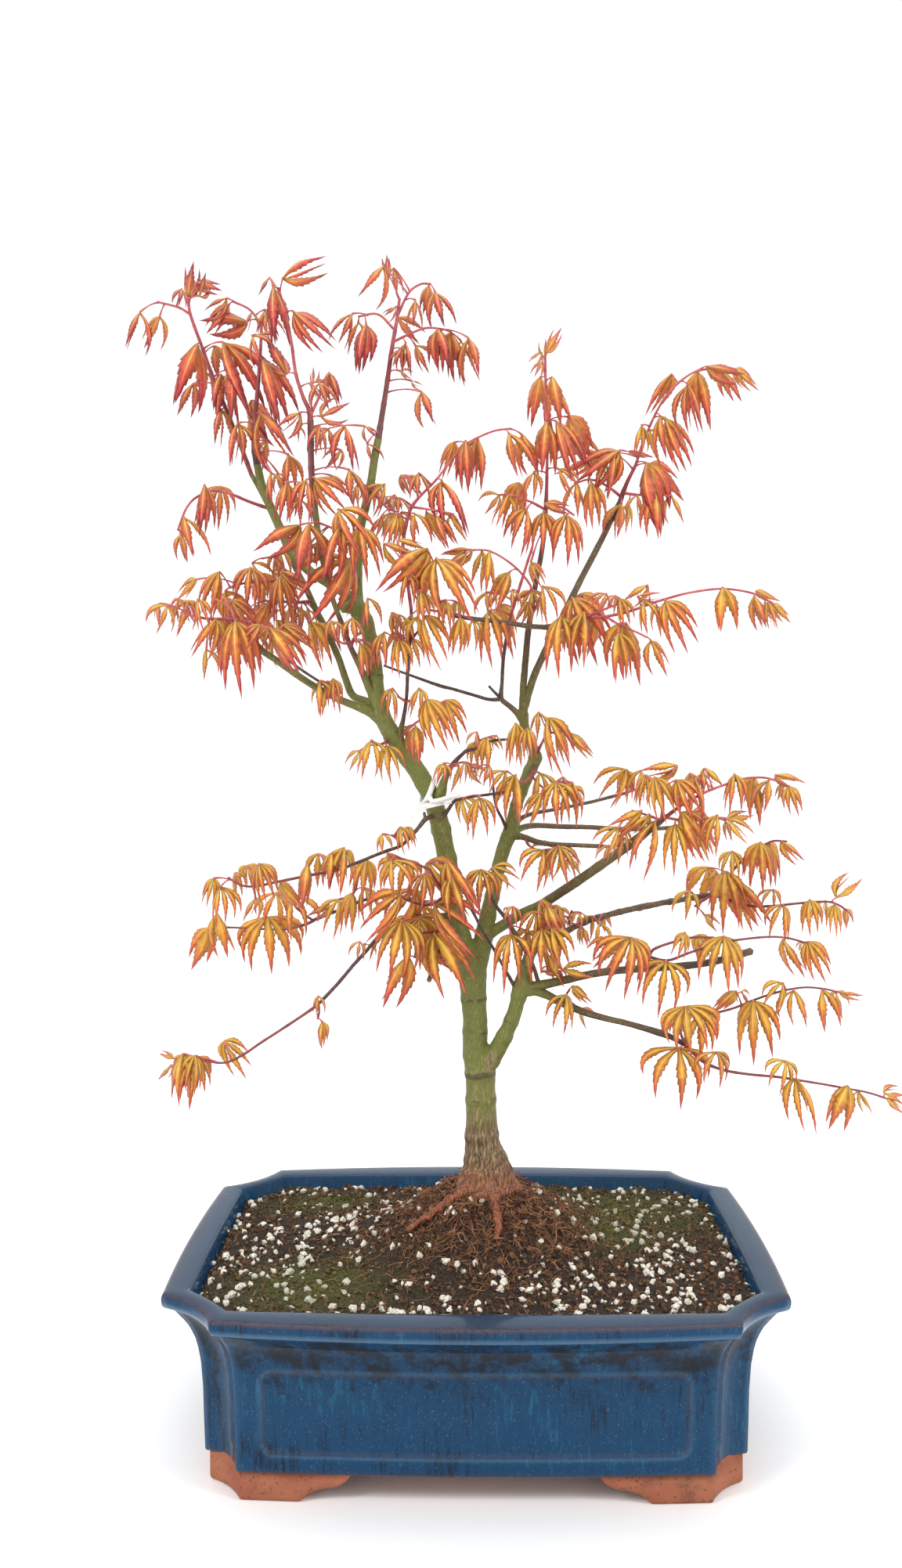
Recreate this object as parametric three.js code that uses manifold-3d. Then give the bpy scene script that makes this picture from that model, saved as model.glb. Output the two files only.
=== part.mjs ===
// Katsura japanese maple bonsai in its glazed pot. Millimetres, +Z up, the long rim along X and the
// viewer on the -Y side. Everything is laid out from the table under the middle of the pot, then
// moved so that the origin lies under the middle of the whole, pot and branches together.
import * as THREE from "three";
import { mergeVertices } from "three/addons/utils/BufferGeometryUtils.js";
import loadManifold from "manifold-3d";

const POT_OFF_CENTRE = 12.5;

// Pot.
const RIM_WIDTH = 290;
const RIM_DEPTH = 200;
const RIM_TOP = 92;
const RIM_CORNER_CUT = 28.7;
const RIM_CORNER_SCOOP = 4.2;
const LONG_SIDE_BOW = 7;
const SHORT_SIDE_BOW = 2.5;
const BODY_BOTTOM = 14.2;
const BODY_INSET = 18.3;
const OPENING_INSET = 13.6;
const FIELD_DEPTH = 0.8;
const FLOOR_TOP = 23;
const FOOT_INSET = 2;
const FOOT_THICKNESS = 14;
const DRAIN_HOLE_OFFSET = 62;
const DRAIN_HOLE_RADIUS = 10;
const SCREEN_SIDE = 34;
const SCREEN_THICKNESS = 1;

// Soil.
const SOIL_EDGE_TOP = 86;
const MOUND_HEIGHT = 36;
const MOUND_CENTRE = [6, 2];
const MOUND_REACH = [50, 42];

// Fits: solids that touch keep this gap.
const SEAT_GAP = 0.3;
const JOIN_TOLERANCE = 0.02;
const CORNER_GAP = 0.02;

// The tree was read from the photograph as points (u, w) on the upright plane through the trunk,
// and each point slides along its line of sight to its own depth y behind that plane.
const EYE = [1.5, -640, 344];

// Leaves. A leaf shorter than SMALL_LEAF keeps one lobe, and one longer than LARGE_LEAF up to five.
const LARGE_LEAF = 40;
const SMALL_LEAF = 19;
const CROWD = 12;
const BLADE_RIDGE = 0.9;
const BLADE_BACK = 0.3;
const BLADE_ROLL = 0.45;
const STALK_RADIUS = 0.65;
const STALK_FOOT_RADIUS = 0.3;
const THINNEST_TWIG = 0.7;
const FOOT_SPACING = 1.9;
const STALK_ARCH = 0.16;
const LONG_STALK = 19;
const DEPTH_SHIFTS = [0, -4, 4, -8, 8, -12, 12, -17, 17, -22, 22, -28, 28];

// Label tie.
const TIE_AT = [-25.5, 326.5, -3];
const TIE_RADIUS = 5.5;
const TIE_THICKNESS = 0.8;
const TIE_WIDTH = 3;
const TIE_SLANT = 2.5;

// Wood: each branch is a list of [u, w, depth, radius].
const TRUNK = [
  [6, 97, 0, 11], [6.4, 108, 0, 15.5], [6.5, 118, 0, 16.4], [6.3, 124, 0, 13.6], [6, 130, 0, 11.4],
  [4.9, 135, 0, 9.8], [4.1, 141, 0, 8.8], [3.7, 150, 0, 8.2], [3.5, 160, 0, 7.8], [3.4, 170, 0, 7.6],
  [3.2, 177, 0, 7.9], [1.6, 184, 0, 7], [0.7, 192, 0, 6.4], [0.6, 205, 0, 6.3], [0, 215, 0, 6.5],
  [-0.4, 224, 0, 7], [-0.8, 233, 0, 7.4], [-1, 239, 0, 5.6],
];
const LEADERS = [
  [[-1, 226, 0, 6.2], [-4.5, 240, 0, 5.2], [-8, 252, 1, 5], [-11, 268, 2, 5], [-13, 285, 3, 4.9],
    [-16, 300, 2, 4.9], [-18.5, 311, 0, 4.8], [-22, 320, -2, 4.8], [-28, 331, -4, 4.8],
    [-35, 341, -5, 4.6], [-41, 350, -6, 4.5], [-46, 360, -6, 4.5], [-49, 371, -6, 4.4],
    [-50, 384, -5, 4.2], [-51.5, 396, -3, 4], [-54, 407, -1, 4], [-57.5, 414, 0, 4.2],
    [-60, 420, 0, 3.4]],
  [[0.5, 226, 0, 5.4], [3.5, 238, 1, 5], [5.5, 248, 2, 4.6], [8, 260, 4, 4], [10.5, 271, 6, 3.6],
    [13, 282, 8, 3.5], [15.4, 291, 9, 3.6], [18.8, 300, 10, 3.7], [20.6, 308, 10, 3.1],
    [23.5, 318, 10, 3.1], [28.5, 330, 11, 3.2], [32, 338, 12, 3.4], [31, 343, 12, 2.7],
    [26.8, 353, 12, 2.5], [26, 360, 12, 2.5], [26.2, 367, 12, 2.3]],
  [[4, 178, 0, 5], [9, 184, -2, 5], [13.5, 191, -4, 4.4], [17.5, 199, -6, 4], [20.8, 207, -7, 3.8],
    [22.5, 214, -8, 3.8], [24.5, 221, -8, 4.4], [26.5, 229, -7, 3.6], [28.5, 236, -6, 3],
    [32, 241, -5, 2.3], [38, 243.8, -4, 1.9], [44, 247, -2, 1.8], [50, 250.7, 0, 1.7],
    [57, 254, 3, 1.6], [66, 256.8, 6, 1.6], [80, 260.4, 11, 1.6], [95, 263.4, 15, 1.6],
    [110, 266, 18, 1.5], [122, 268, 20, 1.5]],
];
const LIMBS = [
  // Low on the right.
  [[25, 220, -8, 2.8], [31, 221, -10, 2.6], [38, 222.3, -13, 2.4], [48, 224.5, -16, 2.1],
    [58, 226.8, -19, 2], [68, 228.5, -22, 2], [80, 229.6, -25, 1.9], [95, 230.5, -28, 1.9],
    [110, 231.7, -31, 1.9], [121, 233.2, -33, 1.8], [132, 236, -34, 1.8], [142, 239, -35, 1.9]],
  [[25, 219, -8, 2.8], [31, 218.6, -11, 2.4], [37, 216.8, -14, 2.2], [43, 213.6, -17, 2.1],
    [50, 210.3, -20, 2], [57, 207.5, -23, 1.8], [67, 204.6, -25, 1.6], [78, 202, -27, 1.5],
    [88, 199.2, -28, 1.6], [95, 197, -29, 1.8], [101, 194.8, -30, 1.4], [108, 191, -31, 1.3]],
  [[4, 243, 2, 3], [9, 248.5, 2, 2.9], [16, 253, 3, 2.7], [25, 258.5, 2, 2.5], [34, 262.6, 0, 2.4],
    [45, 269.5, -4, 2.4], [56, 276.8, -9, 2.4], [66, 283.8, -14, 2.4], [76, 290.8, -19, 2.4],
    [85, 297.4, -24, 2.4], [91, 302.5, -27, 2.2], [96, 306, -29, 1.7]],
  [[33.2, 223.2, -11, 1.2], [30, 233, -16, 1], [24.5, 243, -19, 1.1], [20, 250, -21, 1.5],
    [16.5, 256, -20, 1.1], [12, 262, -18, 0.9], [8.6, 268.5, -16, 0.8]],
  [[22, 219, -8, 1.2], [16, 230, -13, 0.8], [10.5, 240, -17, 0.8], [5, 249, -20, 0.75],
    [0, 259, -22, 0.75], [-3, 264, -22, 0.7]],
  // Middle right.
  [[20, 300, 10, 2], [25.5, 302.6, 16, 1.6], [32, 303.6, 22, 1.4], [45, 303, 30, 1.3],
    [60, 302.6, 38, 1.2], [75, 301.6, 45, 1.2], [92, 301.8, 52, 1.1], [108, 302.6, 57, 1],
    [119, 303.5, 60, 0.9]],
  [[20, 299, 10, 2], [26, 297.6, 3, 1.6], [33, 295.2, -5, 1.4], [41, 294, -12, 1.2],
    [54, 293.4, -20, 1.1], [66, 292.8, -27, 1.1]],
  [[20.5, 304, 10, 1.8], [25, 307.6, 14, 1.2], [31, 309.8, 18, 1], [41, 311.6, 22, 0.95],
    [51, 313.6, 26, 0.9], [61, 315.7, 30, 0.9], [71, 318.2, 33, 0.9]],
  [[18, 300, 9, 1.2], [15, 307, 5, 0.8], [12.2, 312.5, 1, 0.7], [11, 318, -2, 0.7],
    [10.4, 324, -4, 0.6]],
  // Upper right.
  [[26.2, 364, 12, 2], [28.5, 371, 12, 2], [31.5, 380, 11, 1.9], [35.5, 389, 9, 1.8],
    [39, 396.5, 8, 1.7], [43, 404, 8, 1.6], [47, 412, 9, 1.6], [51, 420, 11, 1.7],
    [56, 430, 14, 1.6], [61.3, 440, 16, 1.6], [66.5, 450, 18, 1.5], [71.3, 460, 20, 1.5],
    [75, 467, 20, 1.5]],
  [[26.2, 364, 12, 2], [25.8, 372, 12, 1.8], [26.6, 382, 13, 1.7], [27.4, 391, 14, 1.7],
    [28.3, 401, 15, 1.6], [29.8, 411, 15, 1.5], [31.4, 421, 14, 1.4], [33.2, 431, 12, 1.3],
    [35, 440, 10, 1.3], [36.6, 450, 8, 1.2]],
  [[26, 357, 12, 1.8], [22.5, 361.3, 11, 1.6], [18.5, 365, 10, 1.4], [14.8, 368.3, 9, 1.3],
    [15.1, 376, 8, 0.9], [15.8, 388, 7, 0.9], [17.2, 398, 5, 0.85]],
  [[15.4, 367.8, 9, 1], [11, 372, 8, 0.7], [8.5, 374.8, 8, 0.6]],
  [[15.4, 368.3, 9, 1.2], [9, 368, 13, 0.9], [0, 370.5, 18, 0.85], [-10, 373.5, 23, 0.8],
    [-16, 375, 26, 0.95], [-30, 380, 31, 0.7], [-45, 385.6, 36, 0.6]],
  [[41, 404.4, 8, 1.5], [35, 404.7, 3, 1.3], [28, 405.3, -2, 1.25], [20, 406.6, -6, 1.25],
    [10, 408, -11, 1.2], [0, 409.2, -16, 1.1], [-9, 410.6, -20, 1]],
  // Middle left.
  [[-19, 313, -2, 3.2], [-16.5, 320, -6, 2.9], [-14.5, 327, -9, 2], [-11.5, 333, -11, 1.4],
    [-8.3, 337.2, -13, 1.2], [-5.5, 340, -13, 0.9], [-3, 342, -14, 1], [1.5, 343, -14, 0.8],
    [5, 345, -15, 0.7], [10, 347, -15, 0.7], [16.5, 347.6, -14, 0.7]],
  [[-16, 307, 0, 1.5], [-12.5, 312, -6, 1], [-9, 316.5, -10, 0.9], [-2, 318.2, -13, 0.7],
    [7, 319.4, -15, 0.7], [16, 320.6, -17, 0.7]],
  [[-16, 309, 1, 1.6], [-21, 308.4, -4, 1.3], [-24.5, 306.8, -8, 1.3], [-28, 302.5, -11, 1],
    [-33, 297, -14, 0.95], [-37, 293.5, -17, 0.9], [-46, 290.2, -21, 0.85],
    [-56, 286.2, -25, 0.85], [-64, 283, -28, 0.8]],
  [[-24.2, 306.5, -8, 1], [-24.9, 310.4, -8, 0.8]],
  [[-11, 263, 2, 2.2], [-17, 264.3, 8, 1.2], [-26, 264.7, 14, 0.9], [-38, 267.4, 20, 0.85],
    [-50, 267, 25, 0.8], [-62, 263.5, 30, 0.8], [-72, 259.2, 34, 0.8], [-81, 255.8, 38, 0.9]],
  [[-9, 253, 0, 1.8], [-14, 249, -6, 1.5], [-17.5, 239, -11, 1.3], [-20.5, 231, -14, 1.3],
    [-23, 223.8, -17, 1.3]],
  [[-9.5, 257, 1, 2], [-20, 257.5, -10, 1.2], [-32, 256.5, -19, 1], [-42, 252.5, -26, 0.95],
    [-50, 245.3, -32, 0.95], [-55, 239.4, -35, 0.95], [-62, 231.8, -39, 0.9],
    [-70, 222.3, -44, 0.9], [-78, 213.8, -48, 0.9]],
  // Upper left.
  [[-37, 344, -5, 2.2], [-36.8, 352, -9, 1.6], [-35.4, 358, -11, 1.1], [-34, 366, -14, 0.9],
    [-33.3, 374, -16, 0.9], [-33, 384, -18, 0.85], [-32.4, 392, -19, 0.9],
    [-31.7, 398.5, -20, 1], [-31, 406, -20, 0.8], [-31, 414, -19, 0.8]],
  [[-31.9, 397, -20, 0.9], [-28, 402.5, -22, 0.6], [-25, 406, -24, 0.6]],
  [[-46, 358, -6, 3], [-53, 362.6, -8, 2.8], [-60, 365.2, -11, 2], [-70, 369.4, -15, 1.8],
    [-80, 374.8, -19, 1.8], [-90, 381.4, -23, 1.8], [-100, 388.6, -26, 1.7],
    [-107, 393.4, -28, 1.7], [-112, 399, -29, 1.5], [-117, 405, -30, 1.4]],
  [[-66, 367.6, -13, 1], [-71, 371.8, -17, 0.8], [-77, 376.8, -22, 0.7], [-86, 382.8, -27, 0.7],
    [-94, 388.6, -32, 0.7]],
  [[-48, 364, -6, 2.8], [-54, 367, -4, 2.4], [-61, 370.4, -1, 1.9], [-64.4, 378, 2, 1.8],
    [-68, 389, 5, 1.7], [-71.6, 397.5, 8, 1.7], [-75.6, 406, 11, 1.7], [-80, 415, 14, 1.6],
    [-84.5, 425, 17, 1.6], [-90.5, 437, 20, 1.5], [-96.5, 451, 22, 1.4], [-103, 466, 22, 1.3],
    [-108.5, 477, 20, 1.3], [-112, 483, 19, 1.2]],
  [[-49.5, 367, -6, 2.2], [-53.2, 375, -10, 1.9], [-57, 384.5, -13, 1.6], [-62, 395, -16, 1.4],
    [-66, 406, -19, 1.3], [-70.5, 418, -22, 1.3], [-74, 430, -23, 1.4], [-76.5, 443, -23, 1.5],
    [-78.5, 455, -22, 1.6], [-80, 468, -20, 1.6]],
  [[-57, 411, 0, 3.6], [-62, 420, 2, 3], [-68, 425, 3, 2.7], [-76, 429.5, 4, 2.5],
    [-84, 435, 5, 2.5], [-90, 442, 6, 2.5], [-96, 452.5, 6, 2.4], [-101.5, 464.5, 5, 2.2],
    [-106.5, 477, 3, 2.1], [-109, 488, 1, 1.9]],
  [[-58, 416, -1, 3.4], [-63.5, 415.4, -4, 3], [-66.5, 414.8, -5, 2.4]],
  [[-58, 412, 0, 3.4], [-58.5, 425, 3, 2.8], [-58, 440, 7, 2.4], [-56.5, 456, 9, 2.3],
    [-53.5, 468, 10, 2.2], [-51, 479, 10, 2.1], [-49.3, 490, 11, 2], [-47.3, 500, 12, 1.9]],
];
// Surface roots, in part coordinates: [x, y, z, radius].
const SURFACE_ROOTS = [
  [[8, -6, 123, 4], [9.5, -15, 116.5, 2.9], [11.8, -27, 108.4, 2.1], [9.8, -34, 103, 1.5]],
  [[2, -6, 121, 4], [-8, -11, 116.5, 2.6], [-22, -17, 109, 1.8], [-34, -22, 102.5, 1.2]],
  [[10, 0, 122, 5], [20, -4, 118, 3.4], [30, -6, 111, 2.2], [40, -7, 104.5, 1.4]],
  [[2, 2, 121, 4], [-8, 7, 117, 2.8], [-20, 12, 110, 2], [-31, 16, 103, 1.4]],
  [[9, 4, 121, 4.5], [15, 14, 116, 3], [26, 36, 99.5, 1.5]],
];

// Shoots: [name, twigs, leaves]. A twig is a list like a branch. A leaf is [head u, head w, tip u,
// tip w, lobes, half spread of the lobes in degrees, depth of the head from its stalk's foot].
const SHOOTS = [
  ["shoot_west_top",
    [[[-112, 483, 19, 1.2], [-117.5, 498, 16, 1.15], [-125, 517, 13, 1.1], [-132, 534.5, 11, 1],
      [-136, 546, 10, 0.9], [-142.3, 564, 9, 0.8], [-143.5, 572, 9, 0.7]],
    [[-142.3, 564, 9, 0.7], [-148, 567.5, 7, 0.6], [-159, 570.5, 5, 0.55]]],
    [[-168, 565.5, -175.5, 548, 3, 16, -3], [-158, 563, -166, 547, 3, 18, 4],
      [-139, 580, -126, 576, 3, 14, 5], [-146.5, 577, -148, 568, 3, 20, -5],
      [-143.5, 573, -142, 591, 3, 14, 0], [-139, 549, -148, 520, 3, 14, -6],
      [-127, 533.5, -131, 516, 3, 14, -8], [-141.5, 529, -149.5, 513, 3, 12, 6],
      [-127, 516, -130, 499, 3, 12, -5], [-126, 550, -110, 512, 5, 16, -9],
      [-122, 536, -120, 509, 3, 12, -12], [-130, 548, -128, 530, 3, 14, 7]]],
  ["shoot_west_inner",
    [[[-109, 488, 1, 1.9], [-110.3, 497, 0, 1.6], [-110, 508, 0, 1.3], [-108.5, 525, -1, 1.1],
      [-107, 542, -1, 0.9], [-106, 560, 0, 0.7]],
    [[-106, 558, 0, 0.6], [-112, 566, -3, 0.55], [-121, 570.5, -6, 0.55]]],
    [[-114, 560, -137, 561.5, 3, 9, 4], [-124, 572, -135, 566, 3, 12, -3],
      [-123, 568, -134, 554, 3, 12, 6], [-111, 565, -114.5, 556, 3, 18, -5],
      [-104, 566, -109, 554, 3, 16, 6], [-103, 565, -97, 552, 3, 16, -4],
      [-111, 553, -106, 539, 5, 48, -9], [-106, 541, -97, 507, 5, 12, -10],
      [-119, 509, -122, 487, 5, 20, -8], [-107, 514, -90, 492, 3, 16, -9],
      [-104, 500, -105, 485, 3, 14, 6], [-93, 493, -93, 474, 5, 20, -12],
      [-102, 484, -101, 467, 3, 16, -11], [-112, 520, -103, 500, 3, 14, 9]]],
  ["shoot_second_stem",
    [[[-80, 468, -20, 1.6], [-81.2, 480, -19, 1.6], [-81.6, 494, -18, 1.6],
      [-81.6, 506, -17, 1.7], [-82.3, 515, -16, 1.3], [-85, 521, -16, 1], [-88.8, 533, -15, 0.9],
      [-91, 549, -14, 0.8], [-94, 565, -13, 0.7], [-97.5, 577, -12, 0.6]],
    [[-82, 508, -17, 1.3], [-81.3, 516, -17, 1.1]],
    [[-81.8, 512, -17, 0.8], [-78, 520, -20, 0.7], [-75, 526, -22, 0.6]]],
    [[-95, 582, -73.5, 593, 3, 12, -3], [-100, 577, -99, 549, 3, 10, -5],
      [-102, 582, -107.5, 573, 3, 18, 4], [-90, 565, -70, 546, 5, 16, -6],
      [-94, 534, -105, 553, 3, 12, 5], [-77, 529, -72, 515, 3, 24, -5],
      [-72, 534, -66.5, 518, 3, 14, 6], [-80, 529, -80, 537, 3, 16, 3],
      [-87, 514, -98.5, 506.5, 3, 14, -7], [-88, 507, -88, 499, 3, 22, 7],
      [-77, 507, -79, 492, 3, 16, -8], [-76, 512, -61.5, 519, 3, 22, 5],
      [-64, 507, -60, 484, 3, 16, -9], [-66, 495, -74.5, 485, 3, 20, 8],
      [-54, 507, -47, 500, 3, 22, -5], [-80, 481, -65, 465, 5, 26, -12],
      [-84, 480, -83, 459, 5, 18, -14], [-71, 482, -62, 472, 3, 10, 8],
      [-94, 479, -97, 459, 5, 20, -9], [-87, 470, -87, 457, 3, 22, -13],
      [-62, 485, -60, 469, 3, 14, -11]]],
  ["shoot_front_crown",
    [[[-58, 428, 4, 1.3], [-60, 436, -8, 0.9], [-61, 446, -20, 0.8], [-60, 456, -30, 0.7],
      [-64, 463, -34, 0.6]],
    [[-60.5, 448, -22, 0.7], [-70, 455, -30, 0.6], [-78, 458.5, -34, 0.55]]],
    [[-68, 465, -58, 441, 5, 30, -6], [-57, 456.5, -53, 431, 5, 22, -8],
      [-67, 457, -74, 430, 5, 18, -9], [-62, 440, -79, 412, 5, 34, -12],
      [-83, 457.5, -87, 431, 3, 14, -6], [-88, 457, -109, 446, 3, 8, 5],
      [-79, 448, -79, 437, 3, 18, 4]]],
  ["shoot_west_arch",
    [[[-102, 465.5, 5, 1], [-107, 467, 4, 0.9], [-115, 470, 0, 0.8], [-122, 473, -5, 0.7],
      [-131, 475, -11, 0.7], [-140, 472, -17, 0.6], [-145, 467, -21, 0.6], [-149, 458, -25, 0.55],
      [-150, 455, -26, 0.5]]],
    [[-136, 478, -139, 453, 5, 12, -7], [-128, 477, -129, 455, 5, 30, 6],
      [-147, 462, -142, 442, 3, 18, -5], [-148, 453, -145, 439, 3, 18, 4]]],
  ["shoot_west_upper_twig",
    [[[-85, 427, 18, 1.1], [-92, 428, 10, 0.8], [-101, 429, 3, 0.7], [-110, 428.5, -3, 0.7],
      [-119, 427.5, -8, 0.6], [-124, 425.5, -10, 0.55]],
    [[-92, 428, 10, 0.7], [-96, 436, 6, 0.6], [-100, 441, 3, 0.55], [-107, 440.5, 0, 0.5]]],
    [[-129, 434, -133, 412, 5, 18, -5], [-113, 436, -116, 415, 5, 30, -7],
      [-112, 438, -106, 427, 3, 18, 6], [-97, 434, -84, 428, 5, 20, -8],
      [-97, 444, -98, 430, 3, 16, 6], [-95, 433, -88, 421, 3, 14, -5],
      [-141, 430, -150, 419, 3, 10, 6], [-126, 424, -125, 404, 3, 16, 7]]],
  ["shoot_west_lower_twig",
    [[[-81.5, 418.5, 15, 1.1], [-90, 418, 8, 0.7], [-99, 418.6, 2, 0.7], [-107, 419, -2, 0.6]]],
    [[-98, 431, -97, 407.7, 5, 16, -9], [-104, 418, -112, 400, 5, 18, -6],
      [-100, 409, -90, 387, 5, 16, -12], [-92, 416, -89.5, 404, 3, 20, 5],
      [-87, 415, -87, 405, 3, 20, -4], [-88, 405, -93, 396, 3, 24, 3],
      [-83, 408, -77, 388, 5, 18, -12], [-113, 413, -107, 402, 3, 22, 6]]],
  ["shoot_west_limb_end",
    [[[-117, 405, -30, 1.3], [-121, 409, -31, 1], [-125, 409.8, -32, 0.9], [-135, 410, -34, 0.8],
      [-147, 412.5, -36, 0.55]],
    [[-121, 409, -31, 0.8], [-124, 416, -28, 0.6], [-131, 420, -24, 0.55]]],
    [[-121, 409, -120, 375, 5, 18, -7], [-131, 410, -143, 393, 5, 26, -5],
      [-128, 410, -125, 388, 5, 16, 6], [-123, 419, -113, 402, 5, 20, 5],
      [-140, 420, -138, 404, 5, 16, -5], [-145, 419, -150.5, 402, 3, 18, 4],
      [-136, 394, -137, 380, 3, 16, 7], [-118, 408, -112, 386, 5, 12, 9],
      [-156, 417, -160.5, 403, 3, 30, -4]]],
  ["shoot_west_red_twig",
    [[[-94, 388.6, -32, 0.7], [-98, 393, -34, 0.6], [-101, 398, -35, 0.55]]],
    [[-103, 405, -91, 386, 5, 14, -6], [-101, 399, -95, 386, 3, 16, 5],
      [-108, 407, -114, 396, 5, 20, -4]]],
  ["shoot_west_elbow",
    [[[-71, 369.8, -15, 1], [-72, 374.5, -21, 0.7], [-74, 377, -26, 0.55]]],
    [[-78, 378, -77.5, 363, 3, 18, -5], [-71, 379, -71, 366, 5, 18, -3]]],
  ["shoot_brown_stem",
    [[[-62, 395, -16, 1], [-60, 400, -23, 0.7], [-57, 402, -28, 0.6]],
    [[-61, 398, -20, 0.7], [-66, 397, -26, 0.6], [-70, 400, -29, 0.5]]],
    [[-72, 408.5, -69, 399, 3, 22, -5], [-61, 410, -59, 397, 3, 20, -6],
      [-57, 397, -56, 379, 5, 14, -5], [-54, 398, -49.5, 393, 3, 10, 4],
      [-53, 420, -52.5, 404, 3, 16, -5]]],
  ["shoot_middle_stem",
    [[[-47.3, 500, 12, 1.8], [-46, 508, 13, 1.5], [-43, 526, 14, 1.3], [-40, 546, 15, 1.1],
      [-37.5, 560, 16, 0.9], [-36, 571, 16, 0.7]],
    [[-37.5, 561, 16, 0.7], [-31, 574, 19, 0.6], [-25, 578, 21, 0.55], [-20, 578, 22, 0.5]],
    [[-38.5, 555, 15.5, 0.7], [-47, 563, 12, 0.6], [-57, 562, 9, 0.55]],
    [[-39.5, 549, 15, 0.7], [-31, 553, 13, 0.6], [-22, 556, 11, 0.55], [-10, 554.5, 8, 0.5]]],
    [[-44, 587, -56, 572.5, 3, 18, -5], [-39, 586, -37, 571, 3, 18, 4],
      [-42, 584, -42.5, 593, 3, 14, 0], [-18, 574, -13, 556, 3, 18, -4],
      [-21, 577, -23, 562.5, 3, 14, 5], [-28, 570, -29, 556.5, 3, 16, -5],
      [-38, 566.5, -44, 562, 3, 20, -5], [-60, 563.5, -67, 548.5, 3, 16, -3],
      [-57, 559, -62, 542.5, 3, 16, 4], [-53, 558, -58, 533.5, 5, 14, -5],
      [-17, 555, -11, 536.5, 3, 14, -4], [-10, 553.5, -4, 526.5, 5, 14, 3],
      [-1, 550.5, 6, 532.5, 3, 14, -3], [-37, 561, -25.5, 548.5, 3, 12, 6],
      [-33, 548.5, -30, 531.5, 5, 16, -5], [-35, 545.5, -39.5, 536.5, 3, 20, -7],
      [-28, 547, -21, 533, 3, 18, 6], [-25, 524, -18, 509.5, 3, 14, -5],
      [-30, 529.5, -24, 527.5, 3, 10, 4], [-36, 534.5, -30, 530.5, 3, 18, -6],
      [-53, 498, -50, 488, 3, 18, -6]]],
  ["shoot_middle_low",
    [[[-52, 476, 10, 1.1], [-47, 470, 3, 0.7], [-42, 465, -1, 0.6], [-38, 463.5, -4, 0.55]]],
    [[-44, 477.5, -50, 461.5, 5, 24, -6], [-57.5, 478.5, -58, 464.5, 5, 18, -9],
      [-46, 461, -51, 451, 5, 20, -8], [-39, 472, -37, 461, 3, 18, 5]]],
  ["shoot_north_arch",
    [[[-31, 414, -19, 0.9], [-33, 430, -18, 0.9], [-35, 446, -17, 0.95], [-33.2, 458, -16, 1],
      [-30.5, 466, -15, 0.9], [-25, 472.5, -14, 0.7], [-18, 479.5, -13, 0.6],
      [-10, 489.5, -11, 0.6], [-3, 497, -9, 0.55], [3, 500.5, -8, 0.55], [12, 504, -7, 0.5],
      [20, 505, -6, 0.5]],
    [[-30.5, 466, -15, 0.7], [-24, 465, -20, 0.6], [-15, 463.5, -25, 0.55],
      [-9, 462, -28, 0.5]]],
    [[-27, 483, -27, 469.5, 3, 18, -5], [-15, 479, -2.5, 451, 5, 22, -7],
      [-29, 462.5, -28, 445.5, 3, 16, -4], [-23, 463, -16, 449, 3, 10, 5],
      [-18, 461, -12, 446, 3, 12, -3], [-11, 461, -3, 449, 3, 18, 4],
      [-36, 482, -31, 472, 3, 20, 5], [-37, 470.5, -37, 461, 3, 18, -6],
      [-38, 461.5, -42, 447, 5, 20, -8], [-3, 499, -2.5, 473, 5, 12, -4],
      [3.5, 499.5, 4, 474, 5, 14, 4], [19, 502.5, 24, 482, 3, 12, -4],
      [26, 501.5, 36, 482, 3, 14, 5]]],
  ["shoot_front_wave",
    [[[-9, 410.6, -20, 1], [-14, 413, -24, 0.8], [-17, 420, -28, 0.7], [-18, 430, -32, 0.6],
      [-19, 438, -35, 0.55]],
    [[-14, 413, -24, 0.7], [-22, 414, -29, 0.6], [-29, 421, -33, 0.6], [-31, 430, -36, 0.6],
      [-36, 440, -38, 0.5]]],
    [[-23, 445, -47, 427, 5, 14, -6], [-44.5, 447.5, -28, 440, 3, 16, 4],
      [-18, 440, -4, 410, 5, 28, -8], [-33, 433, -36, 418, 5, 24, -5],
      [-26, 423.5, -24, 409, 5, 20, -9], [-25, 411, -19, 388, 5, 16, -6],
      [-28, 410, -25, 395, 3, 18, 5], [-13, 418.5, -11.5, 404, 5, 16, -7],
      [-6, 410, -9, 393, 5, 20, -4], [-22, 437, -24, 420, 3, 16, 6]]],
  ["shoot_twig_pair",
    [[[-31.9, 397, -20, 0.9], [-36, 397, -24, 0.6], [-40, 399.5, -26, 0.55]]],
    [[-41, 412.5, -40, 400.5, 3, 12, 4], [-45, 402.5, -44, 385.5, 5, 18, -4],
      [-37.5, 398.5, -38, 382.5, 5, 20, -6]]],
  ["shoot_centre_twig",
    [[[17.2, 398, 5, 0.9], [18.8, 406, 4, 0.8], [20.2, 412, 3, 0.8], [23, 421, 1, 0.8],
      [26, 430.5, -2, 0.75], [28.4, 438, -4, 0.7], [31, 446, -5, 0.6]],
    [[22, 418, 2, 0.7], [30, 423.7, -6, 0.6], [26, 431, -11, 0.6], [18.5, 438, -14, 0.55],
      [8.5, 443.5, -17, 0.5], [-1, 444, -20, 0.45]]],
    [[7, 422.5, 7.5, 411, 3, 22, -5], [19, 432.5, 12, 414, 5, 14, -5],
      [20.5, 423.5, 20.5, 413.5, 3, 26, -7], [8, 413, 8.5, 387, 5, 18, -14],
      [15, 416, 21, 391, 5, 16, 8], [9, 443.5, 8.5, 424, 3, 10, -3],
      [5, 443, 0, 427.5, 3, 10, 3], [-3, 442, -12, 436, 3, 14, -4],
      [0, 444, -14, 443, 3, 6, 4]]],
  ["shoot_crown_east",
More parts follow.
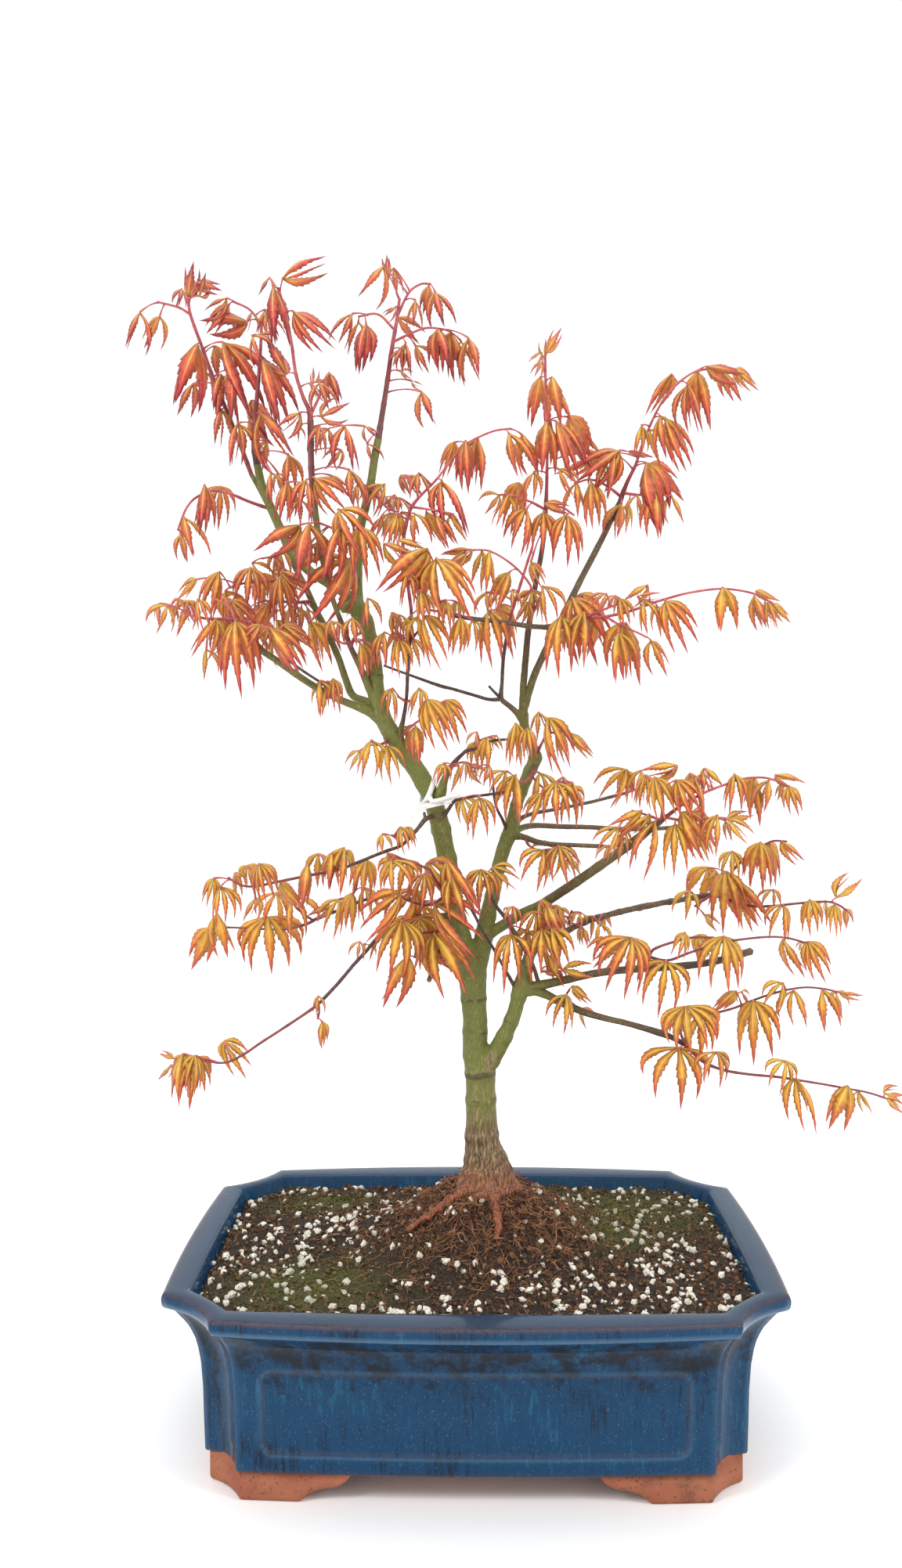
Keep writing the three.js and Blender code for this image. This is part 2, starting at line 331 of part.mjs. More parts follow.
    [[[36.6, 450, 8, 1.2], [37.3, 458, 7, 1.1], [37.8, 468, 6, 1.1], [38.2, 480, 6, 0.8],
      [38.3, 495, 6, 0.75], [38, 510, 6, 0.7], [37.8, 524, 6, 0.65], [37.6, 538, 6, 0.6]],
    [[37.5, 464, 6.5, 0.8], [30, 468, 0, 0.6], [24, 470, -4, 0.5]],
    [[37.8, 466, 6, 0.7], [46, 465, 1, 0.6], [52, 461, -3, 0.5]]],
    [[36.5, 463, 36, 440, 5, 22, -10], [28, 464.5, 25, 441, 5, 20, -7],
      [18.5, 471.5, 12, 456, 3, 22, -4], [24, 477.5, 19, 451, 5, 16, 5],
      [31.5, 483, 26, 468, 5, 24, -6], [44, 484.5, 51.5, 470, 5, 22, -6],
      [48.5, 461.5, 49, 435, 5, 24, -6], [37, 467, 49, 462, 3, 12, -9],
      [38, 543, 45, 556, 3, 12, -3], [35.5, 543, 29, 538, 3, 16, 3],
      [37, 541, 37.5, 550, 3, 16, 0], [36, 538.5, 32, 530.5, 3, 16, -5],
      [35, 530.5, 32, 505.5, 3, 12, 5], [41, 530.5, 47.5, 507.5, 3, 14, -5],
      [38, 508, 36, 482.5, 3, 12, -7], [39.5, 507.5, 42, 486.5, 3, 12, 6],
      [43, 508.5, 51, 477.5, 5, 10, -5], [30, 437.5, 35, 424, 5, 16, -9]]],
  ["shoot_crown_east_foot",
    [[[30, 411, 15, 1.1], [33, 416, 7, 0.7], [35.5, 422, 0, 0.6]]],
    [[36, 425.5, 38, 406, 5, 28, -6], [28, 417, 22, 406, 5, 20, -7]]],
  ["shoot_east_arch",
    [[[47, 412, 9, 1], [50, 410.5, 0, 0.8], [57, 409, -7, 0.75], [68, 409.8, -13, 0.75],
      [80, 412.4, -18, 0.75], [92, 416.6, -23, 0.7], [100, 419, -26, 0.65],
      [110, 421.5, -29, 0.6], [125, 423.4, -33, 0.55], [135, 422.6, -35, 0.55],
      [144, 420.4, -37, 0.5], [151, 416.5, -38, 0.45]],
    [[57, 409, -7, 0.7], [66, 413, -14, 0.6], [74, 416, -20, 0.55]],
    [[50, 410.5, 0, 0.7], [47, 407, -6, 0.6], [45.5, 404, -10, 0.55]],
    [[68, 409.8, -13, 0.6], [74, 406, -20, 0.6], [84, 401.5, -26, 0.5], [89, 399, -28, 0.45]]],
    [[51, 419.5, 64, 386, 5, 24, -8], [45, 410, 42.5, 380, 5, 20, -8],
      [57, 412, 57, 384, 5, 16, -10], [68, 421.5, 62.5, 411, 5, 26, -4],
      [75, 419, 78, 404, 5, 20, -5], [74, 401.5, 74, 376, 5, 18, -9],
      [78, 406.5, 84, 375, 5, 14, 5], [89, 425.5, 77, 417, 3, 12, 6],
      [84, 420, 96, 422, 3, 5, -4], [91, 397, 99, 379.5, 3, 16, 5],
      [52, 409, 50.5, 391, 3, 12, 7], [87, 417.5, 89.5, 400.5, 3, 16, -4],
      [98, 417.5, 110, 391, 5, 22, -5], [94, 414.5, 96, 399, 3, 16, 5],
      [127, 424, 126.5, 402, 3, 14, -3], [144, 422, 156, 416.5, 3, 6, 4],
      [143, 419.5, 149.5, 404, 3, 8, -4], [150, 416.5, 155, 402.5, 5, 18, -3],
      [152.5, 415.5, 161.5, 406, 3, 12, 4]]],
  ["shoot_east_crown",
    [[[75, 467, 20, 1.4], [77, 473, 20, 1.2], [79.5, 479, 19, 1], [83, 486, 18, 0.8],
      [86, 495, 17, 0.7], [90, 505, 15, 0.65], [93.5, 512.5, 13, 0.6], [98, 520, 11, 0.6],
      [104, 526.5, 8, 0.6], [110, 531, 5, 0.55], [117, 534.5, 2, 0.5]],
    [[76, 470, 20, 0.9], [68, 476, 14, 0.6], [60, 479, 9, 0.55], [52, 477, 5, 0.5]],
    [[77, 472, 20, 0.8], [86, 471, 14, 0.6], [93, 472, 9, 0.55], [100, 470, 5, 0.5]]],
    [[75, 493.5, 53, 477, 5, 26, -7], [72, 492, 69, 468, 5, 20, -9],
      [60.5, 478, 62, 454, 5, 18, -5], [53, 477.5, 54, 460, 3, 18, -4],
      [80, 493, 92.5, 490, 3, 6, 5], [88.5, 487, 94, 452, 5, 14, -8],
      [91, 486.5, 107, 467.5, 5, 14, 5], [76, 466.5, 75.5, 449.5, 3, 14, -7],
      [79.5, 466, 78, 451.5, 3, 16, 6], [93, 472, 95, 448.5, 5, 20, -5],
      [101, 470.5, 107.5, 456.5, 3, 16, 4], [84, 471, 85.5, 460, 3, 20, -6],
      [86, 506, 83.5, 490, 5, 16, -5], [90, 503.5, 96, 485, 3, 16, 5],
      [95.5, 510.5, 99, 489, 3, 16, -6], [98, 509.5, 109.5, 482.5, 5, 16, -5],
      [101, 531.5, 87, 511, 5, 10, 4], [109.5, 526, 117, 501.5, 5, 16, -4],
      [114.5, 532, 120, 503, 5, 14, 5], [119, 535, 137.5, 530, 3, 8, -4],
      [127, 532.5, 136, 517, 5, 14, 3]]],
  ["shoot_east_back_twig",
    [[[71, 318.2, 33, 0.9], [78, 320, 37, 0.7], [85, 322.5, 40, 0.6]]],
    [[78.5, 332, 70, 312, 5, 26, -6], [79, 331, 78, 314, 5, 18, 5],
      [86, 331.5, 83, 314, 3, 16, -6]]],
  ["shoot_east_bright",
    [[[96, 306, -29, 1.6], [100, 309, -30, 1], [106, 313.5, -30, 0.8], [113, 317.5, -28, 0.75],
      [120, 321, -26, 0.7], [128, 324, -24, 0.65], [137, 327, -22, 0.6], [148, 327.6, -20, 0.55],
      [157, 325, -19, 0.5], [161, 322.5, -18, 0.45]],
    [[96, 306, -29, 0.9], [97, 315, -34, 0.7], [96, 324, -38, 0.6]],
    [[98, 307.5, -29.5, 0.8], [110, 305.5, -35, 0.6], [120, 307, -39, 0.55],
      [129, 306.5, -42, 0.5]],
    [[96, 306, -29, 0.8], [88, 309, -34, 0.6], [81, 311, -37, 0.5]]],
    [[88, 329, 84, 312, 5, 20, 5], [92.5, 328, 98, 304, 5, 22, -6],
      [104, 326.5, 113, 304, 5, 22, -5], [110.5, 330, 107, 318, 5, 18, 5],
      [113, 327, 117, 303, 5, 20, -7], [93, 305, 88, 275, 5, 30, -10],
      [103, 304, 103, 277, 5, 22, -8], [106, 310, 119, 285, 5, 20, -6],
      [115, 301, 120, 284, 5, 18, 5], [124.5, 308.5, 124, 287, 5, 18, -6],
      [104, 334, 85, 331.5, 3, 7, 4], [118, 332.5, 128, 323.5, 3, 8, 5],
      [117, 330, 118.5, 319, 3, 14, -4], [130, 306.5, 143, 308, 3, 8, 4],
      [130, 306, 140, 294, 3, 10, -4], [129, 305.5, 132, 295, 3, 10, -3],
      [86, 311, 69, 303, 3, 10, -4], [90, 309, 79, 300, 5, 18, -7],
      [74, 302, 67, 286, 5, 26, -6], [78, 300, 79, 288, 3, 16, 5],
      [133, 329.5, 130, 308.5, 5, 22, -4], [143, 326.5, 145.5, 303, 5, 14, 4],
      [150.5, 326, 150, 310, 3, 14, -4], [157.5, 324, 155, 315.5, 3, 12, 4],
      [161, 323, 165.5, 307.5, 5, 20, -3], [154, 329, 169.5, 325, 3, 10, 3]]],
  ["shoot_east_olive_end",
    [[[66, 292.8, -27, 1], [71, 292.6, -30, 0.7], [75, 293, -32, 0.55]]],
    [[69, 293, 66, 284, 3, 20, -4], [77, 297, 74, 283, 3, 18, 5]]],
  ["shoot_mid_hanging",
    [[[27, 297.2, 2, 1], [28.5, 293.5, -6, 0.6], [34, 290.8, -12, 0.6], [41, 291, -16, 0.5]]],
    [[36, 291, 31, 271, 5, 34, -4], [44, 293, 47, 273, 5, 32, -4],
      [50, 287.5, 55, 278, 3, 18, 5]]],
  ["shoot_far_east",
    [[[122, 268, 20, 1.5], [127, 272, 18, 0.9], [133, 281, 15, 0.7], [140, 287.5, 12, 0.65],
      [147, 292.5, 10, 0.6], [153, 295.3, 8, 0.55], [160, 295, 6, 0.5]],
    [[122, 268, 20, 1], [132, 264.5, 14, 0.7], [142, 262, 9, 0.7], [152, 262, 5, 0.65],
      [162, 263, 2, 0.6], [173, 264, 0, 0.6], [182, 264, -2, 0.55], [187, 262, -3, 0.5],
      [190.5, 259.5, -4, 0.45]],
    [[122, 268, 20, 0.8], [116, 264, 14, 0.6], [113, 262, 11, 0.5]]],
    [[128.5, 279.5, 128, 247, 5, 22, -10], [124, 279, 118, 274, 3, 14, 5],
      [134, 275.5, 152, 252, 5, 12, -7], [110.5, 270, 108.5, 254.5, 3, 24, -5],
      [118, 257.5, 125, 249, 3, 12, -4], [132, 290, 131, 273, 5, 30, -4],
      [146.5, 294.5, 147, 268.5, 5, 20, -4], [151, 294, 154, 271.5, 5, 18, 4],
      [143.5, 285.5, 141, 271.5, 3, 22, 5], [157, 295, 168.5, 284.5, 3, 7, -3],
      [153, 270.5, 153, 259, 5, 44, -4], [158, 262.5, 157, 241, 5, 30, -6],
      [171.5, 265, 171, 246, 5, 20, -4], [179.5, 264.5, 180, 251.5, 3, 16, 4],
      [184, 262.5, 185, 245.5, 5, 16, -3], [190, 260, 191, 250, 3, 14, 3],
      [185.5, 266.5, 198.5, 276, 3, 8, 4], [137, 267, 142, 247.5, 5, 18, 6]]],
  ["shoot_mid_pair",
    [[[50, 250.7, 0, 1], [49, 256, -7, 0.6], [50.5, 260, -10, 0.5]]],
    [[53, 259, 49, 250, 3, 22, -4], [46.5, 257, 46, 249, 3, 22, 4],
      [56.5, 250.5, 58.5, 241.5, 3, 14, -5]]],
  ["shoot_mid_trio",
    [[[63, 255.9, 5, 0.9], [64, 253, -1, 0.6], [65, 252, -4, 0.5]]],
    [[61, 257, 60, 244.5, 3, 16, 4], [64.5, 253.5, 63, 240.5, 3, 18, -4],
      [66, 258, 67.5, 248.5, 3, 14, 5]]],
  ["shoot_centre_gold",
    [[[28.5, 236, -6, 1.2], [31, 242, -15, 0.8], [34, 247, -21, 0.7], [37, 253, -26, 0.6],
      [37, 260, -29, 0.5]]],
    [[32, 259, 29, 241, 5, 16, 4], [35, 250, 35, 229, 5, 26, -8], [40, 250.5, 46, 230, 5, 20, -7],
      [38, 262, 44, 249, 3, 14, -5], [34, 265, 36, 245, 3, 10, 5], [38, 237, 47, 222, 3, 12, -6]]],
  ["shoot_crossing_top",
    [[[8.6, 268.5, -16, 0.8], [7, 275, -17, 0.6], [5, 279.5, -18, 0.5]]],
    [[4, 281, 2, 262, 5, 30, -5], [10, 282, 20, 272, 5, 22, -4]]],
  ["shoot_crossing_low",
    [[[20, 250, -21, 1], [18.5, 252, -25, 0.6], [19, 254, -28, 0.5]]],
    [[19, 247.5, 15, 221, 5, 28, -5], [20.5, 262, 22, 253, 3, 24, -4]]],
  ["shoot_fork_front",
    [[[-11, 266, 2, 1.6], [-14, 268, -10, 0.9], [-17, 272, -20, 0.8], [-20, 277, -27, 0.7],
      [-22, 281, -30, 0.6]],
    [[-14, 268, -10, 0.8], [-22, 263, -20, 0.7], [-30, 264, -28, 0.7], [-37, 267, -33, 0.6]],
    [[-17, 272, -20, 0.7], [-11, 278, -26, 0.6], [-12, 284, -30, 0.55]],
    [[-22, 281, -30, 0.6], [-31, 285, -34, 0.55], [-40, 288, -37, 0.5]]],
    [[-25, 279, -27, 262, 5, 26, -6], [-13, 285.5, 2, 263, 5, 16, -6],
      [-11, 277.5, -5, 258, 5, 26, -10], [-20, 262.5, -3, 240, 5, 28, -10],
      [-37, 268.5, -53, 247, 5, 20, -8], [-42, 286, -41, 266, 5, 44, -6],
      [-44, 289.5, -34, 283, 3, 6, 5]]],
  ["shoot_trunk_front",
    [[[-9, 250.5, 1, 1.4], [-15, 249.5, -13, 0.8], [-22, 249, -21, 0.6], [-28, 247, -26, 0.6],
      [-29.5, 240, -28, 0.55], [-30.2, 235.5, -29, 0.5]],
    [[-28, 247, -26, 0.6], [-32, 251.5, -30, 0.6], [-36, 254.5, -34, 0.5]]],
    [[-37, 255, -44, 228, 7, 34, -6], [-34, 236, -46, 213, 3, 8, -5],
      [-20, 248, -6, 222, 5, 26, -8], [-24, 243, -14, 232, 3, 14, 5]]],
  ["shoot_west_back",
    [[[-81, 255.8, 38, 0.9], [-84, 254, 39, 0.8], [-90, 252, 41, 0.7], [-98, 250.6, 43, 0.6],
      [-110, 250.8, 46, 0.55], [-126, 251.6, 49, 0.5], [-134, 250.8, 51, 0.45]],
    [[-82, 255, 38, 0.7], [-86, 257.5, 36, 0.6], [-91, 261.5, 34, 0.5]]],
    [[-93, 267.5, -94, 244, 5, 34, -5], [-106, 257, -103, 227.5, 7, 48, -4],
      [-132, 258.5, -124.5, 237, 3, 14, -5], [-136, 250.5, -145, 229.5, 3, 14, 4]]],
  ["shoot_west_back_mid",
    [[[-62, 263.5, 30, 0.9], [-62, 267.5, 24, 0.6], [-60, 272, 20, 0.5]]],
    [[-69, 266, -72, 246, 5, 24, -6], [-62, 269, -63, 249, 5, 14, -8],
      [-56, 272, -57, 253, 5, 20, -6], [-73, 262.5, -85, 258, 3, 8, 5],
      [-55, 286.5, -58, 264, 5, 20, -10]]],
  ["shoot_west_mid",
    [[[-64, 283, -28, 0.9], [-72, 280.6, -31, 0.8], [-85, 278.2, -35, 0.75],
      [-100, 275.2, -40, 0.7], [-113, 272.7, -44, 0.6], [-120, 273.6, -46, 0.55],
      [-126, 277.5, -48, 0.5]]],
    [[-133.5, 277, -138, 262, 5, 18, -4], [-130, 272.5, -133, 252, 7, 30, -6],
      [-122.5, 279.5, -121, 265, 5, 18, 5], [-110, 284.5, -107, 264, 7, 26, -6],
      [-85, 284, -87.5, 261.5, 3, 8, -5], [-72.5, 290, -72.5, 271.5, 3, 14, -4],
      [-66, 292.5, -68, 268, 5, 18, -6], [-64.5, 291, -61.5, 275, 5, 16, 5],
      [-99, 274, -86.5, 259.5, 5, 12, 5], [-112, 266.5, -118.5, 254, 3, 10, 5]]],
  ["shoot_west_near",
    [[[-37, 293.5, -17, 0.9], [-39, 297, -22, 0.6], [-41.5, 299, -25, 0.5]]],
    [[-37, 303, -36, 289.5, 5, 20, -5], [-46.5, 299.5, -46, 289, 3, 20, -4]]],
  ["shoot_low_west",
    [[[-78, 213.8, -48, 0.9], [-82, 210.3, -50, 0.8], [-90, 204.8, -53, 0.75],
      [-100, 198.2, -57, 0.7], [-110, 191.8, -60, 0.7], [-119, 185.7, -63, 0.7],
      [-128, 181.6, -65, 0.6], [-137, 182, -67, 0.55], [-145, 184, -69, 0.5]],
    [[-80, 212, -49, 0.7], [-79.5, 208, -51, 0.55], [-80.5, 204, -52, 0.5]]],
    [[-129, 192, -117, 173, 5, 22, 5], [-150.5, 186, -154, 158, 5, 18, -5],
      [-144, 185, -145, 164, 5, 20, -7], [-147, 183, -148, 157, 5, 12, 5],
      [-141, 184, -139.5, 165, 5, 18, 6], [-155, 183.5, -163, 186, 3, 8, -3],
      [-156.5, 179.5, -163.5, 171.5, 3, 10, 4], [-80, 216, -80.5, 205, 3, 16, -3],
      [-78, 202.5, -79, 188, 5, 14, -3]]],
  ["shoot_low_west_bud",
    [[[-56, 238.2, -36, 0.9], [-57, 242.5, -40, 0.55]]],
    [[-58.5, 244, -60, 234, 3, 23, -4.5]]],
  ["shoot_stub_limb",
    [[[88, 230.1, -27, 1.1], [90, 236, -33, 0.8], [92, 239.8, -36, 0.75], [104, 244.2, -39, 0.65],
      [112, 246, -41, 0.6], [123, 246, -43, 0.5]],
    [[90, 236, -33, 0.8], [84, 240, -38, 0.6], [81, 243, -41, 0.5]],
    [[90, 236, -33, 0.8], [99, 234.2, -37, 0.7], [110, 238, -40, 0.65], [125, 243, -43, 0.6],
      [135, 244.7, -45, 0.6], [150, 246.2, -48, 0.55], [160, 245.7, -50, 0.5],
      [170, 243, -52, 0.45]]],
    [[81, 246, 77, 214, 7, 42, -6], [98.5, 233.5, 93, 204.5, 5, 40, -7],
      [108, 248.5, 104, 233.5, 5, 22, -4], [115, 247, 118, 232.5, 5, 20, 4],
      [128, 246.5, 129, 217, 7, 34, -6], [158, 244.5, 170.5, 226, 3, 10, -4],
      [167.5, 243.5, 166, 238.5, 3, 20, 3], [171, 243.5, 179, 222, 5, 20, -4],
      [75, 243, 61, 230, 3, 10, 5]]],
  ["shoot_stub_foot",
    [[[45, 223.8, -15, 1], [45, 227.5, -21, 0.6], [44, 229, -24, 0.5]]],
    [[46, 229.5, 61, 226.5, 3, 14, -4], [37, 228, 44, 227, 3, 8, 5]]],
  ["shoot_low_east_near",
    [[[45, 212.6, -18, 1], [47, 216, -24, 0.6], [49, 219, -27, 0.5]]],
    [[51, 221, 60.5, 212, 5, 14, -5], [47.5, 216.5, 46, 196, 5, 26, -7],
      [54, 209, 58, 198.5, 3, 16, 5]]],
  ["shoot_low_east",
    [[[108, 191, -31, 1.3], [112, 187, -32, 1], [116, 183, -34, 0.9], [122, 179.7, -36, 0.8],
      [130, 177.2, -38, 0.75], [142, 175.4, -41, 0.7], [155, 174.2, -44, 0.7],
      [168, 172.2, -46, 0.65], [180, 170.2, -47, 0.6], [192, 168, -48, 0.55],
      [202, 166, -48, 0.5], [214, 162, -48, 0.45]],
    [[109, 190, -31, 0.9], [106, 197, -39, 0.7], [107, 204, -45, 0.6]]],
    [[108.5, 210.5, 112, 184, 7, 46, -6], [105, 189, 105, 157, 5, 46, -5],
      [124.5, 187, 126, 167.5, 5, 48, -5], [159.5, 182.5, 156, 164, 5, 40, -4],
      [165, 173.5, 176, 144, 5, 18, -5], [191, 169.5, 182, 147, 3, 14, -4],
      [197, 166.5, 204, 155, 5, 16, 4], [210, 165.5, 221, 165, 3, 8, 4],
      [211, 163, 220, 155, 3, 8, -3]]],
  ["shoot_low_east_upper",
    [[[95, 197, -29, 1.1], [104, 202.5, -24, 0.75], [114, 206, -20, 0.7], [125, 207.5, -17, 0.65],
      [134, 210, -15, 0.6], [142, 213.3, -14, 0.6], [150, 216.2, -14, 0.6], [160, 219, -14, 0.55],
      [170, 220.3, -14, 0.5], [180, 219.3, -14, 0.45], [186, 217.8, -14, 0.45]]],
    [[143, 213, 144, 180, 5, 26, -8], [158, 222.5, 152, 204.5, 5, 32, -4],
      [163.5, 218.5, 171, 199.5, 5, 34, -4], [134, 218.5, 122, 208, 5, 14, -4],
      [137, 218, 141, 210, 3, 24, 4], [178, 218.5, 180.5, 197, 3, 12, -3],
      [185, 217.5, 188.5, 203.5, 3, 16, 4], [187, 217.5, 199.5, 215.5, 3, 4, -3]]],
  ["shoot_side_limb_end",
    [[[16.5, 347.6, -14, 0.7], [20, 347.6, -15, 0.6], [24, 347.2, -16, 0.5]]],
    [[22, 356, 19.5, 335, 5, 17, -4], [23, 348, 25, 334, 3, 16, 5],
      [28, 353, 30, 336, 5, 18, -7]]],
  ["shoot_side_limb_mid",
    [[[3, 343.9, -14.5, 0.8], [3.2, 346, -18, 0.65], [3.6, 347.2, -20.5, 0.5]]],
    [[2, 351.5, 1, 343, 3, 22, -3], [7.5, 348.5, 7, 331.5, 5, 14, -5],
      [12.5, 349.5, 15.5, 342, 3, 16, 4]]],
  ["shoot_side_limb_foot",
    [[[-11.5, 333, -11, 1.1], [-8, 335.5, -18, 0.6], [-3, 336, -21, 0.6], [2, 333, -24, 0.5]]],
    [[-15, 335.5, -19, 324, 5, 30, -6], [-7, 334, -11, 321, 3, 20, 5],
      [-4, 336, -7, 325, 5, 18, -5], [8.5, 334.5, 8.5, 322.5, 5, 22, -5],
      [-3, 333, 5, 325, 3, 14, 5]]],
  ["shoot_leader_mid",
    [[[31, 335, 11, 1.3], [30, 329, 0, 0.8], [26, 326, -8, 0.6], [21, 327, -13, 0.5]],
    [[30, 329, 0, 0.7], [36, 323, -6, 0.6], [43, 322.5, -11, 0.5]]],
    [[17, 331.5, 13, 316.5, 5, 27, -3.5], [22, 329.5, 24, 303, 5, 18, -7],
      [34, 330.5, 32, 310, 5, 28, -6], [42.5, 325.5, 42, 302, 5, 32, -5],
      [46, 328, 52.5, 312, 3, 16, 5], [51, 325.5, 55, 315, 3, 6, -4],
      [35, 320, 29, 303, 5, 18, -9]]],
  ["shoot_leader_east",
    [[[32, 339.5, 12, 1.2], [35, 345, 4, 0.7], [38, 350, -2, 0.6], [44, 351.5, -6, 0.5]]],
    [[33.5, 361.5, 32.5, 347, 3, 22, -4], [38, 358.5, 44, 329, 5, 16, -7],
      [44, 352.5, 46, 335, 5, 16, 5], [50, 350.5, 61, 338, 3, 6, -3]]],
  ["shoot_cross_twig",
    [[[4, 319, -14, 0.8], [3.5, 319, -19, 0.55]]],
    [[3, 318, 0.5, 297, 5, 26, -4]]],
  ["shoot_leader_west",
    [[[-41, 348, -6, 1.2], [-46, 345.8, -13, 0.7], [-49, 345, -17, 0.5]]],
    [[-52, 347.5, -57, 327.5, 5, 34, -4], [-44, 344.5, -42.5, 325, 5, 28, -6],
      [-58, 342, -63, 332, 3, 16, 4]]],
  ["shoot_leader_inner",
    [[[-38, 348, -5, 1.1], [-34.5, 351, -12, 0.6], [-30, 355.5, -16, 0.6], [-25, 359, -19, 0.5]]],
    [[-29, 354.5, -28, 336.5, 5, 14, -4], [-23.5, 368.5, -15, 345.5, 5, 18, -4]]],
  ["shoot_thin_stem_pair",
    [[[-33.9, 367.2, -14, 0.9], [-38, 369.8, -18, 0.5]],
    [[-33.9, 367.2, -14, 0.9], [-30, 368, -18, 0.5]]],
    [[-41, 374, -40, 357.5, 5, 16, -3], [-27, 374, -31, 361, 5, 22, -4]]],
];

const { Manifold, Mesh: SolidMesh } = await loadSolids();

async function loadSolids() {
  const library = await loadManifold();
  library.setup();
  return library;
}

// A closed surface under construction: corner points and triangles that turn anticlockwise seen
// from outside.
class Surface {
  constructor() {
    this.points = [];
    this.triangles = [];
  }

  add(point) {
    return this.points.push(point) - 1;
  }

  ring(points) {
    return points.map((point) => this.add(point));
  }

  face(a, b, c) {
    this.triangles.push(a, b, c);
  }

  // Joins two rings of equal length; `upper` lies further along the direction they turn round.
  band(lower, upper) {
    lower.forEach((a, i) => {
      const j = (i + 1) % lower.length;
      this.face(a, lower[j], upper[j]);
      this.face(a, upper[j], upper[i]);
    });
  }

  // Closes a ring with triangles to one point.
  fan(ring, apex, flipped = false) {
    ring.forEach((a, i) => {
      const b = ring[(i + 1) % ring.length];
      if (flipped) this.face(b, a, apex);
      else this.face(a, b, apex);
    });
  }

  solid() {
    const vertProperties = new Float32Array(this.points.flatMap((p) => [p.x, p.y, p.z]));
    return new Manifold(
      new SolidMesh({
        numProp: 3, vertProperties, triVerts: new Uint32Array(this.triangles), tolerance: JOIN_TOLERANCE,
      }),
    );
  }
}

// A repeatable draw of numbers in [0, 1).
function seededRandom(seed) {
  let state = seed >>> 0;
  return () => {
    state = (state + 0x6d2b79f5) >>> 0;
    let t = Math.imul(state ^ (state >>> 15), 1 | state);
    t = (t + Math.imul(t ^ (t >>> 7), 61 | t)) ^ t;
    return ((t ^ (t >>> 14)) >>> 0) / 4294967296;
  };
}

function vector(x, y, z) {
  return new THREE.Vector3(x, y, z);
}

function union(parts) {
  return parts.reduce((whole, part) => whole.add(part));
}

// The biggest of the pieces that a cut leaves.
function largestBody(solid) {
  return solid.decompose().sort((a, b) => b.volume() - a.volume())[0];
}

// Level rings of the pot: a rectangle with bowed sides and scooped corners, moved in by `inset`.
function potRing(z, inset, longBow, shortBow, scoop) {
  const halfWidth = RIM_WIDTH / 2 - inset;
  const halfDepth = RIM_DEPTH / 2 - inset;
  const cut = RIM_CORNER_CUT - (2 - Math.SQRT2) * inset;
  const sides = [
    { nx: 1, ny: 0, reach: halfWidth, half: halfDepth - cut, bow: shortBow },
    { nx: 0, ny: 1, reach: halfDepth, half: halfWidth - cut, bow: longBow },
    { nx: -1, ny: 0, reach: halfWidth, half: halfDepth - cut, bow: shortBow },
    { nx: 0, ny: -1, reach: halfDepth, half: halfWidth - cut, bow: longBow },
  ];
  const onSide = ({ nx, ny, reach, half, bow }, s) => {
    const out = reach + bow * (1 - s * s);
    return vector(nx * out - ny * half * s, ny * out + nx * half * s, z);
  };
  return sides.flatMap((side, i) => {
    const next = sides[(i + 1) % sides.length];
    const diagonal = vector(side.nx + next.nx, side.ny + next.ny, 0).normalize();
    const from = onSide(side, 1);
    const to = onSide(next, -1);
    const corner = [0.18, 0.5, 0.82].map((t) =>
      from.clone().lerp(to, t).addScaledVector(diagonal, -scoop * 4 * t * (1 - t)),
    );
    return [...[-1, -0.4, 0.4, 1].map((s) => onSide(side, s)), ...corner];
  });
}

// A solid stacked from level rings, closed flat at both ends.
function stack(rings) {
  const surface = new Surface();
  const laid = rings.map((points) => surface.ring(points));
  for (let i = 1; i < laid.length; i++) surface.band(laid[i - 1], laid[i]);
  const first = rings[0][0].z;
  const last = rings[rings.length - 1][0].z;
  surface.fan(laid[0], surface.add(vector(0, 0, first)), true);
  surface.fan(laid[laid.length - 1], surface.add(vector(0, 0, last)));
  return surface.solid();
}

// Outside of the pot from the underside up: [z, inset, long bow].
const BODY_PROFILE = [
  [BODY_BOTTOM, BODY_INSET + 0.7, 3.2],
  [BODY_BOTTOM + 1.8, BODY_INSET, 3.4],
  [50, 17.5, 3.6],
  [64, 15.7, 4.4],
  [75, 12, 5.4],
];
const LIP_PROFILE = [
  [83, 6, 6.4],
  [85.2, 1.4, LONG_SIDE_BOW],
  [86.6, 0.2, LONG_SIDE_BOW],
  [91, 0.2, LONG_SIDE_BOW],
  [RIM_TOP, 1.6, LONG_SIDE_BOW],
];

// Inner face of the wall from the floor up: [z, inset].
const INNER_PROFILE = [
  [FLOOR_TOP, OPENING_INSET + 15.5],
  [FLOOR_TOP + 3, OPENING_INSET + 12.4],
  [62, OPENING_INSET + 9.5],
  [78, OPENING_INSET + 4],
  [SOIL_EDGE_TOP, OPENING_INSET + 0.6],
  [RIM_TOP + 1, OPENING_INSET - 1.4],
];

function outerRing([z, inset, longBow], moreInset = 0) {
  return potRing(z, inset + moreInset, longBow, SHORT_SIDE_BOW, RIM_CORNER_SCOOP);
}

function innerRing(z, inset) {
  return potRing(z, inset, 2.5, 1, 0.8);
}

// How far the inner face of the wall lies inside the rim's edge at height z.
function innerInset(z) {
  const above = INNER_PROFILE.findIndex(([level]) => level >= z);
  if (above <= 0) return INNER_PROFILE[Math.max(above, 0)][1];
  const [[z0, inset0], [z1, inset1]] = INNER_PROFILE.slice(above - 1, above + 1);
  return THREE.MathUtils.mapLinear(z, z0, z1, inset0, inset1);
}

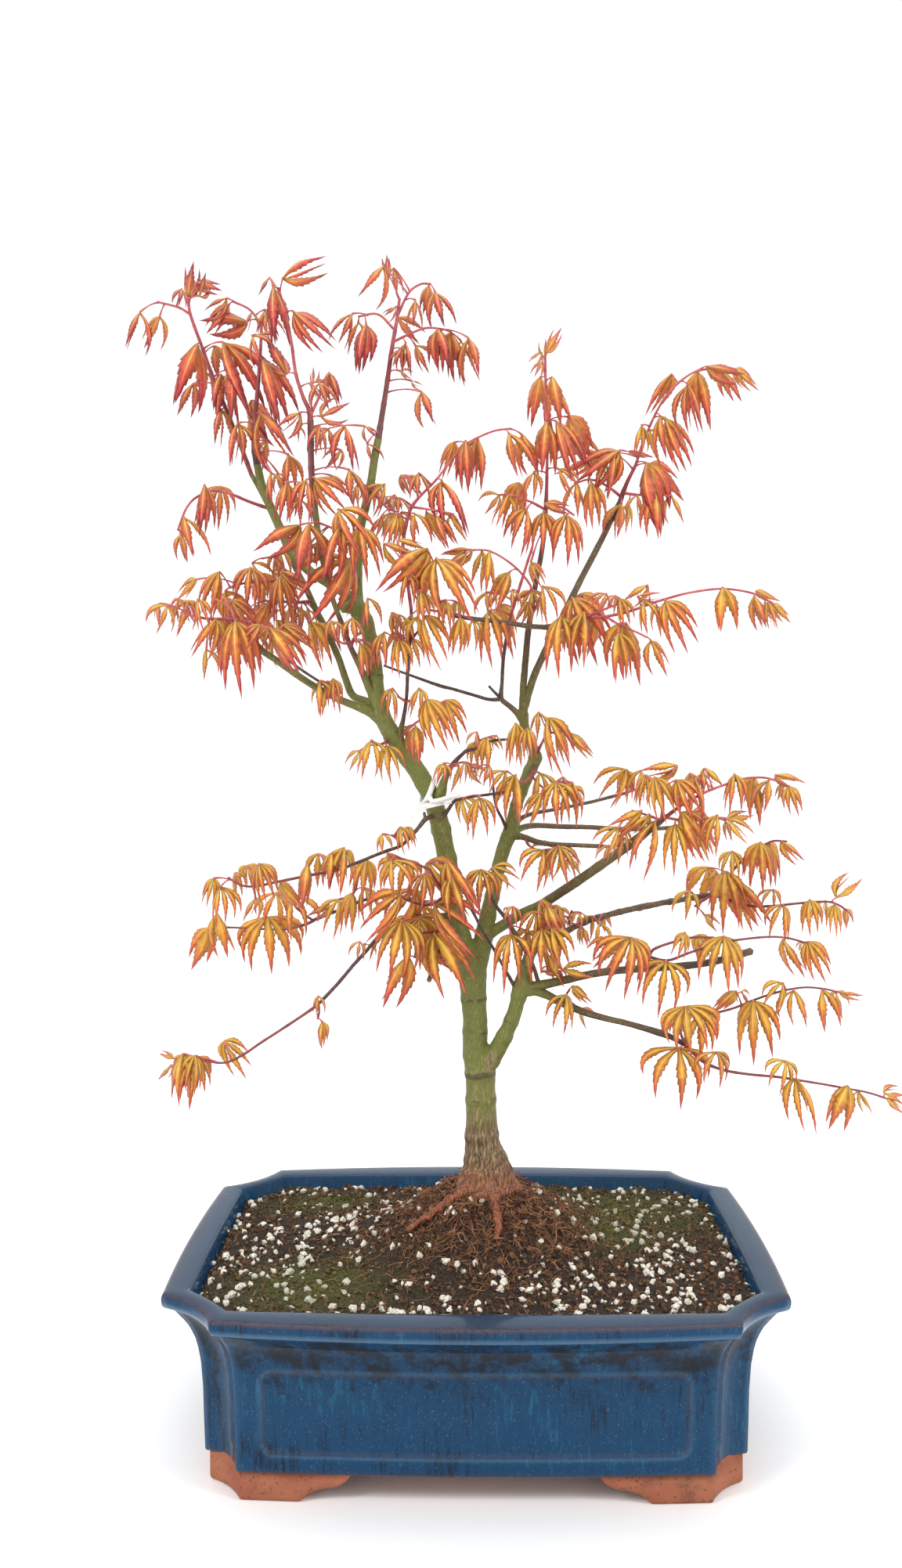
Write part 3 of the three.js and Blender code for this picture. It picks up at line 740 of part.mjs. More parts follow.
// A prism of an (x, z) outline drawn along Y, or of a (y, z) outline drawn along X.
function prism(outline, axis, from, to) {
  const contour = outline.map(([a, b]) => new THREE.Vector2(a, b));
  if (THREE.ShapeUtils.isClockWise(contour)) contour.reverse();
  const along = axis === "x" ? [from, to] : [to, from];
  const at = (t) => contour.map(({ x, y }) => (axis === "x" ? vector(t, x, y) : vector(x, t, y)));
  const surface = new Surface();
  const [near, far] = along.map((t) => surface.ring(at(t)));
  surface.band(near, far);
  for (const [a, b, c] of THREE.ShapeUtils.triangulateShape(contour, [])) {
    surface.face(near[a], near[c], near[b]);
    surface.face(far[a], far[b], far[c]);
  }
  return surface.solid();
}

// The opening between two feet under one side: a flat-topped arch with a stepped, cloud-like edge.
function footArch(halfSpan) {
  const edge = [
    [halfSpan, -1], [halfSpan, 0], [halfSpan - 4.8, 4], [halfSpan - 9.5, 5.8],
    [halfSpan - 17, 7], [halfSpan - 21.5, 9.6], [halfSpan - 24.6, BODY_BOTTOM],
  ];
  return [...edge, ...edge.map(([x, z]) => [-x, z]).reverse()];
}

// The frame drawn on each side: a shallow field with its corners bitten in.
function fieldShape(halfLength) {
  const low = 23.4;
  const high = 62.5;
  const bite = 7.5;
  const corner = [[0, 1], [0.35, 0.35], [1, 0]];
  const quarter = corner.map(([a, b]) => [halfLength - bite * a, low + bite * b]);
  const upper = quarter.map(([x, z]) => [x, low + high - z]).reverse();
  const right = [...quarter.reverse(), ...upper.reverse()];
  return [...right, ...right.map(([x, z]) => [-x, z]).reverse()];
}

function makePot() {
  const outside = stack([...BODY_PROFILE, ...LIP_PROFILE].map((level) => outerRing(level)));
  const inside = stack(INNER_PROFILE.map(([z, inset]) => innerRing(z, inset)));
  const core = stack(BODY_PROFILE.map((level) => outerRing(level, FIELD_DEPTH)));
  const fields = prism(fieldShape(97), "y", -120, 120)
    .subtract(core);
  const footOuter = [0, BODY_BOTTOM + 2].map((z) =>
    potRing(z, BODY_INSET + FOOT_INSET, 3, SHORT_SIDE_BOW, 2));
  const footInner = [-1, BODY_BOTTOM + 3].map((z) =>
    potRing(z, BODY_INSET + FOOT_INSET + FOOT_THICKNESS, 3, SHORT_SIDE_BOW, 2));
  const feet = stack(footOuter)
    .subtract(stack(footInner))
    .subtract(prism(footArch(80.4), "y", -120, 120))
    .subtract(prism(footArch(38), "x", -160, 160));
  const holes = [-1, 1].map((side) => solidOf(
    new THREE.CylinderGeometry(DRAIN_HOLE_RADIUS, DRAIN_HOLE_RADIUS, 30, 12),
    (matrix) => matrix.makeRotationX(Math.PI / 2).setPosition(side * DRAIN_HOLE_OFFSET, 0, FLOOR_TOP),
  ));
  return outside.subtract(fields).add(feet).subtract(inside).subtract(union(holes));
}

// The soil fills the pot and rises to a mound round the foot of the trunk.
function soilHeight(x, y, rough) {
  const dx = (x - MOUND_CENTRE[0]) / MOUND_REACH[0];
  const dy = (y - MOUND_CENTRE[1]) / MOUND_REACH[1];
  return SOIL_EDGE_TOP + MOUND_HEIGHT * Math.exp(-(dx * dx + dy * dy)) + rough;
}

function makeSoil(treeWithGap) {
  const random = seededRandom(11);
  const wall = (z) => innerRing(z, innerInset(z) + 1.3 * SEAT_GAP);
  const surface = new Surface();
  const edge = wall(SOIL_EDGE_TOP);
  const foot = surface.ring(wall(FLOOR_TOP + SEAT_GAP));
  surface.fan(foot, surface.add(vector(0, 0, FLOOR_TOP + SEAT_GAP)), true);
  const levels = [FLOOR_TOP + 3, 62, 78].map(wall);
  let last = foot;
  for (const level of [...levels, edge]) {
    const next = surface.ring(level);
    surface.band(last, next);
    last = next;
  }
  const middle = vector(MOUND_CENTRE[0], MOUND_CENTRE[1], 0);
  for (const share of [0.78, 0.55, 0.36, 0.2]) {
    const ring = edge.map((point) => {
      const p = middle.clone().lerp(point, share);
      p.z = soilHeight(p.x, p.y, (random() - 0.5) * 1.5);
      return p;
    });
    const next = surface.ring(ring);
    surface.band(last, next);
    last = next;
  }
  surface.fan(last, surface.add(vector(middle.x, middle.y, soilHeight(middle.x, middle.y, 0))));
  const pockets = [-1, 1].map((side) => box(
    SCREEN_SIDE + 2 * SEAT_GAP, SCREEN_SIDE + 2 * SEAT_GAP, 2 * (SCREEN_THICKNESS + 2 * SEAT_GAP),
    side * DRAIN_HOLE_OFFSET, 0, FLOOR_TOP,
  ));
  return largestBody(surface.solid().subtract(union(pockets)).subtract(treeWithGap));
}

// A square mesh plate that lies over a drain hole and holds the soil back.
function makeScreen(side) {
  const z = FLOOR_TOP + SEAT_GAP + SCREEN_THICKNESS / 2;
  const x = side * DRAIN_HOLE_OFFSET;
  const plate = box(SCREEN_SIDE, SCREEN_SIDE, SCREEN_THICKNESS, x, 0, z);
  const meshes = [-1, 1].flatMap((i) => [-1, 1].map((j) => box(6, 6, 3, x + 5 * i, 5 * j, z)));
  return plate.subtract(union(meshes));
}

function box(width, depth, height, x, y, z) {
  return solidOf(new THREE.BoxGeometry(width, depth, height), (m) => m.setPosition(x, y, z));
}

// A three.js geometry as a solid, moved by the matrix that `pose` sets.
function solidOf(geometry, pose) {
  geometry.deleteAttribute("normal");
  geometry.deleteAttribute("uv");
  const merged = mergeVertices(geometry.applyMatrix4(pose(new THREE.Matrix4())), 1e-4);
  return new Manifold(new SolidMesh({
    numProp: 3,
    vertProperties: new Float32Array(merged.attributes.position.array),
    triVerts: new Uint32Array(merged.index.array),
  }));
}

// A point (u, w) of the tree's upright plane, slid along its line of sight to `depth`.
function place(u, w, depth) {
  const reach = (depth - EYE[1]) / -EYE[1];
  return vector(EYE[0] + (u - EYE[0]) * reach, depth, EYE[2] + (w - EYE[2]) * reach);
}

function stations(branch, thinnest = 0) {
  return branch.map(([u, w, depth, radius]) => ({
    at: place(u, w, depth), radius: (Math.max(radius, thinnest) * (depth - EYE[1])) / -EYE[1],
  }));
}

// Drops the stations that lie within `slack` of the line between their neighbours.
function thinned(path, slack) {
  const keep = (from, to) => {
    const line = new THREE.Line3(path[from].at, path[to].at);
    let worst = slack;
    let split = -1;
    for (let i = from + 1; i < to; i++) {
      const nearest = line.closestPointToPoint(path[i].at, true, vector(0, 0, 0));
      const share = (i - from) / (to - from);
      const even = path[from].radius + (path[to].radius - path[from].radius) * share;
      const off = nearest.distanceTo(path[i].at) + 0.7 * Math.abs(path[i].radius - even);
      if (off > worst) [worst, split] = [off, i];
    }
    return split < 0 ? [path[to]] : [...keep(from, split), ...keep(split, to)];
  };
  return [path[0], ...keep(0, path.length - 1)];
}

function sidesFor(radius) {
  if (radius > 10) return 11;
  if (radius > 4.5) return 7;
  if (radius > 3.1) return 6;
  if (radius > 2.1) return 5;
  return radius > 1.05 ? 4 : 3;
}

// A branch with flat ends. `turn` turns its sides round it, and `grow` makes the same branch fatter
// and longer by that much.
function tube(path, sides, turn, grow) {
  const ahead = path.map((station, i) => {
    const before = path[Math.max(i - 1, 0)].at;
    const after = path[Math.min(i + 1, path.length - 1)].at;
    return after.clone().sub(before).normalize();
  });
  const across = vector(0, 1, 0).cross(ahead[0]).normalize();
  const surface = new Surface();
  const rings = path.map(({ at, radius }, i) => {
    across.addScaledVector(ahead[i], -across.dot(ahead[i])).normalize();
    const over = ahead[i].clone().cross(across);
    const end = i === 0 ? -grow : i === path.length - 1 ? grow : 0;
    const middle = at.clone().addScaledVector(ahead[i], end);
    const reach = radius + grow / Math.cos(Math.PI / sides);
    return surface.ring(Array.from({ length: sides }, (_, k) => {
      const angle = (2 * Math.PI * k) / sides + turn;
      return middle.clone()
        .addScaledVector(across, reach * Math.cos(angle))
        .addScaledVector(over, reach * Math.sin(angle));
    }));
  });
  for (let i = 1; i < rings.length; i++) surface.band(rings[i - 1], rings[i]);
  const [first, last] = [rings[0], rings[rings.length - 1]];
  for (let k = 1; k + 1 < sides; k++) {
    surface.face(first[0], first[k + 1], first[k]);
    surface.face(last[0], last[k], last[k + 1]);
  }
  return surface.solid();
}

// Each branch is turned a little further than the one before, so that no two share a corner.
function woodPart(path, order, grow = 0) {
  return tube(path, sidesFor(Math.max(...path.map(({ radius }) => radius))), 0.5 + 0.37 * order, grow);
}

function makeWood(grow = 0) {
  const roots = SURFACE_ROOTS.map((root) => root.map(([x, y, z, radius]) => ({
    at: vector(x, y, z), radius,
  })));
  const branches = [
    ...[TRUNK, ...LEADERS].map((branch) => thinned(stations(branch), 0.7)),
    ...LIMBS.map((branch) => thinned(stations(branch), 0.8)),
    ...roots.map((root) => thinned(root, 0.5)),
  ];
  return union(branches.map((branch, order) => woodPart(branch, order, grow)));
}

// The twigs of a shoot, cut back to SEAT_GAP from the wood that carries them.
function makeTwigs(paths, woodWithGap) {
  return largestBody(union(paths.map((path, i) => woodPart(path, i))).subtract(woodWithGap));
}

// Where a leaf's stalk can leave the shoot: points along its twigs, clear of the wood below.
function stalkFeet(paths) {
  return paths.flatMap((path, order) => {
    const whole = path.slice(1).reduce((sum, { at }, i) => sum + at.distanceTo(path[i].at), 0);
    const clear = Math.min(4.5, 0.6 * whole);
    let run = 0;
    return path.slice(1).flatMap((station, i) => {
      const before = path[i].at;
      const length = before.distanceTo(station.at);
      const steps = Math.max(1, Math.round(length));
      const found = [];
      for (let s = 0; s < steps; s++) {
        const share = (s + 0.37) / steps;
        const walked = run + length * share;
        if (order > 0 || walked > clear) found.push(before.clone().lerp(station.at, share));
      }
      run += length;
      return found;
    });
  });
}

// How far (u, w) lies from a point as the eye sees them; a foot above the head counts as further.
function seenDistance(foot, u, w) {
  const reach = (foot.y - EYE[1]) / -EYE[1];
  const du = EYE[0] + (foot.x - EYE[0]) / reach - u;
  const dw = EYE[2] + (foot.z - EYE[2]) / reach - w;
  return Math.hypot(du, dw) + 0.6 * Math.max(0, dw);
}

// A leaf and its stalk as one closed surface: a three-sided stalk that ends in the mouth of a
// blade, and a blade of lobes spread like fingers from a thick middle to a thin edge.
function leafSolid(foot, leaf, shift, roll) {
  const [headU, headW, tipU, tipW, lobeCount, spreadDegrees, depth] = leaf;
  const headDepth = foot.y + depth + shift;
  const seen = Math.hypot(tipU - headU, tipW - headW);
  const head = place(headU, headW, headDepth);
  const tip = place(tipU, tipW, headDepth + 0.2 * seen * Math.sign(depth || -1));
  const length = head.distanceTo(tip);
  const lobes = seen < SMALL_LEAF ? 1 : seen < LARGE_LEAF ? Math.min(lobeCount, 3)
    : Math.min(lobeCount, 5);
  const along = tip.clone().sub(head).normalize();
  const sideways = along.clone().cross(vector(0, 1, 0)).normalize().applyAxisAngle(along, roll);
  const towards = along.clone().cross(sideways);
  const spread = THREE.MathUtils.degToRad(spreadDegrees);
  const spot = (angle, reach, lift = 0) => head.clone()
    .addScaledVector(along, Math.cos(angle) * reach * length)
    .addScaledVector(sideways, Math.sin(angle) * reach * length)
    .addScaledVector(towards, lift);

  const lobeAt = (i) => (lobes === 1 ? 0 : (i / (lobes - 1)) * 2 - 1);
  const reachOf = (s) => 1 - 0.15 * Math.abs(s) - 0.2 * s * s * (lobes > 3 ? 1 : 0);
  const stepAngle = lobes === 1 ? 0 : (2 * spread) / (lobes - 1);
  const notch = THREE.MathUtils.mapLinear(
    THREE.MathUtils.clamp(stepAngle, 0.1, 0.4), 0.1, 0.4, 0.68, 0.42);
  const shoulder = Math.max(spread + 0.1, 0.2);
  const outline = [spot(-shoulder - 0.12, 0.42 * reachOf(1), -0.2)];
  for (let i = 0; i < lobes; i++) {
    const s = lobeAt(i);
    if (i > 0) {
      const between = (lobeAt(i - 1) + s) / 2;
      outline.push(spot(between * spread, notch * reachOf(between), -0.03 * length));
    }
    outline.push(spot(s * spread, reachOf(s), -0.05 * length - 0.06 * length * Math.abs(s)));
  }
  outline.push(spot(shoulder + 0.12, 0.42 * reachOf(1), -0.2));

  const surface = new Surface();
  const hubReach = 0.2;
  const front = surface.add(spot(0, hubReach, BLADE_RIDGE));
  const back = surface.add(spot(0, hubReach, -BLADE_BACK));
  const left = surface.add(spot(-Math.PI / 2, 0.75 / length));
  const right = surface.add(spot(Math.PI / 2, 0.75 / length));
  const rim = [left, ...surface.ring(outline), right];
  for (let i = 1; i < rim.length; i++) {
    surface.face(rim[i - 1], rim[i], front);
    surface.face(rim[i], rim[i - 1], back);
  }

  // The stalk rises in a slight arch and ends in a mouth on the side of the blade that it meets.
  const run = head.clone().sub(foot);
  const bend = foot.clone().lerp(head, 0.5).add(vector(0, 0, STALK_ARCH * run.length()));
  const forward = head.clone().sub(bend).normalize();
  const across = sideways.clone().addScaledVector(forward, -sideways.dot(forward)).normalize();
  const over = forward.clone().cross(across);
  const meeting = (lift) => along.clone().multiplyScalar(Math.abs(lift))
    .addScaledVector(towards, -Math.sign(lift) * hubReach * length).normalize().dot(forward);
  const fromFront = meeting(BLADE_RIDGE) > meeting(-BLADE_BACK);
  const [hub, farHub] = fromFront ? [front, back] : [back, front];
  const [first, last] = fromFront ? [right, left] : [left, right];
  const turn = fromFront ? -Math.PI / 6 : (5 * Math.PI) / 6;
  surface.face(last, first, farHub);
  const levels = run.length() > LONG_STALK ? [0, 0.6] : [0];
  const rings = levels.map((t) => {
    const middle = foot.clone().multiplyScalar((1 - t) ** 2)
      .addScaledVector(bend, 2 * t * (1 - t)).addScaledVector(head, t * t);
    const radius = t === 0 ? STALK_FOOT_RADIUS : STALK_RADIUS;
    return surface.ring([0, 1, 2].map((k) => turn + (2 * Math.PI * k) / 3).map((angle) =>
      middle.clone()
        .addScaledVector(across, radius * Math.cos(angle))
        .addScaledVector(over, radius * Math.sin(angle))));
  });
  surface.face(rings[0][0], rings[0][2], rings[0][1]);
  [...rings, [first, hub, last]].reduce((lower, upper) => {
    surface.band(lower, upper);
    return upper;
  });
  return surface.solid();
}

function boxesMeet(a, b) {
  return [0, 1, 2].every((k) => a.min[k] < b.max[k] && b.min[k] < a.max[k]);
}

// A solid with its bounding box at hand.
function boxed(solid) {
  return { solid, bounds: solid.boundingBox() };
}

function meets(piece, others) {
  return others.some((other) =>
    boxesMeet(piece.bounds, other.bounds) && piece.solid.intersect(other.solid).volume() > 1e-4);
}

// The leaves that a shoot carries here, longest first. A small leaf whose tip hangs close to a
// longer one's is left out.
function leavesKept(leaves) {
  const lengthOf = ([headU, headW, tipU, tipW]) => Math.hypot(tipU - headU, tipW - headW);
  const kept = [];
  for (const leaf of [...leaves].sort((a, b) => lengthOf(b) - lengthOf(a))) {
    const crowded = kept.some((other) => Math.hypot(other[2] - leaf[2], other[3] - leaf[3]) < CROWD);
    if (lengthOf(leaf) >= SMALL_LEAF || !crowded) kept.push(leaf);
  }
  return kept;
}

// Adds the leaves to their shoots. A leaf slides along its line of sight to the first depth where
// it is clear of the wood, of all other shoots and of the leaves before it.
function growLeaves(shoots, woodWithGap) {
  const wood = boxed(woodWithGap);
  const random = seededRandom(5);
  for (const shoot of shoots) {
    const others = [wood, ...shoots.filter((s) => s !== shoot).flatMap((s) => s.pieces)];
    const feet = stalkFeet(shoot.paths);
    const taken = [];
    for (const leaf of leavesKept(shoot.leaves)) {
      const free = feet.filter((p) => taken.every((q) => q.distanceTo(p) > FOOT_SPACING));
      const foot = (free.length ? free : feet).reduce((best, candidate) =>
        (seenDistance(candidate, leaf[0], leaf[1]) < seenDistance(best, leaf[0], leaf[1])
          ? candidate : best));
      const roll = (random() - 0.5) * 2 * BLADE_ROLL;
      const avoided = [...others, ...shoot.pieces.slice(1)];
      for (const shift of DEPTH_SHIFTS) {
        const piece = boxed(leafSolid(foot, leaf, shift, roll));
        if (meets(piece, avoided)) continue;
        taken.push(foot);
        shoot.pieces.push(piece);
        break;
      }
    }
  }
  return shoots;
}

// The tie of a plant label round the left leader: a closed band and its hanging end.
function makeLabelTie() {
  const middle = place(...TIE_AT);
  const axis = place(-28, 331, -4).sub(place(-22, 320, -2)).normalize();
  const across = vector(0, 1, 0).cross(axis).normalize();
  const over = axis.clone().cross(across);
  const surface = new Surface();
  const count = 12;
  const ringOf = (radius, height) => surface.ring(Array.from({ length: count }, (_, i) => {
    const angle = (2 * Math.PI * i) / count;
    return middle.clone().addScaledVector(axis, height + TIE_SLANT * Math.cos(angle))
      .addScaledVector(across, radius * Math.cos(angle))
      .addScaledVector(over, radius * Math.sin(angle));
  }));
  const half = TIE_WIDTH / 2;
  const outerLow = ringOf(TIE_RADIUS + TIE_THICKNESS, -half);
  const outerHigh = ringOf(TIE_RADIUS + TIE_THICKNESS, half);
  const innerHigh = ringOf(TIE_RADIUS, half);
  const innerLow = ringOf(TIE_RADIUS, -half);
  surface.band(outerLow, outerHigh);
  surface.band(outerHigh, innerHigh);
  surface.band(innerHigh, innerLow);
  surface.band(innerLow, outerLow);
  return surface.solid();
}

const finish = (color, roughness, metalness = 0) =>
  new THREE.MeshStandardMaterial({ color, roughness, metalness });
const GLAZE = finish("#1f4e79", 0.25);
const SCREEN = finish("#2b2b2b", 0.7);
const SOIL = finish("#4a3728", 0.95);
const BARK = finish("#6f7340", 0.75);
const LEAF_CROWN = finish("#e0603c", 0.6);
const LEAF_LOW = finish("#eda64a", 0.6);
const TIE = finish("#e8e8e2", 0.5);

// Two corners of a joined surface can land on one spot without being one corner. Each such corner
// is pulled a little way towards the middle of its own neighbours.
function pullApart(corners, triangles) {
  const beside = corners.map(() => new Set());
  triangles.forEach((corner, i) => {
    const first = i - (i % 3);
    for (const other of triangles.slice(first, first + 3)) {
      if (other !== corner) beside[corner].add(other);
    }
  });
  for (let round = 0; round < 4; round++) {
    corners.forEach((corner, i) => {
      if (!corners.some((other, j) => j < i && corner.distanceTo(other) < CORNER_GAP / 2)) return;
      const middle = vector(0, 0, 0);
      beside[i].forEach((j) => middle.addScaledVector(corners[j], 1 / beside[i].size));
      corner.add(middle.sub(corner).setLength(CORNER_GAP));
    });
  }
}

function asMesh(name, solid, material) {
  const clean = largestBody(solid.asOriginal().simplify(JOIN_TOLERANCE));
  const { vertProperties, triVerts, numProp } = clean.getMesh();
  const corners = Array.from({ length: vertProperties.length / numProp }, (_, i) =>
    vector(...vertProperties.subarray(i * numProp, i * numProp + 3)));
  pullApart(corners, Array.from(triVerts));
  const positions = new Float32Array(corners.flatMap((corner) => corner.toArray()));
  const geometry = new THREE.BufferGeometry();
  geometry.setAttribute("position", new THREE.BufferAttribute(positions, 3));
  geometry.setIndex(new THREE.BufferAttribute(triVerts, 1));
  geometry.computeVertexNormals();
  const mesh = new THREE.Mesh(geometry, material);
  mesh.name = name;
  return mesh;
}

function makeBonsai() {
  const woodWithGap = makeWood(SEAT_GAP);
  const shoots = SHOOTS.map(([name, twigs, leaves]) => {
    const paths = twigs.map((twig) => thinned(stations(twig, THINNEST_TWIG), 1));
    return { name, paths, leaves, pieces: [boxed(makeTwigs(paths, woodWithGap))] };
  });
  const bonsai = new THREE.Group();
  bonsai.position.x = -POT_OFF_CENTRE;
  bonsai.add(
    asMesh("pot", makePot(), GLAZE),
    asMesh("drain_screen_left", makeScreen(-1), SCREEN),
    asMesh("drain_screen_right", makeScreen(1), SCREEN),
    asMesh("soil", makeSoil(woodWithGap), SOIL),
    asMesh("trunk", makeWood(), BARK),
    asMesh("label_tie", makeLabelTie(), TIE),
  );
  for (const { name, pieces } of growLeaves(shoots, woodWithGap)) {
    const solid = largestBody(union(pieces.map((piece) => piece.solid)));
    const middle = solid.boundingBox();
    const crown = (middle.min[2] + middle.max[2]) / 2 > 360;
    bonsai.add(asMesh(name, solid, crown ? LEAF_CROWN : LEAF_LOW));
  }
  const part = new THREE.Group();
  part.name = "katsura_maple_bonsai";
  part.add(bonsai);
  return part;
}

export default makeBonsai();
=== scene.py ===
"""Katsura Japanese maple bonsai in its glazed pot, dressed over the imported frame.

Sizes are millimetres with the origin on the table under the middle of the pot. `Draft.build`
turns them into the metres of the frame, whose own origin lies a little further right.
"""

import functools
import logging
import math
import random
from dataclasses import dataclass, field
from enum import Enum
from typing import Any, Callable, Sequence

import bmesh
import bpy
import numpy as np
from mathutils import Matrix, Vector, kdtree, noise
from mathutils.geometry import delaunay_2d_cdt


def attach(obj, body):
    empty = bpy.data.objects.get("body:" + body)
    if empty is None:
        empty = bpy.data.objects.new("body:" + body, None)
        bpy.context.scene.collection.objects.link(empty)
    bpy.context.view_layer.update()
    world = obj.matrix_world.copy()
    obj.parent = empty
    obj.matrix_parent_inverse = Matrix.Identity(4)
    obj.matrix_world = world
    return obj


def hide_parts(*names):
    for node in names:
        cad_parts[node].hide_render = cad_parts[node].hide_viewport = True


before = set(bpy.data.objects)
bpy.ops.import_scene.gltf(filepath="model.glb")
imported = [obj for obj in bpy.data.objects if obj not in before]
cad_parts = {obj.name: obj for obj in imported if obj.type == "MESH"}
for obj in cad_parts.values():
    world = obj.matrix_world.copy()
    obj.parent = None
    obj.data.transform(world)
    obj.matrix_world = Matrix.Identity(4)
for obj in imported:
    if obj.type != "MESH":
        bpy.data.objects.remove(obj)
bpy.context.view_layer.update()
log = logging.getLogger("bonsai")

BODY = "root"
MILLIMETRE = 0.001
POT_OFF_CENTRE = 12.5
EYE = Vector((1.5, -640, 344))
Colour = tuple[float, float, float, float]
Profile = Sequence[tuple[float, float]]
Dressed = tuple[Vector, dict[str, float]]
Row = Sequence[float]


def read_rows(table: str) -> list[Row]:
    """Reads rows of numbers; commas part the rows and spaces the numbers."""
    return [[float(word) for word in row.split()] for row in table.split(",")]


def read_stems(table: str) -> list[list[Row]]:
    """Reads stems, each a list of rows; semicolons part them."""
    return [read_rows(stem) for stem in table.split(";")]


def read_shoots(table: str) -> list[tuple[str, list[list[Row]], list[Row]]]:
    """Reads shoots; blank lines part them.

    Args:
        table: Their names, twigs and leaves.

    Returns:
        The name, the twigs and the leaves of each.
    """
    shoots = []
    for block in table.strip().split("\n\n"):
        name, rows = block.split(":")
        twigs, leaves = rows.split("|")
        shoots.append(("shoot_" + name, read_stems(twigs), read_rows(leaves)))
    return shoots


# Stations of the wood: across, up, depth and radius, where across and up are read on the plane
# through the trunk and depth moves the spot along the line of sight, plus away from the viewer.
# A comma parts the stations of a stem, and a semicolon parts stems.
TRUNK = read_rows("""
  6 97 0 11, 6.4 108 0 15.5, 6.5 118 0 16.4, 6.3 124 0 13.6, 6 130 0 11.4, 4.9 135 0 9.8,
  4.1 141 0 8.8, 3.7 150 0 8.2, 3.5 160 0 7.8, 3.4 170 0 7.6, 3.2 177 0 7.9, 1.6 184 0 7,
  0.7 192 0 6.4, 0.6 205 0 6.3, 0 215 0 6.5, -0.4 224 0 7, -0.8 233 0 7.4, -1 239 0 5.6""")
LEADERS = read_stems("""
  -1 226 0 6.2, -4.5 240 0 5.2, -8 252 1 5, -11 268 2 5, -13 285 3 4.9, -16 300 2 4.9,
  -18.5 311 0 4.8, -22 320 -2 4.8, -28 331 -4 4.8, -35 341 -5 4.6, -41 350 -6 4.5, -46 360 -6 4.5,
  -49 371 -6 4.4, -50 384 -5 4.2, -51.5 396 -3 4, -54 407 -1 4, -57.5 414 0 4.2, -60 420 0 3.4;
  0.5 226 0 5.4, 3.5 238 1 5, 5.5 248 2 4.6, 8 260 4 4, 10.5 271 6 3.6, 13 282 8 3.5,
  15.4 291 9 3.6, 18.8 300 10 3.7, 20.6 308 10 3.1, 23.5 318 10 3.1, 28.5 330 11 3.2,
  32 338 12 3.4, 31 343 12 2.7, 26.8 353 12 2.5, 26 360 12 2.5, 26.2 367 12 2.3;
  4 178 0 5, 9 184 -2 5, 13.5 191 -4 4.4, 17.5 199 -6 4, 20.8 207 -7 3.8, 22.5 214 -8 3.8,
  24.5 221 -8 4.4, 26.5 229 -7 3.6, 28.5 236 -6 3, 32 241 -5 2.3, 38 243.8 -4 1.9, 44 247 -2 1.8,
  50 250.7 0 1.7, 57 254 3 1.6, 66 256.8 6 1.6, 80 260.4 11 1.6, 95 263.4 15 1.6, 110 266 18 1.5,
  122 268 20 1.5""")
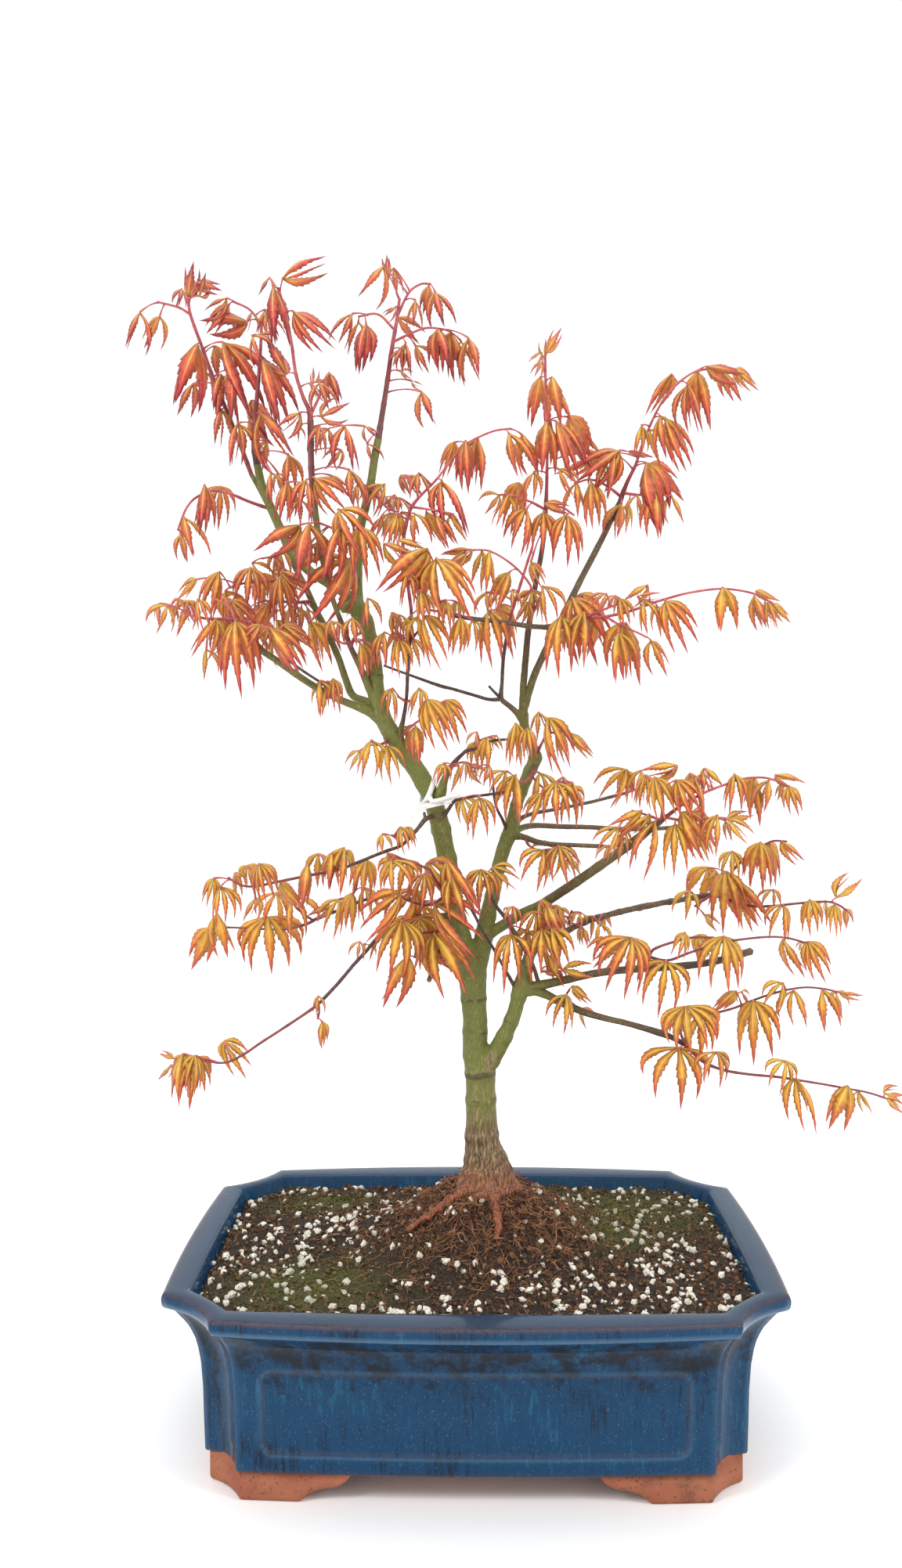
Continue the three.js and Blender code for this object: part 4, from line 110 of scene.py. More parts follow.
LIMBS = read_stems("""
  25 220 -8 2.8, 31 221 -10 2.6, 38 222.3 -13 2.4, 48 224.5 -16 2.1, 58 226.8 -19 2,
  68 228.5 -22 2, 80 229.6 -25 1.9, 95 230.5 -28 1.9, 110 231.7 -31 1.9, 121 233.2 -33 1.8,
  132 236 -34 1.8, 142 239 -35 1.9;
  25 219 -8 2.8, 31 218.6 -11 2.4, 37 216.8 -14 2.2, 43 213.6 -17 2.1, 50 210.3 -20 2,
  57 207.5 -23 1.8, 67 204.6 -25 1.6, 78 202 -27 1.5, 88 199.2 -28 1.6, 95 197 -29 1.8,
  101 194.8 -30 1.4, 108 191 -31 1.3;
  4 243 2 3, 9 248.5 2 2.9, 16 253 3 2.7, 25 258.5 2 2.5, 34 262.6 0 2.4, 45 269.5 -4 2.4,
  56 276.8 -9 2.4, 66 283.8 -14 2.4, 76 290.8 -19 2.4, 85 297.4 -24 2.4, 91 302.5 -27 2.2,
  96 306 -29 1.7;
  33.2 223.2 -11 1.2, 30 233 -16 1, 24.5 243 -19 1.1, 20 250 -21 1.5, 16.5 256 -20 1.1,
  12 262 -18 0.9, 8.6 268.5 -16 0.8;
  22 219 -8 1.2, 16 230 -13 0.8, 10.5 240 -17 0.8, 5 249 -20 0.75, 0 259 -22 0.75, -3 264 -22 0.7;
  20 300 10 2, 25.5 302.6 16 1.6, 32 303.6 22 1.4, 45 303 30 1.3, 60 302.6 38 1.2,
  75 301.6 45 1.2, 92 301.8 52 1.1, 108 302.6 57 1, 119 303.5 60 0.9;
  20 299 10 2, 26 297.6 3 1.6, 33 295.2 -5 1.4, 41 294 -12 1.2, 54 293.4 -20 1.1, 66 292.8 -27 1.1;
  20.5 304 10 1.8, 25 307.6 14 1.2, 31 309.8 18 1, 41 311.6 22 0.95, 51 313.6 26 0.9,
  61 315.7 30 0.9, 71 318.2 33 0.9;
  18 300 9 1.2, 15 307 5 0.8, 12.2 312.5 1 0.7, 11 318 -2 0.7, 10.4 324 -4 0.6;
  26.2 364 12 2, 28.5 371 12 2, 31.5 380 11 1.9, 35.5 389 9 1.8, 39 396.5 8 1.7, 43 404 8 1.6,
  47 412 9 1.6, 51 420 11 1.7, 56 430 14 1.6, 61.3 440 16 1.6, 66.5 450 18 1.5, 71.3 460 20 1.5,
  75 467 20 1.5;
  26.2 364 12 2, 25.8 372 12 1.8, 26.6 382 13 1.7, 27.4 391 14 1.7, 28.3 401 15 1.6,
  29.8 411 15 1.5, 31.4 421 14 1.4, 33.2 431 12 1.3, 35 440 10 1.3, 36.6 450 8 1.2;
  26 357 12 1.8, 22.5 361.3 11 1.6, 18.5 365 10 1.4, 14.8 368.3 9 1.3, 15.1 376 8 0.9,
  15.8 388 7 0.9, 17.2 398 5 0.85;
  15.4 367.8 9 1, 11 372 8 0.7, 8.5 374.8 8 0.6;
  15.4 368.3 9 1.2, 9 368 13 0.9, 0 370.5 18 0.85, -10 373.5 23 0.8, -16 375 26 0.95,
  -30 380 31 0.7, -45 385.6 36 0.6;
  41 404.4 8 1.5, 35 404.7 3 1.3, 28 405.3 -2 1.25, 20 406.6 -6 1.25, 10 408 -11 1.2,
  0 409.2 -16 1.1, -9 410.6 -20 1;
  -19 313 -2 3.2, -16.5 320 -6 2.9, -14.5 327 -9 2, -11.5 333 -11 1.4, -8.3 337.2 -13 1.2,
  -5.5 340 -13 0.9, -3 342 -14 1, 1.5 343 -14 0.8, 5 345 -15 0.7, 10 347 -15 0.7,
  16.5 347.6 -14 0.7;
  -16 307 0 1.5, -12.5 312 -6 1, -9 316.5 -10 0.9, -2 318.2 -13 0.7, 7 319.4 -15 0.7,
  16 320.6 -17 0.7;
  -16 309 1 1.6, -21 308.4 -4 1.3, -24.5 306.8 -8 1.3, -28 302.5 -11 1, -33 297 -14 0.95,
  -37 293.5 -17 0.9, -46 290.2 -21 0.85, -56 286.2 -25 0.85, -64 283 -28 0.8;
  -24.2 306.5 -8 1, -24.9 310.4 -8 0.8;
  -11 263 2 2.2, -17 264.3 8 1.2, -26 264.7 14 0.9, -38 267.4 20 0.85, -50 267 25 0.8,
  -62 263.5 30 0.8, -72 259.2 34 0.8, -81 255.8 38 0.9;
  -9 253 0 1.8, -14 249 -6 1.5, -17.5 239 -11 1.3, -20.5 231 -14 1.3, -23 223.8 -17 1.3;
  -9.5 257 1 2, -20 257.5 -10 1.2, -32 256.5 -19 1, -42 252.5 -26 0.95, -50 245.3 -32 0.95,
  -55 239.4 -35 0.95, -62 231.8 -39 0.9, -70 222.3 -44 0.9, -78 213.8 -48 0.9;
  -37 344 -5 2.2, -36.8 352 -9 1.6, -35.4 358 -11 1.1, -34 366 -14 0.9, -33.3 374 -16 0.9,
  -33 384 -18 0.85, -32.4 392 -19 0.9, -31.7 398.5 -20 1, -31 406 -20 0.8, -31 414 -19 0.8;
  -31.9 397 -20 0.9, -28 402.5 -22 0.6, -25 406 -24 0.6;
  -46 358 -6 3, -53 362.6 -8 2.8, -60 365.2 -11 2, -70 369.4 -15 1.8, -80 374.8 -19 1.8,
  -90 381.4 -23 1.8, -100 388.6 -26 1.7, -107 393.4 -28 1.7, -112 399 -29 1.5, -117 405 -30 1.4;
  -66 367.6 -13 1, -71 371.8 -17 0.8, -77 376.8 -22 0.7, -86 382.8 -27 0.7, -94 388.6 -32 0.7;
  -48 364 -6 2.8, -54 367 -4 2.4, -61 370.4 -1 1.9, -64.4 378 2 1.8, -68 389 5 1.7,
  -71.6 397.5 8 1.7, -75.6 406 11 1.7, -80 415 14 1.6, -84.5 425 17 1.6, -90.5 437 20 1.5,
  -96.5 451 22 1.4, -103 466 22 1.3, -108.5 477 20 1.3, -112 483 19 1.2;
  -49.5 367 -6 2.2, -53.2 375 -10 1.9, -57 384.5 -13 1.6, -62 395 -16 1.4, -66 406 -19 1.3,
  -70.5 418 -22 1.3, -74 430 -23 1.4, -76.5 443 -23 1.5, -78.5 455 -22 1.6, -80 468 -20 1.6;
  -57 411 0 3.6, -62 420 2 3, -68 425 3 2.7, -76 429.5 4 2.5, -84 435 5 2.5, -90 442 6 2.5,
  -96 452.5 6 2.4, -101.5 464.5 5 2.2, -106.5 477 3 2.1, -109 488 1 1.9;
  -58 416 -1 3.4, -63.5 415.4 -4 3, -66.5 414.8 -5 2.4;
  -58 412 0 3.4, -58.5 425 3 2.8, -58 440 7 2.4, -56.5 456 9 2.3, -53.5 468 10 2.2,
  -51 479 10 2.1, -49.3 490 11 2, -47.3 500 12 1.9""")
# Surface roots: right, behind, up and radius, as plain places.
SURFACE_ROOTS = read_stems("""
  8 -6 123 4, 9.5 -15 116.5 2.9, 11.8 -27 108.4 2.1, 9.8 -34 103 1.5;
  2 -6 121 4, -8 -11 116.5 2.6, -22 -17 109 1.8, -34 -22 102.5 1.2;
  10 0 122 5, 20 -4 118 3.4, 30 -6 111 2.2, 40 -7 104.5 1.4;
  2 2 121 4, -8 7 117 2.8, -20 12 110 2, -31 16 103 1.4;
  9 4 121 4.5, 15 14 116 3, 26 36 99.5 1.5""")
# Shoots: the name, its twigs as stems, and after a bar its leaves. A leaf is across and up of its
# hub, across and up of its tip, its lobes, half the angle in degrees that they span, and how far
# its hub lies behind its foot.
SHOOTS = read_shoots("""
west_top: -112 483 19 1.2, -117.5 498 16 1.15, -125 517 13 1.1, -132 534.5 11 1, -136 546 10 0.9,
  -142.3 564 9 0.8, -143.5 572 9 0.7; -142.3 564 9 0.7, -148 567.5 7 0.6, -159 570.5 5 0.55 |
  -168 565.5 -175.5 548 3 16 -3, -158 563 -166 547 3 18 4, -139 580 -126 576 3 14 5,
  -146.5 577 -148 568 3 20 -5, -143.5 573 -142 591 3 14 0, -139 549 -148 520 3 14 -6,
  -127 533.5 -131 516 3 14 -8, -141.5 529 -149.5 513 3 12 6, -127 516 -130 499 3 12 -5,
  -126 550 -110 512 5 16 -9, -122 536 -120 509 3 12 -12, -130 548 -128 530 3 14 7

west_inner: -109 488 1 1.9, -110.3 497 0 1.6, -110 508 0 1.3, -108.5 525 -1 1.1, -107 542 -1 0.9,
  -106 560 0 0.7; -106 558 0 0.6, -112 566 -3 0.55, -121 570.5 -6 0.55 |
  -114 560 -137 561.5 3 9 4, -124 572 -135 566 3 12 -3, -123 568 -134 554 3 12 6,
  -111 565 -114.5 556 3 18 -5, -104 566 -109 554 3 16 6, -103 565 -97 552 3 16 -4,
  -111 553 -106 539 5 48 -9, -106 541 -97 507 5 12 -10, -119 509 -122 487 5 20 -8,
  -107 514 -90 492 3 16 -9, -104 500 -105 485 3 14 6, -93 493 -93 474 5 20 -12,
  -102 484 -101 467 3 16 -11, -112 520 -103 500 3 14 9

second_stem: -80 468 -20 1.6, -81.2 480 -19 1.6, -81.6 494 -18 1.6, -81.6 506 -17 1.7,
  -82.3 515 -16 1.3, -85 521 -16 1, -88.8 533 -15 0.9, -91 549 -14 0.8, -94 565 -13 0.7,
  -97.5 577 -12 0.6; -82 508 -17 1.3, -81.3 516 -17 1.1; -81.8 512 -17 0.8, -78 520 -20 0.7,
  -75 526 -22 0.6 | -95 582 -73.5 593 3 12 -3, -100 577 -99 549 3 10 -5,
  -102 582 -107.5 573 3 18 4, -90 565 -70 546 5 16 -6, -94 534 -105 553 3 12 5,
  -77 529 -72 515 3 24 -5, -72 534 -66.5 518 3 14 6, -80 529 -80 537 3 16 3,
  -87 514 -98.5 506.5 3 14 -7, -88 507 -88 499 3 22 7, -77 507 -79 492 3 16 -8,
  -76 512 -61.5 519 3 22 5, -64 507 -60 484 3 16 -9, -66 495 -74.5 485 3 20 8,
  -54 507 -47 500 3 22 -5, -80 481 -65 465 5 26 -12, -84 480 -83 459 5 18 -14,
  -71 482 -62 472 3 10 8, -94 479 -97 459 5 20 -9, -87 470 -87 457 3 22 -13,
  -62 485 -60 469 3 14 -11

front_crown: -58 428 4 1.3, -60 436 -8 0.9, -61 446 -20 0.8, -60 456 -30 0.7, -64 463 -34 0.6;
  -60.5 448 -22 0.7, -70 455 -30 0.6, -78 458.5 -34 0.55 | -68 465 -58 441 5 30 -6,
  -57 456.5 -53 431 5 22 -8, -67 457 -74 430 5 18 -9, -62 440 -79 412 5 34 -12,
  -83 457.5 -87 431 3 14 -6, -88 457 -109 446 3 8 5, -79 448 -79 437 3 18 4

west_arch: -102 465.5 5 1, -107 467 4 0.9, -115 470 0 0.8, -122 473 -5 0.7, -131 475 -11 0.7,
  -140 472 -17 0.6, -145 467 -21 0.6, -149 458 -25 0.55, -150 455 -26 0.5 |
  -136 478 -139 453 5 12 -7, -128 477 -129 455 5 30 6, -147 462 -142 442 3 18 -5,
  -148 453 -145 439 3 18 4

west_upper_twig: -85 427 18 1.1, -92 428 10 0.8, -101 429 3 0.7, -110 428.5 -3 0.7,
  -119 427.5 -8 0.6, -124 425.5 -10 0.55; -92 428 10 0.7, -96 436 6 0.6, -100 441 3 0.55,
  -107 440.5 0 0.5 | -129 434 -133 412 5 18 -5, -113 436 -116 415 5 30 -7,
  -112 438 -106 427 3 18 6, -97 434 -84 428 5 20 -8, -97 444 -98 430 3 16 6,
  -95 433 -88 421 3 14 -5, -141 430 -150 419 3 10 6, -126 424 -125 404 3 16 7

west_lower_twig: -81.5 418.5 15 1.1, -90 418 8 0.7, -99 418.6 2 0.7, -107 419 -2 0.6 |
  -98 431 -97 407.7 5 16 -9, -104 418 -112 400 5 18 -6, -100 409 -90 387 5 16 -12,
  -92 416 -89.5 404 3 20 5, -87 415 -87 405 3 20 -4, -88 405 -93 396 3 24 3,
  -83 408 -77 388 5 18 -12, -113 413 -107 402 3 22 6

west_limb_end: -117 405 -30 1.3, -121 409 -31 1, -125 409.8 -32 0.9, -135 410 -34 0.8,
  -147 412.5 -36 0.55; -121 409 -31 0.8, -124 416 -28 0.6, -131 420 -24 0.55 |
  -121 409 -120 375 5 18 -7, -131 410 -143 393 5 26 -5, -128 410 -125 388 5 16 6,
  -123 419 -113 402 5 20 5, -140 420 -138 404 5 16 -5, -145 419 -150.5 402 3 18 4,
  -136 394 -137 380 3 16 7, -118 408 -112 386 5 12 9, -156 417 -160.5 403 3 30 -4

west_red_twig: -94 388.6 -32 0.7, -98 393 -34 0.6, -101 398 -35 0.55 | -103 405 -91 386 5 14 -6,
  -101 399 -95 386 3 16 5, -108 407 -114 396 5 20 -4

west_elbow: -71 369.8 -15 1, -72 374.5 -21 0.7, -74 377 -26 0.55 | -78 378 -77.5 363 3 18 -5,
  -71 379 -71 366 5 18 -3

brown_stem: -62 395 -16 1, -60 400 -23 0.7, -57 402 -28 0.6; -61 398 -20 0.7, -66 397 -26 0.6,
  -70 400 -29 0.5 | -72 408.5 -69 399 3 22 -5, -61 410 -59 397 3 20 -6, -57 397 -56 379 5 14 -5,
  -54 398 -49.5 393 3 10 4, -53 420 -52.5 404 3 16 -5

middle_stem: -47.3 500 12 1.8, -46 508 13 1.5, -43 526 14 1.3, -40 546 15 1.1, -37.5 560 16 0.9,
  -36 571 16 0.7; -37.5 561 16 0.7, -31 574 19 0.6, -25 578 21 0.55, -20 578 22 0.5;
  -38.5 555 15.5 0.7, -47 563 12 0.6, -57 562 9 0.55; -39.5 549 15 0.7, -31 553 13 0.6,
  -22 556 11 0.55, -10 554.5 8 0.5 | -44 587 -56 572.5 3 18 -5, -39 586 -37 571 3 18 4,
  -42 584 -42.5 593 3 14 0, -18 574 -13 556 3 18 -4, -21 577 -23 562.5 3 14 5,
  -28 570 -29 556.5 3 16 -5, -38 566.5 -44 562 3 20 -5, -60 563.5 -67 548.5 3 16 -3,
  -57 559 -62 542.5 3 16 4, -53 558 -58 533.5 5 14 -5, -17 555 -11 536.5 3 14 -4,
  -10 553.5 -4 526.5 5 14 3, -1 550.5 6 532.5 3 14 -3, -37 561 -25.5 548.5 3 12 6,
  -33 548.5 -30 531.5 5 16 -5, -35 545.5 -39.5 536.5 3 20 -7, -28 547 -21 533 3 18 6,
  -25 524 -18 509.5 3 14 -5, -30 529.5 -24 527.5 3 10 4, -36 534.5 -30 530.5 3 18 -6,
  -53 498 -50 488 3 18 -6

middle_low: -52 476 10 1.1, -47 470 3 0.7, -42 465 -1 0.6, -38 463.5 -4 0.55 |
  -44 477.5 -50 461.5 5 24 -6, -57.5 478.5 -58 464.5 5 18 -9, -46 461 -51 451 5 20 -8,
  -39 472 -37 461 3 18 5

north_arch: -31 414 -19 0.9, -33 430 -18 0.9, -35 446 -17 0.95, -33.2 458 -16 1,
  -30.5 466 -15 0.9, -25 472.5 -14 0.7, -18 479.5 -13 0.6, -10 489.5 -11 0.6, -3 497 -9 0.55,
  3 500.5 -8 0.55, 12 504 -7 0.5, 20 505 -6 0.5; -30.5 466 -15 0.7, -24 465 -20 0.6,
  -15 463.5 -25 0.55, -9 462 -28 0.5 | -27 483 -27 469.5 3 18 -5, -15 479 -2.5 451 5 22 -7,
  -29 462.5 -28 445.5 3 16 -4, -23 463 -16 449 3 10 5, -18 461 -12 446 3 12 -3,
  -11 461 -3 449 3 18 4, -36 482 -31 472 3 20 5, -37 470.5 -37 461 3 18 -6,
  -38 461.5 -42 447 5 20 -8, -3 499 -2.5 473 5 12 -4, 3.5 499.5 4 474 5 14 4,
  19 502.5 24 482 3 12 -4, 26 501.5 36 482 3 14 5

front_wave: -9 410.6 -20 1, -14 413 -24 0.8, -17 420 -28 0.7, -18 430 -32 0.6, -19 438 -35 0.55;
  -14 413 -24 0.7, -22 414 -29 0.6, -29 421 -33 0.6, -31 430 -36 0.6, -36 440 -38 0.5 |
  -23 445 -47 427 5 14 -6, -44.5 447.5 -28 440 3 16 4, -18 440 -4 410 5 28 -8,
  -33 433 -36 418 5 24 -5, -26 423.5 -24 409 5 20 -9, -25 411 -19 388 5 16 -6,
  -28 410 -25 395 3 18 5, -13 418.5 -11.5 404 5 16 -7, -6 410 -9 393 5 20 -4,
  -22 437 -24 420 3 16 6

twig_pair: -31.9 397 -20 0.9, -36 397 -24 0.6, -40 399.5 -26 0.55 | -41 412.5 -40 400.5 3 12 4,
  -45 402.5 -44 385.5 5 18 -4, -37.5 398.5 -38 382.5 5 20 -6

centre_twig: 17.2 398 5 0.9, 18.8 406 4 0.8, 20.2 412 3 0.8, 23 421 1 0.8, 26 430.5 -2 0.75,
  28.4 438 -4 0.7, 31 446 -5 0.6; 22 418 2 0.7, 30 423.7 -6 0.6, 26 431 -11 0.6,
  18.5 438 -14 0.55, 8.5 443.5 -17 0.5, -1 444 -20 0.45 | 7 422.5 7.5 411 3 22 -5,
  19 432.5 12 414 5 14 -5, 20.5 423.5 20.5 413.5 3 26 -7, 8 413 8.5 387 5 18 -14,
  15 416 21 391 5 16 8, 9 443.5 8.5 424 3 10 -3, 5 443 0 427.5 3 10 3, -3 442 -12 436 3 14 -4,
  0 444 -14 443 3 6 4

crown_east: 36.6 450 8 1.2, 37.3 458 7 1.1, 37.8 468 6 1.1, 38.2 480 6 0.8, 38.3 495 6 0.75,
  38 510 6 0.7, 37.8 524 6 0.65, 37.6 538 6 0.6; 37.5 464 6.5 0.8, 30 468 0 0.6, 24 470 -4 0.5;
  37.8 466 6 0.7, 46 465 1 0.6, 52 461 -3 0.5 | 36.5 463 36 440 5 22 -10, 28 464.5 25 441 5 20 -7,
  18.5 471.5 12 456 3 22 -4, 24 477.5 19 451 5 16 5, 31.5 483 26 468 5 24 -6,
  44 484.5 51.5 470 5 22 -6, 48.5 461.5 49 435 5 24 -6, 37 467 49 462 3 12 -9,
  38 543 45 556 3 12 -3, 35.5 543 29 538 3 16 3, 37 541 37.5 550 3 16 0,
  36 538.5 32 530.5 3 16 -5, 35 530.5 32 505.5 3 12 5, 41 530.5 47.5 507.5 3 14 -5,
  38 508 36 482.5 3 12 -7, 39.5 507.5 42 486.5 3 12 6, 43 508.5 51 477.5 5 10 -5,
  30 437.5 35 424 5 16 -9

crown_east_foot: 30 411 15 1.1, 33 416 7 0.7, 35.5 422 0 0.6 | 36 425.5 38 406 5 28 -6,
  28 417 22 406 5 20 -7

east_arch: 47 412 9 1, 50 410.5 0 0.8, 57 409 -7 0.75, 68 409.8 -13 0.75, 80 412.4 -18 0.75,
  92 416.6 -23 0.7, 100 419 -26 0.65, 110 421.5 -29 0.6, 125 423.4 -33 0.55, 135 422.6 -35 0.55,
  144 420.4 -37 0.5, 151 416.5 -38 0.45; 57 409 -7 0.7, 66 413 -14 0.6, 74 416 -20 0.55;
  50 410.5 0 0.7, 47 407 -6 0.6, 45.5 404 -10 0.55; 68 409.8 -13 0.6, 74 406 -20 0.6,
  84 401.5 -26 0.5, 89 399 -28 0.45 | 51 419.5 64 386 5 24 -8, 45 410 42.5 380 5 20 -8,
  57 412 57 384 5 16 -10, 68 421.5 62.5 411 5 26 -4, 75 419 78 404 5 20 -5,
  74 401.5 74 376 5 18 -9, 78 406.5 84 375 5 14 5, 89 425.5 77 417 3 12 6, 84 420 96 422 3 5 -4,
  91 397 99 379.5 3 16 5, 52 409 50.5 391 3 12 7, 87 417.5 89.5 400.5 3 16 -4,
  98 417.5 110 391 5 22 -5, 94 414.5 96 399 3 16 5, 127 424 126.5 402 3 14 -3,
  144 422 156 416.5 3 6 4, 143 419.5 149.5 404 3 8 -4, 150 416.5 155 402.5 5 18 -3,
  152.5 415.5 161.5 406 3 12 4

east_crown: 75 467 20 1.4, 77 473 20 1.2, 79.5 479 19 1, 83 486 18 0.8, 86 495 17 0.7,
  90 505 15 0.65, 93.5 512.5 13 0.6, 98 520 11 0.6, 104 526.5 8 0.6, 110 531 5 0.55,
  117 534.5 2 0.5; 76 470 20 0.9, 68 476 14 0.6, 60 479 9 0.55, 52 477 5 0.5; 77 472 20 0.8,
  86 471 14 0.6, 93 472 9 0.55, 100 470 5 0.5 | 75 493.5 53 477 5 26 -7, 72 492 69 468 5 20 -9,
  60.5 478 62 454 5 18 -5, 53 477.5 54 460 3 18 -4, 80 493 92.5 490 3 6 5,
  88.5 487 94 452 5 14 -8, 91 486.5 107 467.5 5 14 5, 76 466.5 75.5 449.5 3 14 -7,
  79.5 466 78 451.5 3 16 6, 93 472 95 448.5 5 20 -5, 101 470.5 107.5 456.5 3 16 4,
  84 471 85.5 460 3 20 -6, 86 506 83.5 490 5 16 -5, 90 503.5 96 485 3 16 5,
  95.5 510.5 99 489 3 16 -6, 98 509.5 109.5 482.5 5 16 -5, 101 531.5 87 511 5 10 4,
  109.5 526 117 501.5 5 16 -4, 114.5 532 120 503 5 14 5, 119 535 137.5 530 3 8 -4,
  127 532.5 136 517 5 14 3

east_back_twig: 71 318.2 33 0.9, 78 320 37 0.7, 85 322.5 40 0.6 | 78.5 332 70 312 5 26 -6,
  79 331 78 314 5 18 5, 86 331.5 83 314 3 16 -6

east_bright: 96 306 -29 1.6, 100 309 -30 1, 106 313.5 -30 0.8, 113 317.5 -28 0.75,
  120 321 -26 0.7, 128 324 -24 0.65, 137 327 -22 0.6, 148 327.6 -20 0.55, 157 325 -19 0.5,
  161 322.5 -18 0.45; 96 306 -29 0.9, 97 315 -34 0.7, 96 324 -38 0.6; 98 307.5 -29.5 0.8,
  110 305.5 -35 0.6, 120 307 -39 0.55, 129 306.5 -42 0.5; 96 306 -29 0.8, 88 309 -34 0.6,
  81 311 -37 0.5 | 88 329 84 312 5 20 5, 92.5 328 98 304 5 22 -6, 104 326.5 113 304 5 22 -5,
  110.5 330 107 318 5 18 5, 113 327 117 303 5 20 -7, 93 305 88 275 5 30 -10,
  103 304 103 277 5 22 -8, 106 310 119 285 5 20 -6, 115 301 120 284 5 18 5,
  124.5 308.5 124 287 5 18 -6, 104 334 85 331.5 3 7 4, 118 332.5 128 323.5 3 8 5,
  117 330 118.5 319 3 14 -4, 130 306.5 143 308 3 8 4, 130 306 140 294 3 10 -4,
  129 305.5 132 295 3 10 -3, 86 311 69 303 3 10 -4, 90 309 79 300 5 18 -7, 74 302 67 286 5 26 -6,
  78 300 79 288 3 16 5, 133 329.5 130 308.5 5 22 -4, 143 326.5 145.5 303 5 14 4,
  150.5 326 150 310 3 14 -4, 157.5 324 155 315.5 3 12 4, 161 323 165.5 307.5 5 20 -3,
  154 329 169.5 325 3 10 3

east_olive_end: 66 292.8 -27 1, 71 292.6 -30 0.7, 75 293 -32 0.55 | 69 293 66 284 3 20 -4,
  77 297 74 283 3 18 5

mid_hanging: 27 297.2 2 1, 28.5 293.5 -6 0.6, 34 290.8 -12 0.6, 41 291 -16 0.5 |
  36 291 31 271 5 34 -4, 44 293 47 273 5 32 -4, 50 287.5 55 278 3 18 5

far_east: 122 268 20 1.5, 127 272 18 0.9, 133 281 15 0.7, 140 287.5 12 0.65, 147 292.5 10 0.6,
  153 295.3 8 0.55, 160 295 6 0.5; 122 268 20 1, 132 264.5 14 0.7, 142 262 9 0.7, 152 262 5 0.65,
  162 263 2 0.6, 173 264 0 0.6, 182 264 -2 0.55, 187 262 -3 0.5, 190.5 259.5 -4 0.45;
  122 268 20 0.8, 116 264 14 0.6, 113 262 11 0.5 | 128.5 279.5 128 247 5 22 -10,
  124 279 118 274 3 14 5, 134 275.5 152 252 5 12 -7, 110.5 270 108.5 254.5 3 24 -5,
  118 257.5 125 249 3 12 -4, 132 290 131 273 5 30 -4, 146.5 294.5 147 268.5 5 20 -4,
  151 294 154 271.5 5 18 4, 143.5 285.5 141 271.5 3 22 5, 157 295 168.5 284.5 3 7 -3,
  153 270.5 153 259 5 44 -4, 158 262.5 157 241 5 30 -6, 171.5 265 171 246 5 20 -4,
  179.5 264.5 180 251.5 3 16 4, 184 262.5 185 245.5 5 16 -3, 190 260 191 250 3 14 3,
  185.5 266.5 198.5 276 3 8 4, 137 267 142 247.5 5 18 6

mid_pair: 50 250.7 0 1, 49 256 -7 0.6, 50.5 260 -10 0.5 | 53 259 49 250 3 22 -4,
  46.5 257 46 249 3 22 4, 56.5 250.5 58.5 241.5 3 14 -5

mid_trio: 63 255.9 5 0.9, 64 253 -1 0.6, 65 252 -4 0.5 | 61 257 60 244.5 3 16 4,
  64.5 253.5 63 240.5 3 18 -4, 66 258 67.5 248.5 3 14 5

centre_gold: 28.5 236 -6 1.2, 31 242 -15 0.8, 34 247 -21 0.7, 37 253 -26 0.6, 37 260 -29 0.5 |
  32 259 29 241 5 16 4, 35 250 35 229 5 26 -8, 40 250.5 46 230 5 20 -7, 38 262 44 249 3 14 -5,
  34 265 36 245 3 10 5, 38 237 47 222 3 12 -6

crossing_top: 8.6 268.5 -16 0.8, 7 275 -17 0.6, 5 279.5 -18 0.5 | 4 281 2 262 5 30 -5,
  10 282 20 272 5 22 -4

crossing_low: 20 250 -21 1, 18.5 252 -25 0.6, 19 254 -28 0.5 | 19 247.5 15 221 5 28 -5,
  20.5 262 22 253 3 24 -4

fork_front: -11 266 2 1.6, -14 268 -10 0.9, -17 272 -20 0.8, -20 277 -27 0.7, -22 281 -30 0.6;
  -14 268 -10 0.8, -22 263 -20 0.7, -30 264 -28 0.7, -37 267 -33 0.6; -17 272 -20 0.7,
  -11 278 -26 0.6, -12 284 -30 0.55; -22 281 -30 0.6, -31 285 -34 0.55, -40 288 -37 0.5 |
  -25 279 -27 262 5 26 -6, -13 285.5 2 263 5 16 -6, -11 277.5 -5 258 5 26 -10,
  -20 262.5 -3 240 5 28 -10, -37 268.5 -53 247 5 20 -8, -42 286 -41 266 5 44 -6,
  -44 289.5 -34 283 3 6 5

trunk_front: -9 250.5 1 1.4, -15 249.5 -13 0.8, -22 249 -21 0.6, -28 247 -26 0.6,
  -29.5 240 -28 0.55, -30.2 235.5 -29 0.5; -28 247 -26 0.6, -32 251.5 -30 0.6, -36 254.5 -34 0.5 |
  -37 255 -44 228 7 34 -6, -34 236 -46 213 3 8 -5, -20 248 -6 222 5 26 -8, -24 243 -14 232 3 14 5

west_back: -81 255.8 38 0.9, -84 254 39 0.8, -90 252 41 0.7, -98 250.6 43 0.6, -110 250.8 46 0.55,
  -126 251.6 49 0.5, -134 250.8 51 0.45; -82 255 38 0.7, -86 257.5 36 0.6, -91 261.5 34 0.5 |
  -93 267.5 -94 244 5 34 -5, -106 257 -103 227.5 7 48 -4, -132 258.5 -124.5 237 3 14 -5,
  -136 250.5 -145 229.5 3 14 4

west_back_mid: -62 263.5 30 0.9, -62 267.5 24 0.6, -60 272 20 0.5 | -69 266 -72 246 5 24 -6,
  -62 269 -63 249 5 14 -8, -56 272 -57 253 5 20 -6, -73 262.5 -85 258 3 8 5,
  -55 286.5 -58 264 5 20 -10

west_mid: -64 283 -28 0.9, -72 280.6 -31 0.8, -85 278.2 -35 0.75, -100 275.2 -40 0.7,
